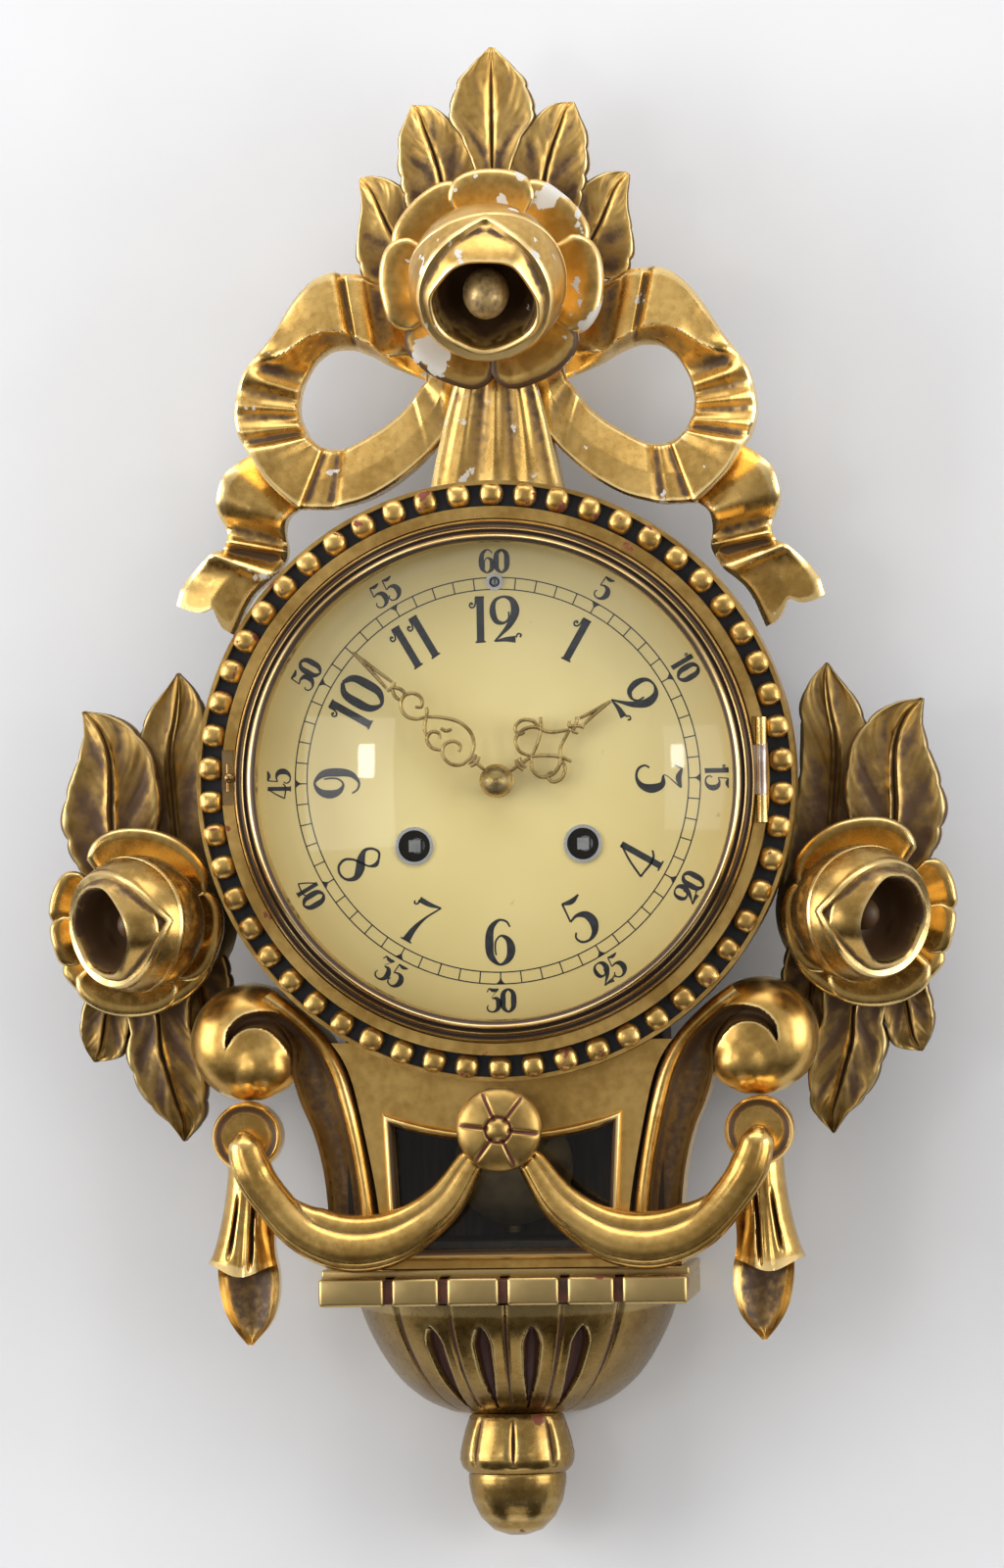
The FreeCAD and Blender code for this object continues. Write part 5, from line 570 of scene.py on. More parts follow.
def smooth_line(points):
    """A curve through points, asked for by its share of the way from the first point to the last."""
    knots = np.array(points, dtype=float)
    gaps = np.linalg.norm(np.diff(knots[:, :2], axis=0), axis=1)
    marks = np.insert(np.cumsum(gaps), 0, 0.0) / gaps.sum()
    slopes = np.gradient(knots, marks, axis=0)

    def place_at(share):
        span = min(max(int(np.searchsorted(marks, share)) - 1, 0), len(marks) - 2)
        width = marks[span + 1] - marks[span]
        return smooth_span(knots, slopes, span, (share - marks[span]) / width, width)

    return place_at


def round_dial(side, out, turn):
    """Where a spot beside and out along a line lies once the line is turned clockwise from 12."""
    return side * math.cos(turn) + out * math.sin(turn), out * math.cos(turn) - side * math.sin(turn)


def course(line, share):
    """The way that a line runs at its share, as a step of length one."""
    ahead = line(min(share + 0.01, 1.0)) - line(max(share - 0.01, 0.0))
    return ahead / math.hypot(ahead[0], ahead[1])


# Brown on the backs: bare wood, and painted shade grading up the side walls.
BARE_BACK_AND_SHADE = 1.1


def lay_sheet(bm, columns, rows, shape, back, back_tone=BARE_BACK_AND_SHADE):
    """Lays a grid over shape(u, v), which gives x, depth from the wall, z, how brown it is toned there, by
    grime and painted shade, and how worn, and closes it at a flat back, which is left brown as a rule: the
    bare wood, and painted shade that grades up the side walls."""
    others = set(bm.verts)
    layers = bm.verts.layers.float
    for kept in ("stain_and_shade", "wear"):
        if kept not in layers:
            layers.new(kept)
    toned, worn = layers["stain_and_shade"], layers["wear"]
    grid = bmesh.ops.create_grid(bm, x_segments=columns, y_segments=rows, size=0.5)["verts"]
    for vert in grid:
        x, depth, z, *paint = shape(vert.co.x + 0.5, vert.co.y + 0.5)
        vert.co = (x, -depth, z)
        for layer, amount in zip((toned, worn), paint):
            vert[layer] = amount
    bmesh.ops.remove_doubles(bm, verts=grid, dist=0.002)
    front = [face for face in bm.faces if face.verts[0] not in others]
    for part in bmesh.ops.extrude_face_region(bm, geom=front)["geom"]:
        if isinstance(part, bmesh.types.BMVert):
            part.co.y = -back
            part[toned] = back_tone


def pen_stroke(bm, points, weight, frame_of):
    """A flat stroke whose half-width changes along the line."""
    line = smooth_line(np.array(points) * DIGIT_UNIT)
    steps = 1 if len(points) == 2 else 6 * (len(points) - 1)

    def shape(u, v):
        x, y, half = line(v)
        ahead = course(line, v)
        shift = (2.0 * u - 1.0) * (half * weight + HAIRLINE)
        across, up = frame_of(x - ahead[1] * shift, y + ahead[0] * shift)
        return across, INK_FRONT, up

    lay_sheet(bm, 1, steps, shape, INK_BACK)


def number_on_dial(bm, text, degrees, radius, height, weight):
    """A number round the dial, its top outwards, or inwards where that reads from below."""
    upright = math.cos(math.radians(degrees)) > -0.2
    turn = math.radians(degrees if upright else degrees + 180.0)
    offset = radius if upright else -radius
    widths = [DIGIT_WIDTHS.get(digit, DIGIT_WIDTH) for digit in text]
    left = -sum(widths) / 2.0
    for digit, width in zip(text, widths):
        start = left

        def frame_of(x, y):
            return round_dial((start + x) * height, offset + (y - 0.5) * height, turn)

        for stroke in DIGIT_STROKES[digit]:
            pen_stroke(bm, stroke, weight, frame_of)
        left += width


ink, shade = new_finish("blue_black_ink")
speckle = shade.grain(500.0, 3.0)
ink_tone = speckle.step(0.3, 0.75).tint((0.008, 0.009, 0.013, 1), (0.026, 0.028, 0.036, 1))
close_finish(shade, ink_tone, 0.32 + speckle * 0.2)
bm = bmesh.new()
for hour in range(1, 13):
    number_on_dial(bm, str(hour), hour * 30.0, HOUR_NUMBER_RADIUS, HOUR_NUMBER_HEIGHT, HOUR_WEIGHT)
    minute = str(hour * 5)
    number_on_dial(bm, minute, hour * 30.0, MINUTE_NUMBER_RADIUS, MINUTE_NUMBER_HEIGHT, MINUTE_WEIGHT)
make_piece("dial_numbers", bm, ink, "case", [], "dial_enamel", crease=30.0, rounds=1)

bm = bmesh.new()
for radius in TRACK_RADII:
    line_section = [(radius - TRACK_LINE, INK_BACK), (radius - TRACK_LINE, INK_FRONT),
                    (radius + TRACK_LINE, INK_FRONT), (radius + TRACK_LINE, INK_BACK)]
    turned_ring(bm, line_section, 180)
for minute in range(60):
    turn = math.radians(minute * 6.0)
    wedge = TRACK_WEDGE if minute % 5 == 0 and minute else TRACK_LINE

    def minute_mark(u, v):
        taper = TRACK_LINE + (wedge - TRACK_LINE) * max(0.0, 2.2 * v - 1.2) ** 1.6
        out = TRACK_RADII[0] + v * (TRACK_RADII[1] - TRACK_RADII[0])
        across, up = round_dial((2.0 * u - 1.0) * taper, out, turn)
        return across, INK_FRONT, up

    lay_sheet(bm, 1, 6, minute_mark, INK_BACK)
make_piece("minute_track", bm, ink, "case", [], "dial_enamel", crease=30.0, rounds=1)

# The hands: cast and pierced gilt brass, scrolls of round wire on a collar, ending in a slim spear.
# A domed nut holds the minute hand on its square.
HOUR_HAND_ANGLE = math.radians(56.0)
MINUTE_HAND_ANGLE = math.radians(312.6)
HOUR_HAND_DEPTH = 72.4
MINUTE_HAND_DEPTH = 75.4
HAND_WIRE = 0.76
MINUTE_SCROLLS = [
    [(0, 6.2), (0, 13.5)],
    [(-2.6, 11.2), (0, 10.6), (2.6, 11.2)],
    [(-2.4, 12.8), (0, 12.2), (2.4, 12.8)],
    [(0, 13.5), (4.2, 15.4), (7.2, 19.5), (7.6, 25), (4.8, 31.4), (0.4, 37)],
    [(0, 13.5), (-4.2, 14.2), (-7, 17.8), (-6.4, 22.4), (-2.8, 24.4), (0.6, 22.4), (0.8, 19.4),
     (-1.4, 18.4)],
    [(-5.4, 23.8), (-7.2, 27.4), (-5.8, 31.2), (-2.4, 31.4), (-1.2, 28.8), (-2.6, 27.2)],
    [(-5.4, 30.8), (-3.6, 34.2), (0.4, 37)],
    [(3.4, 26.4), (1.4, 27.6), (0.8, 29.8)],
    [(0.4, 37), (-3, 39.4), (-4.6, 43.2), (-2.8, 47.6), (1.2, 48.8), (4.2, 46.2), (4.2, 42.6), (1.8, 41),
     (0.4, 42.8)],
    [(0.4, 37), (2.2, 38.2), (3.2, 39.6)],
    [(-1.6, 48.6), (-1.8, 51.4), (0, 54.8)],
    [(1.6, 48.6), (1.8, 51.4), (0, 54.8)],
    [(-2.4, 55.2), (0, 54.4), (2.4, 55.2)],
    [(-1.7, 56), (-1.1, 61), (0, 75.2)],
    [(1.7, 56), (1.1, 61), (0, 75.2)],
]
HOUR_STEM = [
    [(0, 6.2), (0, 16.5)],
    [(-2.6, 10.8), (0, 10.2), (2.6, 10.8)],
    [(-2.4, 12.4), (0, 11.8), (2.4, 12.4)],
]
HOUR_SIDE = [
    [(0, 16.5), (4.6, 13.8), (9, 15.2), (10.4, 19.4), (8.6, 24.2), (4.4, 27), (0, 34.6)],
    [(0, 16.5), (2.4, 20.6), (6.6, 25.6), (10.6, 28.2)],
    [(6.6, 25.6), (11.4, 24.6), (13.8, 21), (12.6, 17.4), (9.6, 17.6), (9.4, 19.8)],
]
HOUR_TIP = [
    [(-3, 36.6), (-1, 35.4), (0, 37.4), (1, 35.4), (3, 36.6)],
    [(-2.6, 39.8), (-0.9, 38.6), (0, 37.4), (0.9, 38.6), (2.6, 39.8)],
    [(-1.5, 40.4), (-0.9, 44), (0, 54.2)],
    [(1.5, 40.4), (0.9, 44), (0, 54.2)],
]


def mirror_points(points):
    return [(-x, z) for x, z in points]


both_sides = [scroll for side in HOUR_SIDE for scroll in (side, mirror_points(side))]
HOUR_SCROLLS = HOUR_STEM + both_sides + HOUR_TIP


def wire_hand(bm, scrolls, angle, depth, gauge):
    """Bends round wire along each scroll in the hand's own plane."""
    for scroll in scrolls:
        line = smooth_line(scroll)
        steps = 5 * (len(scroll) - 1) + 1
        drawn = bpy.data.curves.new("scroll", "CURVE")
        drawn.dimensions = "3D"
        drawn.bevel_depth = gauge
        drawn.bevel_resolution = 2
        drawn.use_fill_caps = True
        spline = drawn.splines.new("POLY")
        spline.points.add(steps - 1)
        for number, point in enumerate(spline.points):
            x, z = round_dial(*line(number / (steps - 1)), angle)
            point.co = (x, -depth, z, 1.0)
            ending = min(number, steps - 1 - number) / max(steps - 1, 1)
            point.radius = 0.8 + 0.8 * min(ending, 0.25)
        bent = bpy.data.objects.new("scroll", drawn)
        bpy.context.collection.objects.link(bent)
        bpy.context.view_layer.update()
        solid = bpy.data.meshes.new_from_object(bent.evaluated_get(bpy.context.evaluated_depsgraph_get()))
        bm.from_mesh(solid)
        bpy.data.objects.remove(bent)
        bpy.data.curves.remove(drawn)
        bpy.data.meshes.remove(solid)


hand_gilt = worked_metal("gilt_hand_brass", (0.40, 0.28, 0.095, 1), (0.78, 0.58, 0.25, 1), 0.2, 160.0, 0.05)
for hand, scrolls, angle, depth, bore, collar in (
    ("hour_hand", HOUR_SCROLLS, HOUR_HAND_ANGLE, HOUR_HAND_DEPTH, 3.2, 6.6),
    ("minute_hand", MINUTE_SCROLLS, MINUTE_HAND_ANGLE, MINUTE_HAND_DEPTH, 2.4, 6.4),
):
    bm = bmesh.new()
    wire_hand(bm, scrolls, angle, depth, HAND_WIRE)
    back, front = depth - 0.4, depth + 0.4
    hub_section = [(bore, back), (bore, front), (collar - 1.2, front), (collar - 0.6, depth + 0.7),
                   (collar, front), (collar, back)]
    turned_ring(bm, hub_section, 48)
    body = hand.split("_")[0]
    make_piece("scrolled_" + hand, bm, hand_gilt, body, [hand], "gilt_hand", crease=50.0, rounds=2)
NUT_SECTION = [(0, 80.4), (0.9, 80.35), (1, 80), (1.2, 79.9), (3, 79.5), (4.8, 78.6), (5.9, 77.4),
               (6.3, 76.7), (6.5, 76.5), (6.5, 76.2), (0, 76.2)]
bm = bmesh.new()
turned_ring(bm, NUT_SECTION, 48, closed=False)
make_piece("domed_hand_nut", bm, hand_gilt, "minute", ["hand_nut"], "gilt_hand", crease=50.0, rounds=2)

# The palmette: five carved leaves on one block behind the rose, gilt, with serrated edges and deep veins.
# Each leaf overlaps the next, the middle one standing in front.
PALMETTE_BACK = 34.15
LAYER_STEP = 0.3
LEAF_RIB = 0.034
LEAF_DROOP = 0.30
MIDDLE_LEAF = [(-9, 216), (-7.4, 240), (-13, 253), (-17.5, 262), (-15.6, 268.5), (-13.6, 274.5),
               (-8, 281), (-1, 288)]
INNER_LEAF = ([(-34, 222), (-37, 236), (-37.8, 243), (-37, 254), (-34.8, 259.5), (-32, 266)],
              [(-4, 224), (-4.5, 240), (-8, 249), (-16.6, 259.8), (-24, 265.4), (-30.6, 266)])
OUTER_LEAF = ([(-40, 196.4), (-50.8, 196.8), (-54.2, 203.4), (-54.7, 213.6), (-52.6, 225), (-53.4, 237.4)],
              [(-22, 214), (-25, 226), (-30.4, 231.2), (-37.2, 235.2), (-47, 238.6), (-52.4, 238.2)])


def dent(away, width):
    """How much of a rounded cut is left so far away from its middle."""
    return math.exp(-((away / width) ** 2))


def carve_leaf(bm, left, right, back, low, high, teeth, veins=3.0):
    """A leaf from its foot to its tip: two dished halves, a midrib groove, tool marks and a nicked edge."""
    left_edge, right_edge = smooth_line(left), smooth_line(right)

    def shape(u, v):
        side = 2.0 * u - 1.0
        half = abs(side)
        from_edge, to_edge = left_edge(v), right_edge(v)
        middle = (from_edge + to_edge) / 2.0
        edge = from_edge if side < 0 else to_edge
        lobe = abs(math.sin(math.pi * (teeth * v + 0.35 * math.sin(7.0 * v + teeth)))) ** 0.5
        notch = -0.10 * half ** 8 * (1.0 - lobe) * math.sin(math.pi * min(v * 1.02, 1.0)) ** 0.5
        x, z = middle + (edge - middle) * half * (1.0 + notch)
        swell = 0.60 + 0.40 * math.sin(math.pi * (0.10 + 0.72 * v)) - LEAF_DROOP * v ** 4
        chisel = noise.noise(Vector((x * 0.16, z * 0.16, back)))
        fine = noise.noise(Vector((24.0 * (v - 0.38 * half), 1.6 * side, high)))
        section = 0.90 - 0.13 * math.sin(math.pi * half ** 0.9) - 0.22 * half ** 22
        groove = dent(half, LEAF_RIB) * (1.0 - v ** 4)
        ridge = dent(half - 2.6 * LEAF_RIB, LEAF_RIB)
        flute = math.sin(math.tau * veins * (v - 0.38 * half)) * math.sin(math.pi * half)
        section += 0.045 * ridge - 0.17 * groove + 0.026 * flute + 0.035 * chisel + 0.022 * fine
        # Painted shade in the midrib groove, in the flutes, towards the foot under the rose and along the
        # edges; the chisel and fine noise add real uneven toning.
        streak = max(0.0, -flute) ** 3
        tone = 0.18 * groove + 0.75 * (1.0 - v) ** 1.5 + 0.24 * streak
        tone += 0.40 * max(0.0, chisel) + 0.26 * fine
        depth = low + (high - low) * min(max(swell * section, 0.0), 1.0)
        return x, depth, z, tone + 2.6 * half ** 18

    lay_sheet(bm, 48, 72, shape, back)


leaf_gilt = gilding("palmette_gilding", dirt_and_shade=0.03, rough=0.3, age=0.10)
bm = bmesh.new()
for flip in (False, True):
    for layer, (left, right), low, high in ((0, OUTER_LEAF, 36.0, 45.5), (1, INNER_LEAF, 37.0, 48.5)):
        edges = (mirror_points(right), mirror_points(left)) if flip else (left, right)
        carve_leaf(bm, *edges, PALMETTE_BACK + layer * LAYER_STEP, low, high, 5.0)
carve_leaf(bm, MIDDLE_LEAF, mirror_points(MIDDLE_LEAF), PALMETTE_BACK + 2 * LAYER_STEP, 39.0, 51.0, 7.0)
hub_back = PALMETTE_BACK + 3 * LAYER_STEP
hub_section = [(0.0, 58.0), (30.0, 58.0), (33.0, 54.0), (36.0, 44.0), (36.0, hub_back), (0.0, hub_back)]
turned_ring(bm, hub_section, 64, (0.0, 195.8), closed=False)
carved_piece("palmette", bm, leaf_gilt, ["crest_leaves"])

# The ribbon bow: each loop and its tail are one carving, folded like stiff silk into facets and flutes.
# A loop's row gives its outer edge, the edge of its hole, the depth at the hole, in between and outside,
# where across the band the in-between depth lies, and how much painted shade the fold gets.
BOW_BACK = 34.0
BOW_FRONT = 57.9
TAIL_TURN = 0.86
LOOP_ROWS = [
    (-24, 190, -27.6, 157.5, 44, 50, 46, 0.4, 0.35), (-45.5, 196, -41, 163, 46, 54, 46, 0.12, 0.3),
    (-52, 199.2, -48, 167, 46, 56, 48, 0.14, 0.2), (-58, 200, -52.6, 168.9, 46, 56, 49.5, 0.17, 0.24),
    (-60.6, 200, -54.8, 169.7, 45, 54.5, 47.5, 0.19, 0.36),
    (-63.8, 200.4, -57.6, 170.3, 46, 58, 51, 0.21, 0), (-72, 197, -64, 169.9, 46, 58, 51.5, 0.27, 0),
    (-80, 188.5, -68.5, 167.5, 46, 57.5, 50.5, 0.36, 0), (-88, 176, -72, 164, 45, 57, 49.5, 0.52, 0.02),
    (-95, 166.5, -75.5, 158, 45.5, 52, 57, 0.75, 0.12), (-99, 160.5, -77, 153.8, 47, 53, 57.5, 0.6, 0.02),
    (-101, 154.5, -77.7, 150.2, 46, 51.2, 56.3, 0.6, 0.2),
    (-102, 149, -77.9, 147, 47.6, 53, 57.5, 0.6, 0.02),
    (-102.4, 144, -77.5, 143.8, 46, 51.2, 56.3, 0.6, 0.2),
    (-101.5, 138.5, -76.4, 140.6, 48, 53, 57.5, 0.6, 0.02),
    (-99.6, 133.6, -75, 137.8, 46.4, 51, 55.4, 0.6, 0.24),
    (-97, 129.6, -74, 135.8, 51, 55.5, 57.5, 0.6, 0),
    (-90.3, 119, -71.5, 133.5, 50, 54.5, 57.8, 0.55, -0.08),
    (-79, 108.5, -69, 132, 50, 54.5, 57.8, 0.5, -0.05),
    (-75.5, 107.8, -67.2, 131.6, 47.5, 52, 55, 0.5, 0.44),
    (-70, 107.5, -64.6, 131, 48.5, 53, 56, 0.5, 0.14), (-65, 107.5, -62, 131.1, 47.5, 52, 55, 0.5, 0.44),
    (-60, 108.5, -58.8, 131.6, 50, 54.5, 57.8, 0.5, -0.05),
    (-51, 111, -52.6, 134.7, 49.6, 54.2, 57.4, 0.5, -0.08),
    (-41.6, 116, -43.3, 140.3, 49, 53.4, 56.4, 0.5, -0.05),
    (-34, 121.6, -37, 145.4, 48.4, 52.4, 55, 0.5, 0.04),
    (-28, 127, -33.4, 149.6, 47, 50.8, 53, 0.5, 0.22),
    (-24.5, 130.6, -31.6, 152.2, 47.4, 51, 52.6, 0.5, 0.12),
    (-19.7, 137, -29, 155.6, 46.6, 49.6, 50, 0.5, 0.3), (-16, 147, -27.2, 157.4, 47, 50, 46, 0.5, 0.35),
    (-14, 158, -25.8, 162, 46, 48, 44, 0.5, 0.4),
]
TAIL_ROWS = [
    (-95, 131, -78, 110, 42, 42, 42, 0.3), (-103, 126, -79, 107.6, 48, 48, 46, 0.1),
    (-108, 121, -81.4, 106, 50.5, 50, 48, 0), (-110.6, 113, -83.4, 103.6, 50, 50.8, 49, -0.05),
    (-110.4, 107, -84.2, 99.6, 47.6, 48.4, 47, 0.1), (-108.2, 102, -84, 96, 43.5, 44.5, 43.5, 0.35),
    (-107, 98.6, -83.5, 93.2, 44, 44.5, 43.5, 0.28), (-107.4, 95.6, -83.4, 91, 46.5, 46.5, 45, 0.15),
    (-109, 92.8, -84.4, 87.6, 44, 44, 43.5, 0.35), (-112.8, 91, -88.6, 81.6, 50, 50.8, 50, -0.05),
    (-117, 87.6, -93, 78, 47, 48, 48, 0.1), (-122, 82.5, -97, 74.2, 44.5, 47, 47, 0.15),
    (-126, 77, -100.3, 69, 44.5, 46.5, 46, 0.15),
]
TAIL_END = [(-127.7, 71), (-123.5, 69), (-118, 68), (-113.4, 69.4), (-111.6, 65.6), (-109.2, 61.6),
            (-104.6, 58.7)]


def through_rows(rows):
    """Values that run smoothly along evenly counted rows."""
    table = np.array(rows, dtype=float)
    slopes = np.gradient(table, axis=0)

    def row_at(share):
        at = share * (len(table) - 1)
        span = min(int(at), len(table) - 2)
        return smooth_span(table, slopes, span, at - span)

    return row_at


def carve_loop(bm, sign):
    row_at = through_rows(LOOP_ROWS)

    def shape(u, v):
        outer_x, outer_z, hole_x, hole_z, at_hole, between, outside, knee, tone = row_at(v)
        depth = np.interp(u, (0.0, knee, 1.0), (at_hole, between, outside))
        depth -= 1.2 * max(0.0, 1.0 - u / 0.04) + 1.5 * max(0.0, (u - 0.96) / 0.04)
        # Painted shade on the inner band near the knot.
        if knee < 0.55 and v < 0.28 and u < knee:
            tone += 0.35
        x, z = hole_x + (outer_x - hole_x) * u, hole_z + (outer_z - hole_z) * u
        return sign * x, min(depth, BOW_FRONT), z, tone

    lay_sheet(bm, 44, 6 * (len(LOOP_ROWS) - 1), shape, BOW_BACK)


def between_edges(row, share):
    """A spot between the left edge and the right edge, which a row starts with."""
    return row[:2] + (row[2:4] - row[:2]) * share


def carve_tail(bm, sign):
    """A tail's row gives its left and right edges, its depths at the left, middle and right, and its
    painted shade.
    """
    row_at = through_rows(TAIL_ROWS)
    end_at = smooth_line(TAIL_END)

    def shape(u, v):
        row = row_at(min(v / TAIL_TURN, 1.0))
        x, z = between_edges(row, u)
        depth = np.interp(u, (0.0, 0.5, 1.0), row[4:7])
        if v > TAIL_TURN:
            part = (v - TAIL_TURN) / (1.0 - TAIL_TURN)
            end_x, end_z = end_at(u)
            x += (end_x - x) * part
            z += (end_z - z) * part
        depth -= max(0.0, 1.0 - u / 0.05) + max(0.0, (u - 0.95) / 0.05)
        return sign * x, depth, z, row[7]

    lay_sheet(bm, 28, 6 * (len(TAIL_ROWS) - 1), shape, BOW_BACK + LAYER_STEP)


ribbon_gilt = gilding("ribbon_gilding", dirt_and_shade=-0.03, chips=0.055, rough=0.2)
for side, sign in (("left", 1.0), ("right", -1.0)):
    bm = bmesh.new()
    carve_loop(bm, sign)
    carve_tail(bm, sign)
    carved_piece("ribbon_bow_" + side, bm, ribbon_gilt, ["bow_" + side], crease=30.0)

# The fan: the gathered end of the ribbon below the knot, carved from a gilt wooden block of its own.
# Its soft pleats spread towards the ring.
FAN_TOP = 166.0
FAN_HALF_TOP = 12.5
FAN_SPREAD = 15.5
FAN_FOOT_RADIUS = 108.4
FAN_PLEATS = 3.5


def fan_shape(u, v):
    side = 2.0 * u - 1.0
    half_width = FAN_HALF_TOP + FAN_SPREAD * v ** 0.8
    x = side * half_width
    foot = math.sqrt(FAN_FOOT_RADIUS ** 2 - x * x)
    pleat = 0.5 + 0.5 * math.cos(math.tau * FAN_PLEATS * (u - 0.5) * (1.0 + 0.1 * side))
    streak = math.sin(side * 34.0 + 3.0 * v) * math.sin(math.pi * min(1.0, 1.2 * v))
    depth = 51.5 + 2.5 * v + 1.4 * pleat - 2.2 * side * side + 0.12 * streak
    # Painted shade in the pleats' valleys and at the top under the knot, with soft streaks in the tone.
    tone = 0.08 + 0.26 * (1.0 - pleat) + 0.12 * streak + 0.34 * (1.0 - v)
    return x, depth, FAN_TOP + (foot - FAN_TOP) * v, tone


bm = bmesh.new()
lay_sheet(bm, 96, 28, fan_shape, BOW_BACK + 2 * LAYER_STEP)
carved_piece("pleated_fan", bm, ribbon_gilt, ["bow_fan"], rounds=14)

# The roses: carved in the round and gilt, seven spread petals with rolled rims round a half-open bud.
# The crest rose has lost leaf down to the gesso on some petals; the side roses turn outwards.
# A petal is given by its angle, half its spread, its lift and its reach.
CREST_PETALS = [(135, 33, 0.4, 43.5), (45, 31, 0.8, 44), (182, 31, 2.2, 44), (356, 33, 2.6, 44.2),
                (240, 33, 1, 44.2), (300, 32, 2, 44.2), (89, 29, 2.4, 43.5)]
SIDE_PETALS = [(160, 24, 0, 34), (196, 22, 1.2, 33.5), (229, 22, 0.2, 35), (306, 34, 0.8, 36.8),
               (346, 40, 2, 35.8), (264, 42, 2.8, 37.5), (72, 54, 3.6, 37.2)]
PETAL_RIM = 0.24
PETAL_HEIGHT = 3.8
PETAL_BACK_TONE = 0.15
WORN_SIDES = ((238.0, 1.0, 6), (335.0, 1.0, 6), (55.0, 0.6, 8))


def carve_petal(bm, centre, base, back, angle, spread, lift, reach):
    """A petal like a shallow dish: it rises from under the bud and is rounded over at its rim.
    A worn side is given by its angle, how bare it is and how narrow."""

    def shape(u, v):
        side = 2.0 * u - 1.0
        turn = math.radians(angle + spread * side)
        ripple = noise.noise(Vector((angle, side * 1.7, reach)))
        edge = reach * (1.0 - 0.19 * abs(side) ** 5 - 0.02 * max(0.0, ripple))
        out = edge * (0.48 + 0.52 * v)
        past_side = (abs(side) - 1.0 + PETAL_RIM * 0.6) / PETAL_RIM / 0.6
        past = max(0.0, (v - 1.0 + PETAL_RIM) / PETAL_RIM, past_side)
        rounded = 1.0 - math.sqrt(max(0.0, 1.0 - min(past, 1.0) ** 2))
        dish = PETAL_HEIGHT * v ** 1.3 - 1.2 * side * side
        depth = base + 3.0 + lift + dish - 3.4 * rounded + 0.9 * ripple * v
        # Painted shade on the petal towards the bud and along its sides where it tucks under its
        # neighbours.
        tone = 0.14 * (1.0 - v) ** 0.7 + 0.5 * max(0.0, abs(side) - 0.93) / 0.07
        wear = sum(share * max(0.0, math.cos(turn - math.radians(worn))) ** power
                   for worn, share, power in WORN_SIDES)
        x, z = centre[0] + out * math.cos(turn), centre[1] + out * math.sin(turn)
        return x, depth, z, tone, wear * (0.4 + 0.6 * v)

    lay_sheet(bm, 40, 40, shape, back, PETAL_BACK_TONE)


def round_shell(bm, columns, rows, shape):
    """A shell closed round its axis: shape(u, v) gives a spot and its tone."""
    toned = bm.verts.layers.float.get("stain_and_shade") or bm.verts.layers.float.new("stain_and_shade")
    grid = bmesh.ops.create_grid(bm, x_segments=columns, y_segments=rows, size=0.5)["verts"]
    for vert in grid:
        vert.co, vert[toned] = shape(vert.co.x + 0.5, vert.co.y + 0.5)
    bmesh.ops.remove_doubles(bm, verts=grid, dist=0.002)


def cap_ends(bm):
    bmesh.ops.holes_fill(bm, edges=[edge for edge in bm.edges if edge.is_boundary], sides=0)


BUD_FOOT = 150.0
BUD_INSIDE = ((0.985, 0.1), (0.965, -0.6), (0.90, -6.0), (0.85, -13.0), (0.66, -21.0), (0.0, -26.0))
ARCH_AWAY = (0.0, 5.0, 18.0, 33.0, 48.0, 63.0, 100.0, 180.0)
ARCH_LIMIT = (80.0, 75.5, 67.5, 62.5, 59.0, 56.0, 51.5, 49.0)


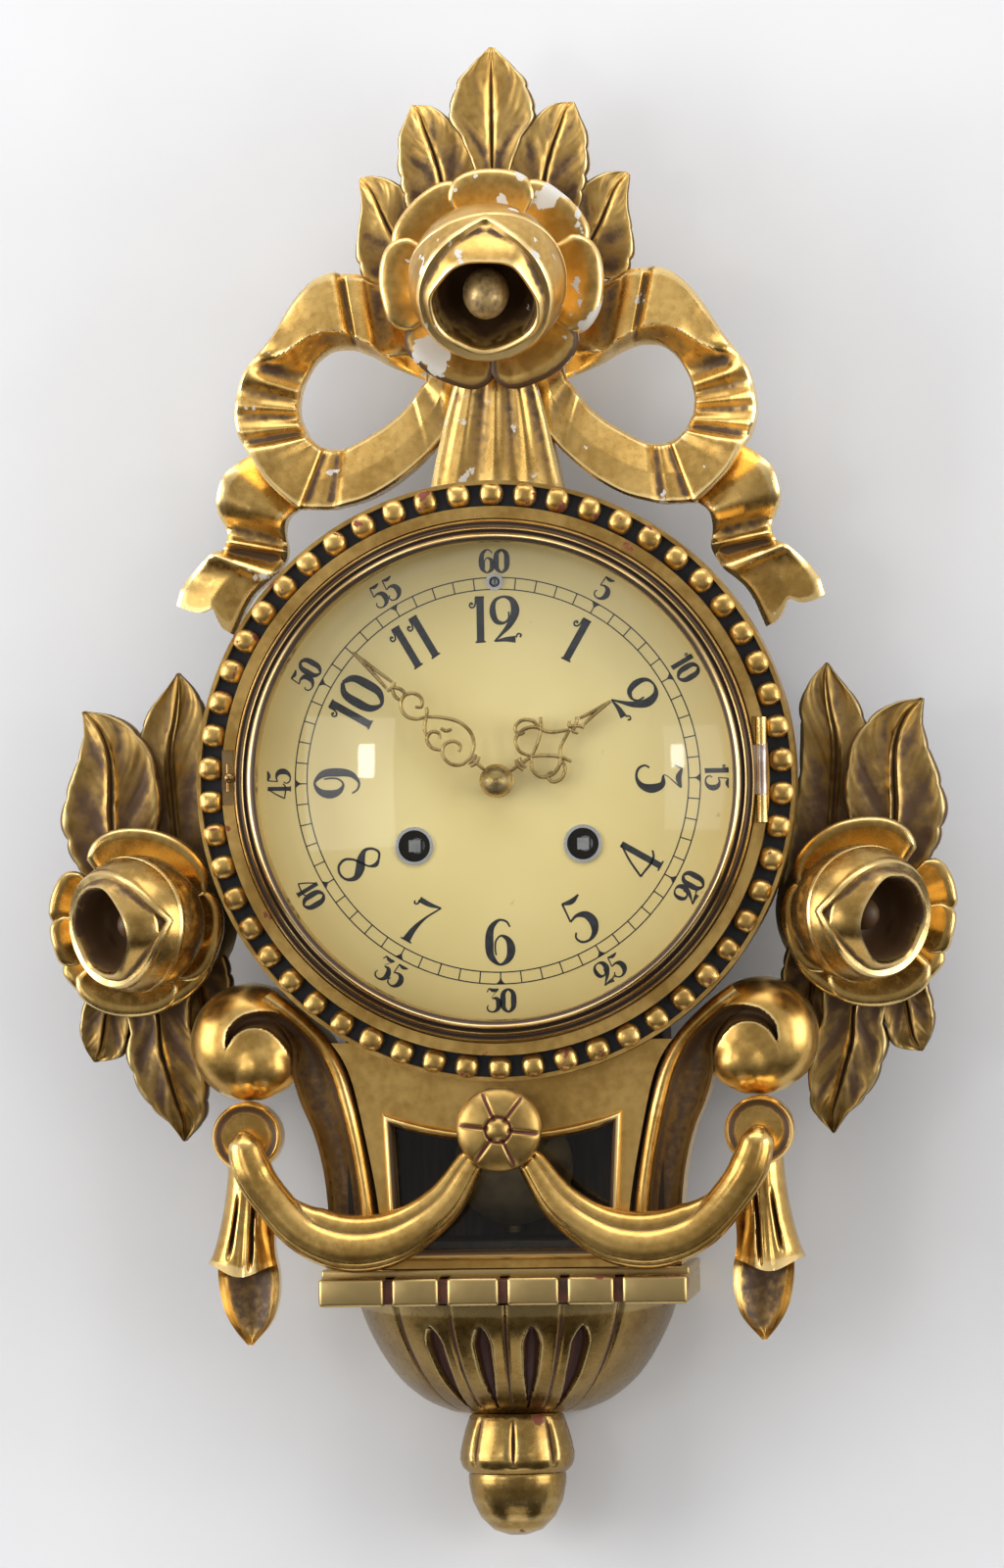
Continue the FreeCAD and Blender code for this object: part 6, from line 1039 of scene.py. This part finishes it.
def carve_bud(bm, place, seat, girth, mouth, apex, stamen, sunk, stamen_shade, mouth_shade):
    """A half-open bud cut off flat at its seat: a round cup, and outer petals whose lips part in a pointed
    arch at the angle apex. The stamen lies sunk below the lip; the last two arguments give the painted
    shade on it and in the mouth."""
    centre = girth * 0.66
    lip = math.degrees(math.asin(mouth / girth))
    lip_height = centre + girth * math.cos(math.radians(lip))
    outside = [(girth * math.sin(math.radians(angle)), centre + girth * math.cos(math.radians(angle)))
               for angle in (BUD_FOOT, 130.0, 112.0, 95.0, 78.0, 62.0, 50.0, lip)]
    cup = smooth_line(outside + [(mouth * share, lip_height + rise) for share, rise in BUD_INSIDE])

    def spot_at(radius, height, turn):
        spot = place @ Vector((radius * math.cos(turn), -height, radius * math.sin(turn)))
        spot.y = min(spot.y, -seat)
        return spot

    def arch_at(turn):
        away = abs((math.degrees(turn) - apex + 180.0) % 360.0 - 180.0)
        return np.interp(away, ARCH_AWAY, ARCH_LIMIT)

    def fold_at(turn):
        return 88.0 + 7.0 * math.sin(turn * 2.0 + math.radians(40.0))

    def cup_shape(u, v):
        turn = math.tau * u
        radius, height = cup(v)
        polar = math.degrees(math.atan2(radius, height - centre))
        if polar < 75.0 and height > centre:
            radius *= 1.0 + 0.09 * noise.noise(Vector((math.cos(turn) * 1.5, math.sin(turn) * 1.5, girth)))
        within = arch_at(turn) - polar
        # Painted shade: a dark line just inside the outer petals' lips, the mouth darker the deeper it
        # goes, and its lip darker on one side.
        tone = 1.1 * dent(within - 1.5, 4.5)
        if v > 0.5 and radius < mouth * 0.94:
            tone = mouth_shade + 0.7 * min(1.0, (lip_height - height) / 17.0) ** 2
        elif v > 0.5:
            tone = max(tone, mouth_shade * (1.0 + math.cos(turn - math.radians(140.0))))
        return spot_at(max(radius, 0.0), height, turn), tone

    def layer(limit_at, thick):
        def shape(u, v):
            turn = math.tau * u
            limit = limit_at(turn)
            front = v < 0.75
            polar = BUD_FOOT + (limit - BUD_FOOT) * (v / 0.75 if front else (1.0 - v) / 0.25)
            rolled = max(0.0, 1.0 - (polar - limit) / 9.0)
            out = thick + 0.5 * math.sin(math.pi * min(rolled, 0.85)) if front else -0.4
            if v < 0.002 or v > 0.998:
                out = 0.0
            angle = math.radians(polar)
            radius, height = (girth + out) * math.sin(angle), centre + (girth + out) * math.cos(angle)
            return spot_at(radius, height, turn), 0.18 * (1.0 - rolled) - 0.12 * rolled
        return shape

    round_shell(bm, 112, 72, cup_shape)
    round_shell(bm, 112, 72, layer(arch_at, 1.8))
    round_shell(bm, 112, 48, layer(fold_at, 1.6))
    toned = bm.verts.layers.float["stain_and_shade"]
    # The stamen gets painted shade, as it lies deep in the mouth.
    knob = bmesh.ops.create_uvsphere(bm, u_segments=24, v_segments=16, radius=stamen)["verts"]
    for vert in knob:
        vert.co.x *= 0.9
        vert.co.y *= 1.0 + 0.3 * max(0.0, -vert.co.y / mouth)
        vert[toned] = stamen_shade
    bmesh.ops.transform(bm, matrix=place @ Matrix.Translation((0, sunk - lip_height, 0.0)), verts=knob)
    cap_ends(bm)


def open_petals(bm, petals, centre, base):
    for number, petal in enumerate(petals):
        carve_petal(bm, centre, base, base + number * LAYER_STEP, *petal)


rose_gilt = gilding("crest_rose_gilding", chips=0.06, rough=0.24)
CREST_CENTRE = (0.0, 195.8)
CREST_BASE = 58.2
BUD_SEAT = 2.6
CREST_NOD = math.radians(32.0)
bm = bmesh.new()
open_petals(bm, CREST_PETALS, CREST_CENTRE, CREST_BASE)
nodding = Matrix.Translation((CREST_CENTRE[0], -CREST_BASE - 6.4, CREST_CENTRE[1] + 8.6))
nodding = nodding @ Matrix.Rotation(CREST_NOD, 4, "X")
carve_bud(bm, nodding, CREST_BASE + BUD_SEAT, girth=29.0, mouth=20.6, apex=88.0,
          stamen=10.0, sunk=11.0, stamen_shade=1.9, mouth_shade=0.16)
carved_piece("carved_crest_rose", bm, rose_gilt, ["crest_rose"])

side_rose_gilt = gilding("side_rose_gilding", rough=0.18, age=0.24)
SIDE_CENTRE = (-145.0, -53.0)
SIDE_BASE = 56.2
SIDE_TURN = math.radians(-48.0)
SIDE_NOD = math.radians(9.0)


def make_pair(name, build, finish, node, **options):
    """Carves the left-hand piece, and its mirror image for the right."""
    for side in ("left", "right"):
        bm = bmesh.new()
        build(bm)
        if side == "right":
            bmesh.ops.scale(bm, vec=(-1.0, 1.0, 1.0), verts=bm.verts)
        carved_piece(name + "_" + side, bm, finish, [node + "_" + side], **options)


def side_rose(bm):
    open_petals(bm, SIDE_PETALS, SIDE_CENTRE, SIDE_BASE)
    turned = Matrix.Translation((SIDE_CENTRE[0] + 15.5, -SIDE_BASE - 12.0, SIDE_CENTRE[1] + 2.0))
    turned = turned @ Matrix.Rotation(SIDE_TURN, 4, "Z") @ Matrix.Rotation(SIDE_NOD, 4, "X")
    carve_bud(bm, turned, SIDE_BASE + BUD_SEAT, girth=25.0, mouth=17.4, apex=4.0,
              stamen=6.4, sunk=17.0, stamen_shade=2.6, mouth_shade=0.75)


make_pair("carved_side_rose", side_rose, side_rose_gilt, "rose")

# The side sprays: carved leaves that hug the ring above and below each side rose, all in one gilt board.
# A leaf is given by its left and right edges from the foot up, its two depths, its teeth and its veins.
SPRAY_BACK = 34.0
SPRAY_LEAVES = [
    ([(-163, -38), (-169.5, -30), (-173, -21), (-174.5, -13), (-173.4, -5), (-169, 7), (-165.2, 22),
      (-165.8, 29.6)],
     [(-140, -40), (-135, -20), (-134, -9), (-134, 1.5), (-137, 12), (-143, 21), (-152, 27.4),
      (-164.8, 30)], 38, 54, 6, 3),
    ([(-146, -46), (-146, -10), (-145, 14), (-143, 22), (-138, 32), (-132.5, 38.5), (-128.4, 44.2)],
     [(-107, -46), (-114, -10), (-117.2, 14), (-117, 28), (-118.6, 33), (-122, 38.4),
      (-127.6, 44.4)], 36, 48, 6, 2.5),
    ([(-156, -80), (-149, -95), (-150, -106), (-147, -116), (-140, -127), (-133, -133.4),
      (-128.4, -139.8)],
     [(-122, -76), (-124, -92), (-121.6, -102), (-119, -111), (-118.4, -121), (-119.4, -130),
      (-127.6, -140)], 38, 54, 6, 3.5),
    ([(-172, -70), (-166, -82), (-168.2, -91), (-167.4, -101), (-163.4, -108.2)],
     [(-146, -74), (-148, -90), (-149, -100), (-152, -106), (-162.6, -108.4)], 38, 52, 2, 2),
    ([(-134, -76), (-130, -92), (-124, -100), (-120, -104)],
     [(-112, -62), (-108, -78), (-109, -90), (-118, -103)], 36, 47, 4, 4),
]


def side_spray(bm):
    for number, (left, right, low, high, teeth, veins) in enumerate(SPRAY_LEAVES):
        carve_leaf(bm, left, right, SPRAY_BACK + number * LAYER_STEP, low, high, teeth, veins)
    pad_back = SPRAY_BACK + len(SPRAY_LEAVES) * LAYER_STEP
    pad = [(0.0, 56.0), (20.0, 55.0), (28.0, 48.0), (31.0, pad_back), (0.0, pad_back)]
    turned_ring(bm, pad, 48, (SIDE_CENTRE[0] + 8.0, SIDE_CENTRE[1]), closed=False)


spray_gilt = gilding("spray_gilding", dirt_and_shade=0.16, rough=0.3, age=0.46)
make_pair("leaf_spray", side_spray, spray_gilt, "foliage")

# The consoles: a scroll below the ring on each side that unrolls into a hollow band down to the cornice.
# The hollow is toned brown and speckled, and painted shade darkens it in its middle and along the rib's
# edge; its inner edge is a burnished rib. It is carved and gilt.
# A row of the band gives its left and its right edge, a spot of the groove its half-width too.
CONSOLE_BACK = 40.0
VOLUTE = (-100.3, -101.05)
VOLUTE_RADIUS = 23.0
EYE = (-95.0, -110.0)
EYE_RADIUS = 13.8
GROOVE_CUT = 9.0
RIB_WIDTH = 6.6
SCROLL_GROOVE = [(-108, -103.1, 0.2), (-105.4, -96.6, 1.8), (-100.6, -92.9, 2.6), (-94.1, -91.9, 3.2),
                 (-88.5, -93.3, 3.9), (-83.7, -97.4, 4.2), (-80.1, -103.1, 3.9), (-79, -109.5, 3.6),
                 (-79.9, -116, 3.2)]
BAND_ROWS = [
    (-98, -88, -89.5, -80.6), (-88, -94, -79, -88.6), (-82.6, -103, -68, -100),
    (-82.4, -114, -61.6, -112), (-79.4, -125, -57.6, -126), (-75, -135.5, -54.7, -140),
    (-71.8, -147, -52.5, -153), (-69.8, -160, -50.8, -165), (-69, -175, -49.8, -177),
    (-69, -189.8, -49.4, -189.8),
]


def scroll_console(bm):
    groove = smooth_line(SCROLL_GROOVE)
    groove_spots = [groove(number / 60.0) for number in range(61)]

    def volute_shape(u, v):
        turn = math.tau * u
        x = VOLUTE[0] + VOLUTE_RADIUS * v * math.cos(turn)
        z = VOLUTE[1] + VOLUTE_RADIUS * v * math.sin(turn)
        depth = 57.0 + 17.0 * math.sqrt(max(0.0, 1.0 - v ** 2.6))
        off = math.hypot(x - EYE[0], z - EYE[1]) / EYE_RADIUS
        if off < 1.0:
            ball = 60.5 + 15.0 * math.sqrt(1.0 - off * off)
            depth = 0.5 * (depth + ball + math.sqrt((depth - ball) ** 2 + 2.0))
        nearness = min(math.hypot(x - spot[0], z - spot[1]) / spot[2] for spot in groove_spots)
        dug = max(0.0, 1.0 - nearness ** 2) ** 0.6
        # The scroll's groove is toned brown: brown toning, and painted shade.
        return x, depth - GROOVE_CUT * dug, z, 0.75 * dug

    lay_sheet(bm, 168, 64, volute_shape, CONSOLE_BACK)
    row_at = through_rows(BAND_ROWS)

    def band_shape(u, v):
        row = row_at(v)
        x, z = between_edges(row, u)
        width = math.hypot(*(row[2:] - row[:2]))
        from_right = (1.0 - u) * width
        # Painted shade at the rib's edge by the hollow, and in the hollow's middle, over its brown toning.
        if from_right < RIB_WIDTH:
            off = (from_right - RIB_WIDTH / 2.0) / (RIB_WIDTH / 2.0)
            depth = 65.5 + 6.3 * math.sqrt(max(0.0, 1.0 - off ** 2))
            tone = 0.3 * max(0.0, (from_right - 5.4) / 1.2)
        else:
            part = min((from_right - RIB_WIDTH) / max(width - RIB_WIDTH, 1.0), 1.0)
            depth = 64.5 - 7.0 * math.sin(math.pi * part) ** 0.8 + 2.0 * part
            tone = 0.42 + 0.2 * math.sin(math.pi * part) - 0.6 * max(0.0, (part - 0.93) / 0.07)
        return x, depth, z, tone

    lay_sheet(bm, 52, 70, band_shape, CONSOLE_BACK + LAYER_STEP)


CONSOLE_UMBER = (0.115, 0.064, 0.032, 1)
console_gilt = gilding("console_gilding", hollow_tint=CONSOLE_UMBER, dirt_and_shade=-0.06, rough=0.22)
make_pair("scroll_console", scroll_console, console_gilt, "console", crease=50.0, rounds=14)

# The tassels: below each scroll a turned roundel carries the drapery, and a carved tassel hangs from it.
# The tassel is a slit sleeve of gathered cloth over a hollow, brown-toned spoon, all of gilt wood. Painted
# shade darkens the slits, the spoon's hollow and its top under the sleeve.
TASSEL_BACK = 57.8
ROUNDEL = (-100.3, -137.65)
ROUNDEL_SECTION = [(0, 73.4), (4, 73.4), (8, 73.5), (11.4, 73.7), (12, 74.6), (12.7, 74.9), (13.3, 74.2),
                   (13.6, 72.6), (13.6, TASSEL_BACK), (0, TASSEL_BACK)]
SLEEVE_ROWS = [
    (-109, -143, -92, -143), (-109.2, -153, -92.4, -153), (-110.6, -164, -92.6, -164),
    (-112.6, -174, -92.4, -174), (-115, -183, -91.2, -183), (-117.2, -189.4, -90.4, -190.4),
]
SLEEVE_SLITS = ((-0.30, 0.32, 0.86), (0.42, 0.10, 0.98))
SLIT_WIDTH = 0.065
SLIT_CUT = 3.6
SPOON_EDGES = ([(-112, -180), (-112.8, -192), (-112.2, -198), (-110, -207), (-106, -214),
                (-101.6, -219.3)],
               [(-90, -168), (-90.4, -183), (-89, -191), (-89, -199), (-91.5, -209), (-100, -219.5)])


def hanging_tassel(bm):
    turned_ring(bm, ROUNDEL_SECTION, 64, ROUNDEL, closed=False)
    row_at = through_rows(SLEEVE_ROWS)

    def sleeve_shape(u, v):
        x, z = between_edges(row_at(v), u)
        side = 2.0 * u - 1.0
        lip = 2.4 * math.cos(math.pi * side * 0.9) * v ** 6
        depth = 60.0 + 13.0 * math.sqrt(max(0.0, 1.0 - side * side)) * (0.75 + 0.25 * v)
        tone = 0.0
        # The slits get painted shade.
        for slit, start, end in SLEEVE_SLITS:
            reach = max(0.0, min(1.0, (v - start) * 6.0, (end - v) * 6.0))
            dug = dent(side - slit + 0.14 * v, SLIT_WIDTH) * reach
            depth -= SLIT_CUT * dug
            tone += 0.6 * dug
        depth -= 1.2 * dent(side, 0.16) * v
        depth += 1.6 * v ** 8
        return x, depth, z - lip, tone

    lay_sheet(bm, 64, 44, sleeve_shape, TASSEL_BACK + LAYER_STEP)
    left_edge, right_edge = smooth_line(SPOON_EDGES[0]), smooth_line(SPOON_EDGES[1])

    def spoon_shape(u, v):
        side = 2.0 * u - 1.0
        start, end = left_edge(v), right_edge(v)
        x, z = start + (end - start) * u
        depth = 59.5 + 8.5 * abs(side) ** 2.0 * (1.0 - 0.5 * v) + 2.5 * v
        # Painted shade in the spoon's hollow middle and at its top under the sleeve.
        tone = 0.5 * (1.0 - abs(side) ** 4) + 0.4 * (1.0 - v) ** 2
        return x, depth, z, tone

    lay_sheet(bm, 34, 36, spoon_shape, TASSEL_BACK + 2 * LAYER_STEP)


tassel_gilt = gilding("drapery_gilding", dirt_and_shade=-0.06, rough=0.13)
make_pair("hanging_tassel", hanging_tassel, tassel_gilt, "tassel", crease=55.0, rounds=14, depth=0.001)

# The swags: carved drapery from each roundel to the rosette, thick in the middle and thin at both ends.
# Each is two rolls side by side, gilt and burnished bright, with folds cut along its length. Painted shade
# darkens the seam between the rolls and the creases of the folds.
# A fold is given by its angle round the swag, where along it the fold starts and ends, and its cut.
SWAG_DEPTH = 83.0
SWAG_FLATNESS = 0.98
SWAG_LINE = [(-0.6, 2.6, 5.4), (0.2, -3, 6.6), (3, -12, 7.6), (12, -24.4, 8.6), (25.5, -36.4, 10.2),
             (40, -41.4, 11.3), (56, -40, 10.6), (67.5, -34.4, 9), (77, -27, 8), (88, -11.4, 5.6),
             (92.5, -5, 4.6)]
SWAG_FOLDS = [(-58.0, 0.06, 0.74, 0.14), (-44.0, 0.74, 0.98, 0.08)]
UPPER_ROLL_START = 0.13
UPPER_ROLL_EASE = 0.24
MAIN_ROLL = (-0.23, 0.77)
UPPER_ROLL = (0.48, 0.52)


def roll_reach(turn, middle, radius):
    """How far from the swag's axis a roll lies whose own axis is shifted across by middle."""
    aside = middle * math.sin(turn)
    return aside + math.sqrt(max(0.0, radius * radius - middle * middle + aside * aside))


def draped_swag(bm):
    line = smooth_line(SWAG_LINE)

    def swag_shape(u, v):
        turn = math.tau * u
        x, z, half = line(v)
        ahead = course(line, v)
        tip = min(1.0, 24.0 * v + 0.1, 14.0 * (1.0 - v) + 0.25)
        parted = min(1.0, max(0.0, (v - UPPER_ROLL_START) / UPPER_ROLL_EASE)) ** 0.7
        main = roll_reach(turn, MAIN_ROLL[0] * parted, 1.0 + (MAIN_ROLL[1] - 1.0) * parted)
        upper = roll_reach(turn, UPPER_ROLL[0], UPPER_ROLL[1]) * parted
        size = half * math.sqrt(tip) * max(main, upper)
        # Painted shade in the seam between the two rolls, on the front, and in each fold's crease.
        tone = 0.7 * parted * dent(main - upper, 0.05) if math.cos(turn) > 0.0 else 0.0
        for fold, start, end, cut in SWAG_FOLDS:
            if start < v < end:
                ease = math.sin(math.pi * (v - start) / (end - start)) ** 0.4
                away = (math.degrees(turn) - fold + 180.0) % 360.0 - 180.0
                crease = ease * dent(away, 4.5)
                lip = ease * dent(away - 10.0, 7.0)
                size *= 1.0 - cut * crease + 0.30 * cut * lip
                tone += 3.2 * cut * crease
        aside = size * math.sin(turn)
        out = size * SWAG_FLATNESS * math.cos(turn)
        spot = (ROUNDEL[0] + x - ahead[1] * aside, -(SWAG_DEPTH + out), ROUNDEL[1] + z + ahead[0] * aside)
        return spot, tone

    round_shell(bm, 160, 90, swag_shape)
    cap_ends(bm)


swag_gilt = gilding("swag_gilding", dirt_and_shade=-0.12, rough=0.16)
make_pair("draped_swag", draped_swag, swag_gilt, "swag", crease=70.0, depth=0.0014)

# The apron: a flat gilt board between the consoles, pierced by the pendulum window.
# A half-round moulding is mitred round the opening.
apron_gilt = gilding("apron_gilding", dirt_and_shade=-0.04, scale=0.8)
dress(apron_gilt, "apron")
WINDOW_TOP_RADIUS = 141.0
WINDOW_HALF_TOP = 43.0
WINDOW_HALF_FOOT = 40.5
WINDOW_SILL = -183.0
FRAME_WIDTH = 4.0
FRAME_BACK = 70.0
FRAME_RISE = 5.0


def window_outline(grow, steps):
    """Corners and arc of the opening, stepped outwards by grow, from the foot at the left."""
    half_top, half_foot = WINDOW_HALF_TOP + grow, WINDOW_HALF_FOOT + grow
    top_radius = WINDOW_TOP_RADIUS - grow
    spots = [(-half_foot, WINDOW_SILL - grow)]
    for number in range(steps + 1):
        x = -half_top + 2.0 * half_top * number / steps
        spots.append((x, -math.sqrt(top_radius ** 2 - x * x)))
    spots.append((half_foot, WINDOW_SILL - grow))
    return spots


bm = bmesh.new()
ARC_STEPS = 28
section_steps = 10
rings = []
for number in range(section_steps + 1):
    turn = math.pi * number / section_steps
    grow = FRAME_WIDTH / 2.0 - FRAME_WIDTH / 2.0 * math.cos(turn)
    depth = FRAME_BACK + FRAME_RISE * math.sin(turn) ** 0.8
    spots = [bm.verts.new((x, -depth, z)) for x, z in window_outline(grow, ARC_STEPS)]
    rings.append([bm.edges.new(pair) for pair in zip(spots, spots[1:] + spots[:1])])
for ring, following in zip(rings, rings[1:] + rings[:1]):
    bmesh.ops.bridge_loops(bm, edges=ring + following)
carved_piece("window_moulding", bm, apron_gilt, ["window_frame"], rounds=3)

# The rosette in the middle: carved and gilt, six pale segments parted by red grooves, with a bright boss.
# It covers the ends of both swags.
ROSETTE = (0.0, -135.4)
ROSETTE_RADIUS = 16.6
ROSETTE_BACK = 88.0
ROSETTE_FRONT = 96.95
BOSS_FOOT = 94.4
BOSS_RISE = 2.5
BOSS_RADIUS = 4.2
BOSS_GROOVE = 1.4


def rosette_shape(u, v):
    turn = math.tau * u
    off = abs(math.sin(3.0 * turn + 0.35)) * v
    radius = ROSETTE_RADIUS * v
    depth = 89.5 + 6.0 * math.sqrt(max(0.0, 1.0 - v ** 2.4))
    dug = math.exp(-((off * 7.5) ** 2))
    depth -= 1.1 * dug * (1.0 - v ** 8)
    tone = 0.75 * dug
    if radius < BOSS_RADIUS:
        depth = max(depth, BOSS_FOOT + BOSS_RISE * math.sqrt(1.0 - (radius / BOSS_RADIUS) ** 2))
        tone = -0.1
    elif radius < BOSS_RADIUS + BOSS_GROOVE:
        depth -= math.sin(math.pi * (radius - BOSS_RADIUS) / BOSS_GROOVE)
        tone = 0.6
    x, z = ROSETTE[0] + radius * math.cos(turn), ROSETTE[1] + radius * math.sin(turn)
    return x, min(depth, ROSETTE_FRONT), z, tone


ROSETTE_RED = (0.14, 0.040, 0.020, 1)
rosette_gilt = gilding("rosette_gilding", hollow_tint=ROSETTE_RED, dirt_and_shade=0.06, rough=0.3, age=0.42)
bm = bmesh.new()
lay_sheet(bm, 120, 40, rosette_shape, ROSETTE_BACK)
carved_piece("carved_rosette", bm, rosette_gilt, ["rosette"], rounds=8, depth=0.0008)

# The urn foot: a cornice of bevelled blocks, a gadrooned bowl and an acorn, each carved and gilt.
# The grooves between the blocks are left red. A row of the bowl gives its height, half-width and front.
CORNICE_HALF = 72.0
CORNICE_TOP = -190.2
CORNICE_FOOT = -204.1
CORNICE_FRONT = 84.0
BLOCK_CUTS = [-CORNICE_HALF, -45.0, -23.5, 0.0, 23.5, 45.0, CORNICE_HALF]
CORE_HALF = 70.5
CORE_FRONT = 81.6
BLOCK_GAP = 3.2
BLOCK_FOOT = 60.0
CORNICE_RED = (0.13, 0.045, 0.022, 1)
cornice_gilt = gilding("cornice_gilding", hollow_tint=CORNICE_RED, dirt_and_shade=0.05, clay=0.01, age=0.45)


def eased_block(bm, low, high, ease):
    block = bmesh.ops.create_cube(bm, size=1.0)["verts"]
    middle = (Vector(low) + Vector(high)) / 2.0
    size = Vector(high) - Vector(low)
    bmesh.ops.scale(bm, vec=size, verts=block)
    bmesh.ops.translate(bm, vec=middle, verts=block)
    edges = list({edge for vert in block for edge in vert.link_edges})
    bmesh.ops.bevel(bm, geom=edges, offset=ease, offset_type="OFFSET", segments=3, profile=0.5,
                    affect="EDGES", material=-1)


bm = bmesh.new()
eased_block(bm, (-CORE_HALF, -CORE_FRONT, CORNICE_FOOT + 0.8), (CORE_HALF, 0.0, CORNICE_TOP - 3.8), 0.6)
red_ground, shade = new_finish("red_clay_ground")
clay_cloud = shade.grain(160.0, 4.0)
clay_tone = clay_cloud.step(0.3, 0.7).tint((0.055, 0.016, 0.010, 1), (0.15, 0.045, 0.022, 1))
close_finish(shade, clay_tone, 0.5 + clay_cloud * 0.25, bumped(shade, clay_cloud, 0.3, 0.0005))
carved_piece("cornice_core", bm, red_ground, [], crease=40.0, rounds=2)
bm = bmesh.new()
eased_block(bm, (-CORNICE_HALF, -70.0, CORNICE_TOP - 3.4), (CORNICE_HALF, 0.0, CORNICE_TOP), 0.8)
for start, end in zip(BLOCK_CUTS, BLOCK_CUTS[1:]):
    left = start + (BLOCK_GAP / 2.0 if start > -CORNICE_HALF else 0.0)
    right = end - (BLOCK_GAP / 2.0 if end < CORNICE_HALF else 0.0)
    foot = BLOCK_FOOT if start > -CORNICE_HALF and end < CORNICE_HALF else 0.0
    eased_block(bm, (left, -CORNICE_FRONT, CORNICE_FOOT), (right, -foot, CORNICE_TOP - 2.8), 1.5)
carved_piece("block_cornice", bm, cornice_gilt, ["urn_cornice"], crease=40.0, rounds=4, depth=0.0006)

BOWL_BACK = 0.0
BOWL_ROWS = [(-204.3, 63.4, 76), (-213, 60.6, 74), (-221.3, 56.8, 70), (-229, 52.4, 64.5),
             (-236, 47.2, 58), (-241.5, 41.4, 51), (-245.6, 35.4, 44), (-249, 27.5, 36)]
GADROON_LINES = (-0.70, -0.355, 0.0, 0.355, 0.70)
GADROON_WIDTH = 0.013
GADROON_CUT = 0.016
TEAR_SLOTS = (-0.50, -0.165, 0.175, 0.50)
TEAR_CUT = 0.07
bowl_at = through_rows(BOWL_ROWS)


def bowl_shape(u, v):
    z, half, front = bowl_at(v)
    turn = math.pi * (u - 0.5)
    side = math.copysign(abs(math.sin(turn)) ** 0.92, turn)
    cut = 0.0
    tone = 0.0
    for groove in GADROON_LINES:
        dug = dent(side - groove, GADROON_WIDTH)
        cut += GADROON_CUT * dug
        tone += 0.35 * dug
    for slot in TEAR_SLOTS:
        wide = 0.056 - 0.020 * v
        reach = min(1.0, max(0.0, (v - 0.15) * 9.0)) ** 0.5 * min(1.0, max(0.0, (0.95 - v) * 2.2))
        dug = math.exp(-(((side - slot) / (wide * max(reach, 0.05))) ** 6)) * (reach > 0.0)
        cut += TEAR_CUT * dug
        tone += 0.85 * dug
    swell = 1.0 - cut
    return side * half * swell, front * math.cos(turn) ** 0.85 * swell, z, tone


BOWL_RED = (0.060, 0.017, 0.010, 1)
bowl_gilt = gilding("bowl_gilding", hollow_tint=BOWL_RED, dirt_and_shade=0.06, rough=0.2, age=0.58)
bm = bmesh.new()
lay_sheet(bm, 300, 72, bowl_shape, BOWL_BACK)
carved_piece("gadroon_bowl", bm, bowl_gilt, ["urn_bowl"], rounds=12, depth=0.001)

ACORN_DEPTH = 23.1
ACORN_SECTION = [(0, -249.2), (17.4, -249.2), (18.6, -250.4), (20.2, -255), (21.6, -260), (22.6, -265),
                 (22.6, -267.6), (21.6, -270.4), (19.8, -272.2), (19, -272.8), (19.3, -273.6),
                 (19.2, -277), (17.8, -284), (14.6, -290.4), (9.6, -295.4), (4, -297.3), (0, -297.5)]
ACORN_GROOVES = 8
CAP_TOP = -250.0
CAP_FOOT = -270.0
bm = bmesh.new()
section = [bm.verts.new((radius, -ACORN_DEPTH, z)) for radius, z in ACORN_SECTION]
spine = [bm.edges.new(pair) for pair in zip(section, section[1:])]
bmesh.ops.subdivide_edges(bm, edges=spine, cuts=2)
bmesh.ops.spin(bm, geom=bm.verts[:] + bm.edges[:], cent=(0, -ACORN_DEPTH, 0), axis=(0, 0, 1),
               angle=math.tau, steps=112, use_merge=True)
for vert in bm.verts:
    if CAP_FOOT < vert.co.z < CAP_TOP:
        turn = math.atan2(vert.co.x, -vert.co.y - ACORN_DEPTH)
        lobe = abs(math.sin(ACORN_GROOVES * turn / 2.0))
        fade = math.sin(math.pi * (CAP_TOP - vert.co.z) / (CAP_TOP - CAP_FOOT)) ** 0.6
        pinch = 1.0 - 0.10 * math.exp(-((lobe * 5.5) ** 2)) * fade
        vert.co.x *= pinch
        vert.co.y = -ACORN_DEPTH + (vert.co.y + ACORN_DEPTH) * pinch
ACORN_RED = (0.10, 0.036, 0.017, 1)
acorn_gilt = gilding("acorn_gilding", hollow_tint=ACORN_RED, dirt_and_shade=0.02, clay=0.01, rough=0.18, age=0.46)
carved_piece("acorn_drop", bm, acorn_gilt, ["acorn_finial"], rounds=6, depth=0.0008)
